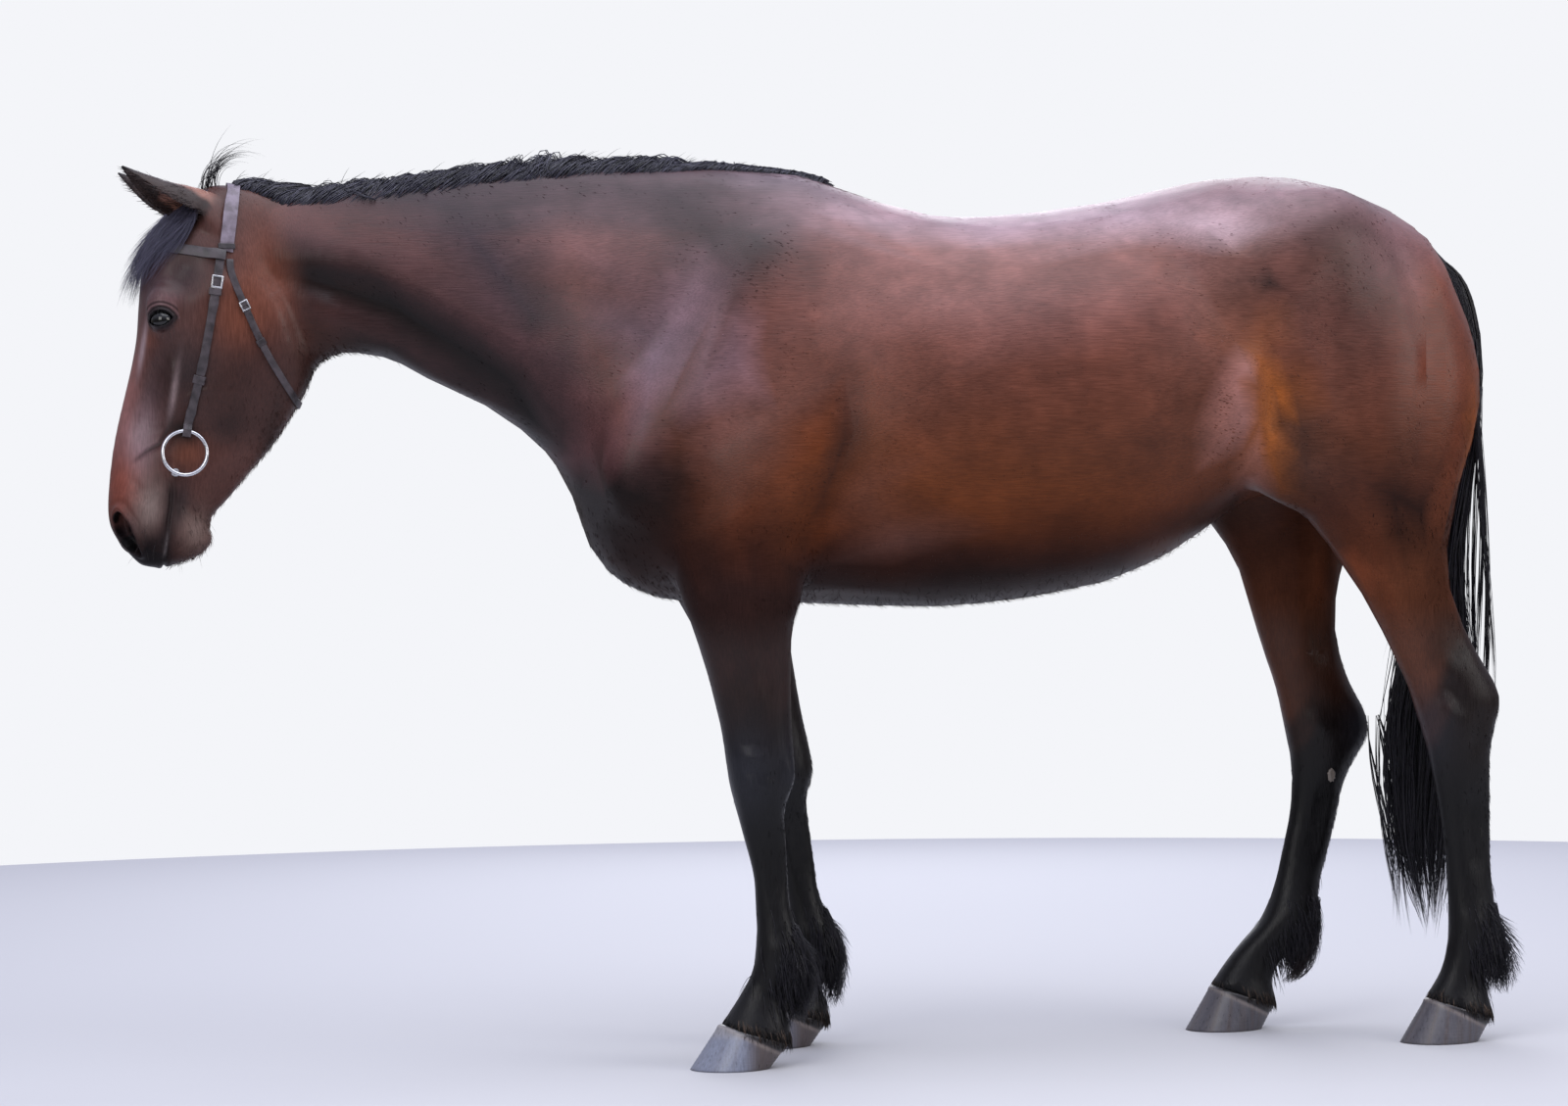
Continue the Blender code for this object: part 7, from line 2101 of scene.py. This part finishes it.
def makeChestnuts():
    made = []
    for x, y, z, tall in chestnuts:
        side = math.copysign(1, y)
        hit, normal = skinTree.ray_cast(Vector((x - midX, 0, z)), Vector((0, side, 0)), 0.4)[:2]
        if not hit:
            continue
        item = addPrimitive("chestnuts", bpy.ops.mesh.primitive_uv_sphere_add, segments=20, ring_count=12,
                            radius=1.0)
        points = readPoints(item)
        rough = 1 + 0.1 * np.sin(points[:, 2] * 9 + points[:, 0] * 7) + 0.06 * np.sin(points[:, 0] * 17)
        writePoints(item, points * (0.008, 0.003, tall) * rough[:, None] + hit + np.array(normal) * 0.0012)
        item.data.shade_smooth()
        made.append(item)
    activate(made[0])
    for item in made:
        item.select_set(True)
    bpy.ops.object.join()
    giveColours(made[0], np.tile(tone(hoofTones["chestnut"]), (len(made[0].data.vertices), 1)))
    finishPiece(made[0], hornMaterial, "hoof_horn")


makeChestnuts()
print("chestnuts made")


# harness leather: vegetable-tanned cowhide, oiled and worn grey-brown, with a fine pebbled grain
def makeLeather(name, light, dark):
    material, tree, shader = startMaterial(name, IOR=1.48)
    place = placeIn(tree)
    pebble = addNode(tree, "TexVoronoi", place, Scale=900.0)      # grain near 1 mm
    wear = addNode(tree, "TexNoise", place, Scale=60.0, Detail=5.0)
    share = addNode(tree, "MapRange", wear, 0.35, 0.65)
    colour = addNode(tree, "Mix", share, data_type="RGBA", A=fromHex(dark), B=fromHex(light))
    bump = addNode(tree, "Bump", Height=pebble, Strength=0.25, Distance=0.0003)
    rough = addNode(tree, "MapRange", wear, 0.3, 0.7, 0.34, 0.52)
    setNode(tree, shader, Base_Color=colour, Normal=bump, Roughness=rough)
    return material


# plated steel: bit rings polished, buckles brushed by wear
def makeSteel(name, colour, roughness):
    material, tree, shader = startMaterial(name, Base_Color=fromHex(colour), Metallic=1.0)
    rub = addNode(tree, "TexNoise", placeIn(tree), Scale=350.0, Detail=3.0)
    rough = addNode(tree, "MapRange", rub, 0.3, 0.7, roughness * 0.94, roughness * 1.1)
    setNode(tree, shader, Roughness=rough)
    return material


bridleLeather = makeLeather("oiledHarnessLeather", "#453d42", "#2a2528")
# the crownpiece leather is a paler lilac copy of the harness leather: painted sky sheen on top of the head,
# over the same worn grain
crownLeatherWithPaintedSheen = makeLeather("wornLeatherPaintedSheen", "#7d7280", "#564c55")
polishedSteel = makeSteel("polishedBitSteel", "#cdced3", 0.24)
platedSteel = makeSteel("platedBuckleSteel", "#c3c3c6", 0.26)


def refineNode(name, material, slotName, bevel, angle=35):
    # a finished copy of a bridle solid with rounded edges
    mesh = nodes[name].data.copy()
    bm = bmesh.new()
    bm.from_mesh(mesh)
    bmesh.ops.remove_doubles(bm, verts=bm.verts, dist=0.00002)
    bmesh.ops.dissolve_limit(bm, angle_limit=math.radians(2), verts=bm.verts, edges=bm.edges)
    bmesh.ops.recalc_face_normals(bm, faces=bm.faces)
    bm.to_mesh(mesh)
    bm.free()
    item = addObject(name + "_finished", mesh)
    if not name.startswith("bit_"):
        layOnCoat(item)
    if bevel:
        applyModifier(item, "BEVEL", width=bevel, segments=3, limit_method="ANGLE",
                      angle_limit=math.radians(angle), use_clamp_overlap=True)
    activate(item)
    bpy.ops.object.shade_smooth_by_angle(angle=math.radians(34))
    finishPiece(item, material, slotName, name)


def strapGaps():
    # how far each part of the straps stands clear of the coat, and which way the coat lies
    spots = np.concatenate([readPoints(nodes[name]) for name in sorted(nodes) if name.startswith("bridle_")])
    gaps, ways = np.empty(len(spots)), np.empty((len(spots), 3))
    tree = KDTree(len(spots))
    for k, spot in enumerate(spots):
        near, normal = skinTree.find_nearest(Vector(spot), 0.3)[:2]
        gaps[k], ways[k] = (Vector(spot) - near).dot(normal), normal
        tree.insert(Vector(spot), k)
    tree.balance()
    return spots, gaps, ways, tree


def layOnCoat(item):
    # draws straps and buckles down until the inner face rests on the hair
    spots, gaps, ways, tree = strapPlaces
    points = readPoints(item)
    for k, point in enumerate(points):
        found = [index for place, index, away in tree.find_range(Vector(point), 0.022)]
        if not found:
            found = [tree.find(Vector(point))[1]]
        far = np.linalg.norm(spots[found] - point, axis=1)
        weight = hill(far, 0.01) + 1e-6
        low = np.array([gaps[[i for p, i, d in tree.find_range(Vector(spots[j]), 0.012)]].min()
                        for j in found])
        shift = max(0.0, (low * weight).sum() / weight.sum() - 0.0022)
        points[k] -= unit((ways[found] * weight[:, None]).sum(axis=0)) * shift
    writePoints(item, points)


strapPlaces = strapGaps()
for name in sorted(nodes):
    if name.startswith("bridle_"):
        refineNode(name, crownLeatherWithPaintedSheen if "crown" in name else bridleLeather, "bridle_leather", 0.0008)
    elif name.startswith("buckle_"):
        refineNode(name, platedSteel, "buckle_steel", 0.0008)
keepers = [              # strap, height of the small loop on it, loop length along the strap
    ("bridle_cheekpiece_", 1.452, 0.013), ("bridle_cheekpiece_", 1.292, 0.015),
    ("bridle_throatlatch", 1.36, 0.012), ("bridle_throatlatch", 1.43, 0.008),
    ("bridle_crownpiece", 1.536, 0.01),
]


def makeKeeper(strap, side, z, long, index):
    # stitched loop round a strap, laid square across it
    points = readPoints(bpy.data.objects[strap + "_finished"])
    points = points[(points[:, 1] * side > 0.02) & (np.abs(points[:, 2] - z) < 0.055)]
    upper = points[:, 2] > np.median(points[:, 2])
    along = unit(points[upper].mean(axis=0) - points[~upper].mean(axis=0))
    middle = points.mean(axis=0)
    middle += along * (z - middle[2]) / along[2]
    normal = skinTree.find_nearest(Vector(middle), 0.3)[1]
    across = unit(np.cross(along, np.array(normal)))
    out = np.cross(across, along)
    close = points[np.abs(points[:, 2] - z) < 0.03]
    close = close if len(close) > 7 else points
    wide, thick = (np.ptp((close - middle) @ axis) for axis in (across, out))
    middle += out * (((close - middle) @ out).max() + ((close - middle) @ out).min()) / 2
    middle += across * (((close - middle) @ across).max() + ((close - middle) @ across).min()) / 2
    item = addPrimitive("keeper_%d" % index, bpy.ops.mesh.primitive_cube_add, size=1)
    half = np.array((long, min(wide, 0.034) + 0.003, min(thick, 0.0075) + 0.0022))
    writePoints(item, middle + (readPoints(item) * half) @ np.array([along, across, out]))
    turnOut(item)
    applyModifier(item, "BEVEL", width=0.0009, segments=3)
    finishPiece(item, bridleLeather, "bridle_leather")


index = 0
for strap, z, long in keepers:
    for side, sideName in ((-1, "left"), (1, "right")):
        index += 1
        makeKeeper(strap + (sideName if strap.endswith("_") else ""), side, z, long, index)
ringSize = {"middle": (0.489, -0.006), "side": 0.0735, "major": 0.0405, "minor": 0.0036, "tilt": -5.0}


def makeRing(side, sideName):
    item = addPrimitive("bitRing_" + sideName, bpy.ops.mesh.primitive_torus_add, major_segments=96,
                        minor_segments=24, major_radius=ringSize["major"], minor_radius=ringSize["minor"])
    points = readPoints(item)
    turned = (points[:, :1] * np.array(downFace) + points[:, 1:2] * np.array(outFace)
              + points[:, 2:] * np.array((0.0, 1.0, 0.0)))
    tilt = np.array(Matrix.Rotation(math.radians(ringSize["tilt"] * side), 3, outFace))
    middle = inHead(*ringSize["middle"], side * ringSize["side"])
    writePoints(item, turned @ tilt.T + np.array(middle))
    turnOut(item)
    item.data.shade_smooth()
    finishPiece(item, polishedSteel, "bit_steel", "bit_ring_" + sideName)


for side, sideName in ((-1, "left"), (1, "right")):
    makeRing(side, sideName)
refineNode("bit_mouthpiece", polishedSteel, "bit_steel", 0.0004)
print("bridle made")


# floor and light
floorSize = {"radius": 5.5, "tone": "#bcbcbf"}


def makeFloor():
    item = addPrimitive("studioFloor", bpy.ops.mesh.primitive_circle_add, vertices=160,
                        radius=floorSize["radius"], fill_type="NGON")
    item.data.materials.append(startMaterial("matteFloorPaint", Base_Color=fromHex(floorSize["tone"]),
                                             Roughness=0.85)[0])


skyTones = {"low": "#cfc8c2", "high": "#dfe2f8", "seen": "#f4f5f9"}


def makeWorld():
    world = bpy.data.worlds.new("studioAir")
    world.use_nodes = True
    tree = world.node_tree
    # soft room: bright cool ceiling, dim low down; the backdrop itself shows nearly white
    way = addNode(tree, "TexCoord").outputs["Generated"]
    height = addNode(tree, "SeparateXYZ", way).outputs["Z"]
    rise = addNode(tree, "MapRange", height, -0.15, 0.85, interpolation_type="SMOOTHSTEP")
    colour = addNode(tree, "Mix", rise, data_type="RGBA",
                     A=tuple(k * 0.22 for k in fromHex(skyTones["low"])),
                     B=tuple(k * 1.25 for k in fromHex(skyTones["high"])))
    seen = addNode(tree, "LightPath").outputs["Is Camera Ray"]
    shown = addNode(tree, "Mix", seen, data_type="RGBA", A=colour, B=fromHex(skyTones["seen"]))
    setNode(tree, tree.nodes["Background"], Color=shown)
    bpy.context.scene.world = world
    bpy.context.scene.view_settings.view_transform = "Standard"


makeFloor()
makeWorld()
addLight("skyPanel", (0.2, -0.8, 4.6), (0.0, 0.0, 1.0), 4.2, 130, (0.93, 0.95, 1.0))
addLight("frontPanel", (-3.2, -4.8, 2.9), (-0.3, 0.0, 1.1), 2.6, 85, (1.0, 0.985, 0.96))
addLight("rearPanel", (3.8, -2.6, 2.4), (0.7, 0.0, 1.1), 2.2, 55, (1.0, 0.97, 0.94))
addLight("offPanel", (1.2, 4.8, 2.8), (0.0, 0.0, 1.1), 3.0, 85, (0.95, 0.97, 1.0))
print("floor and light made")
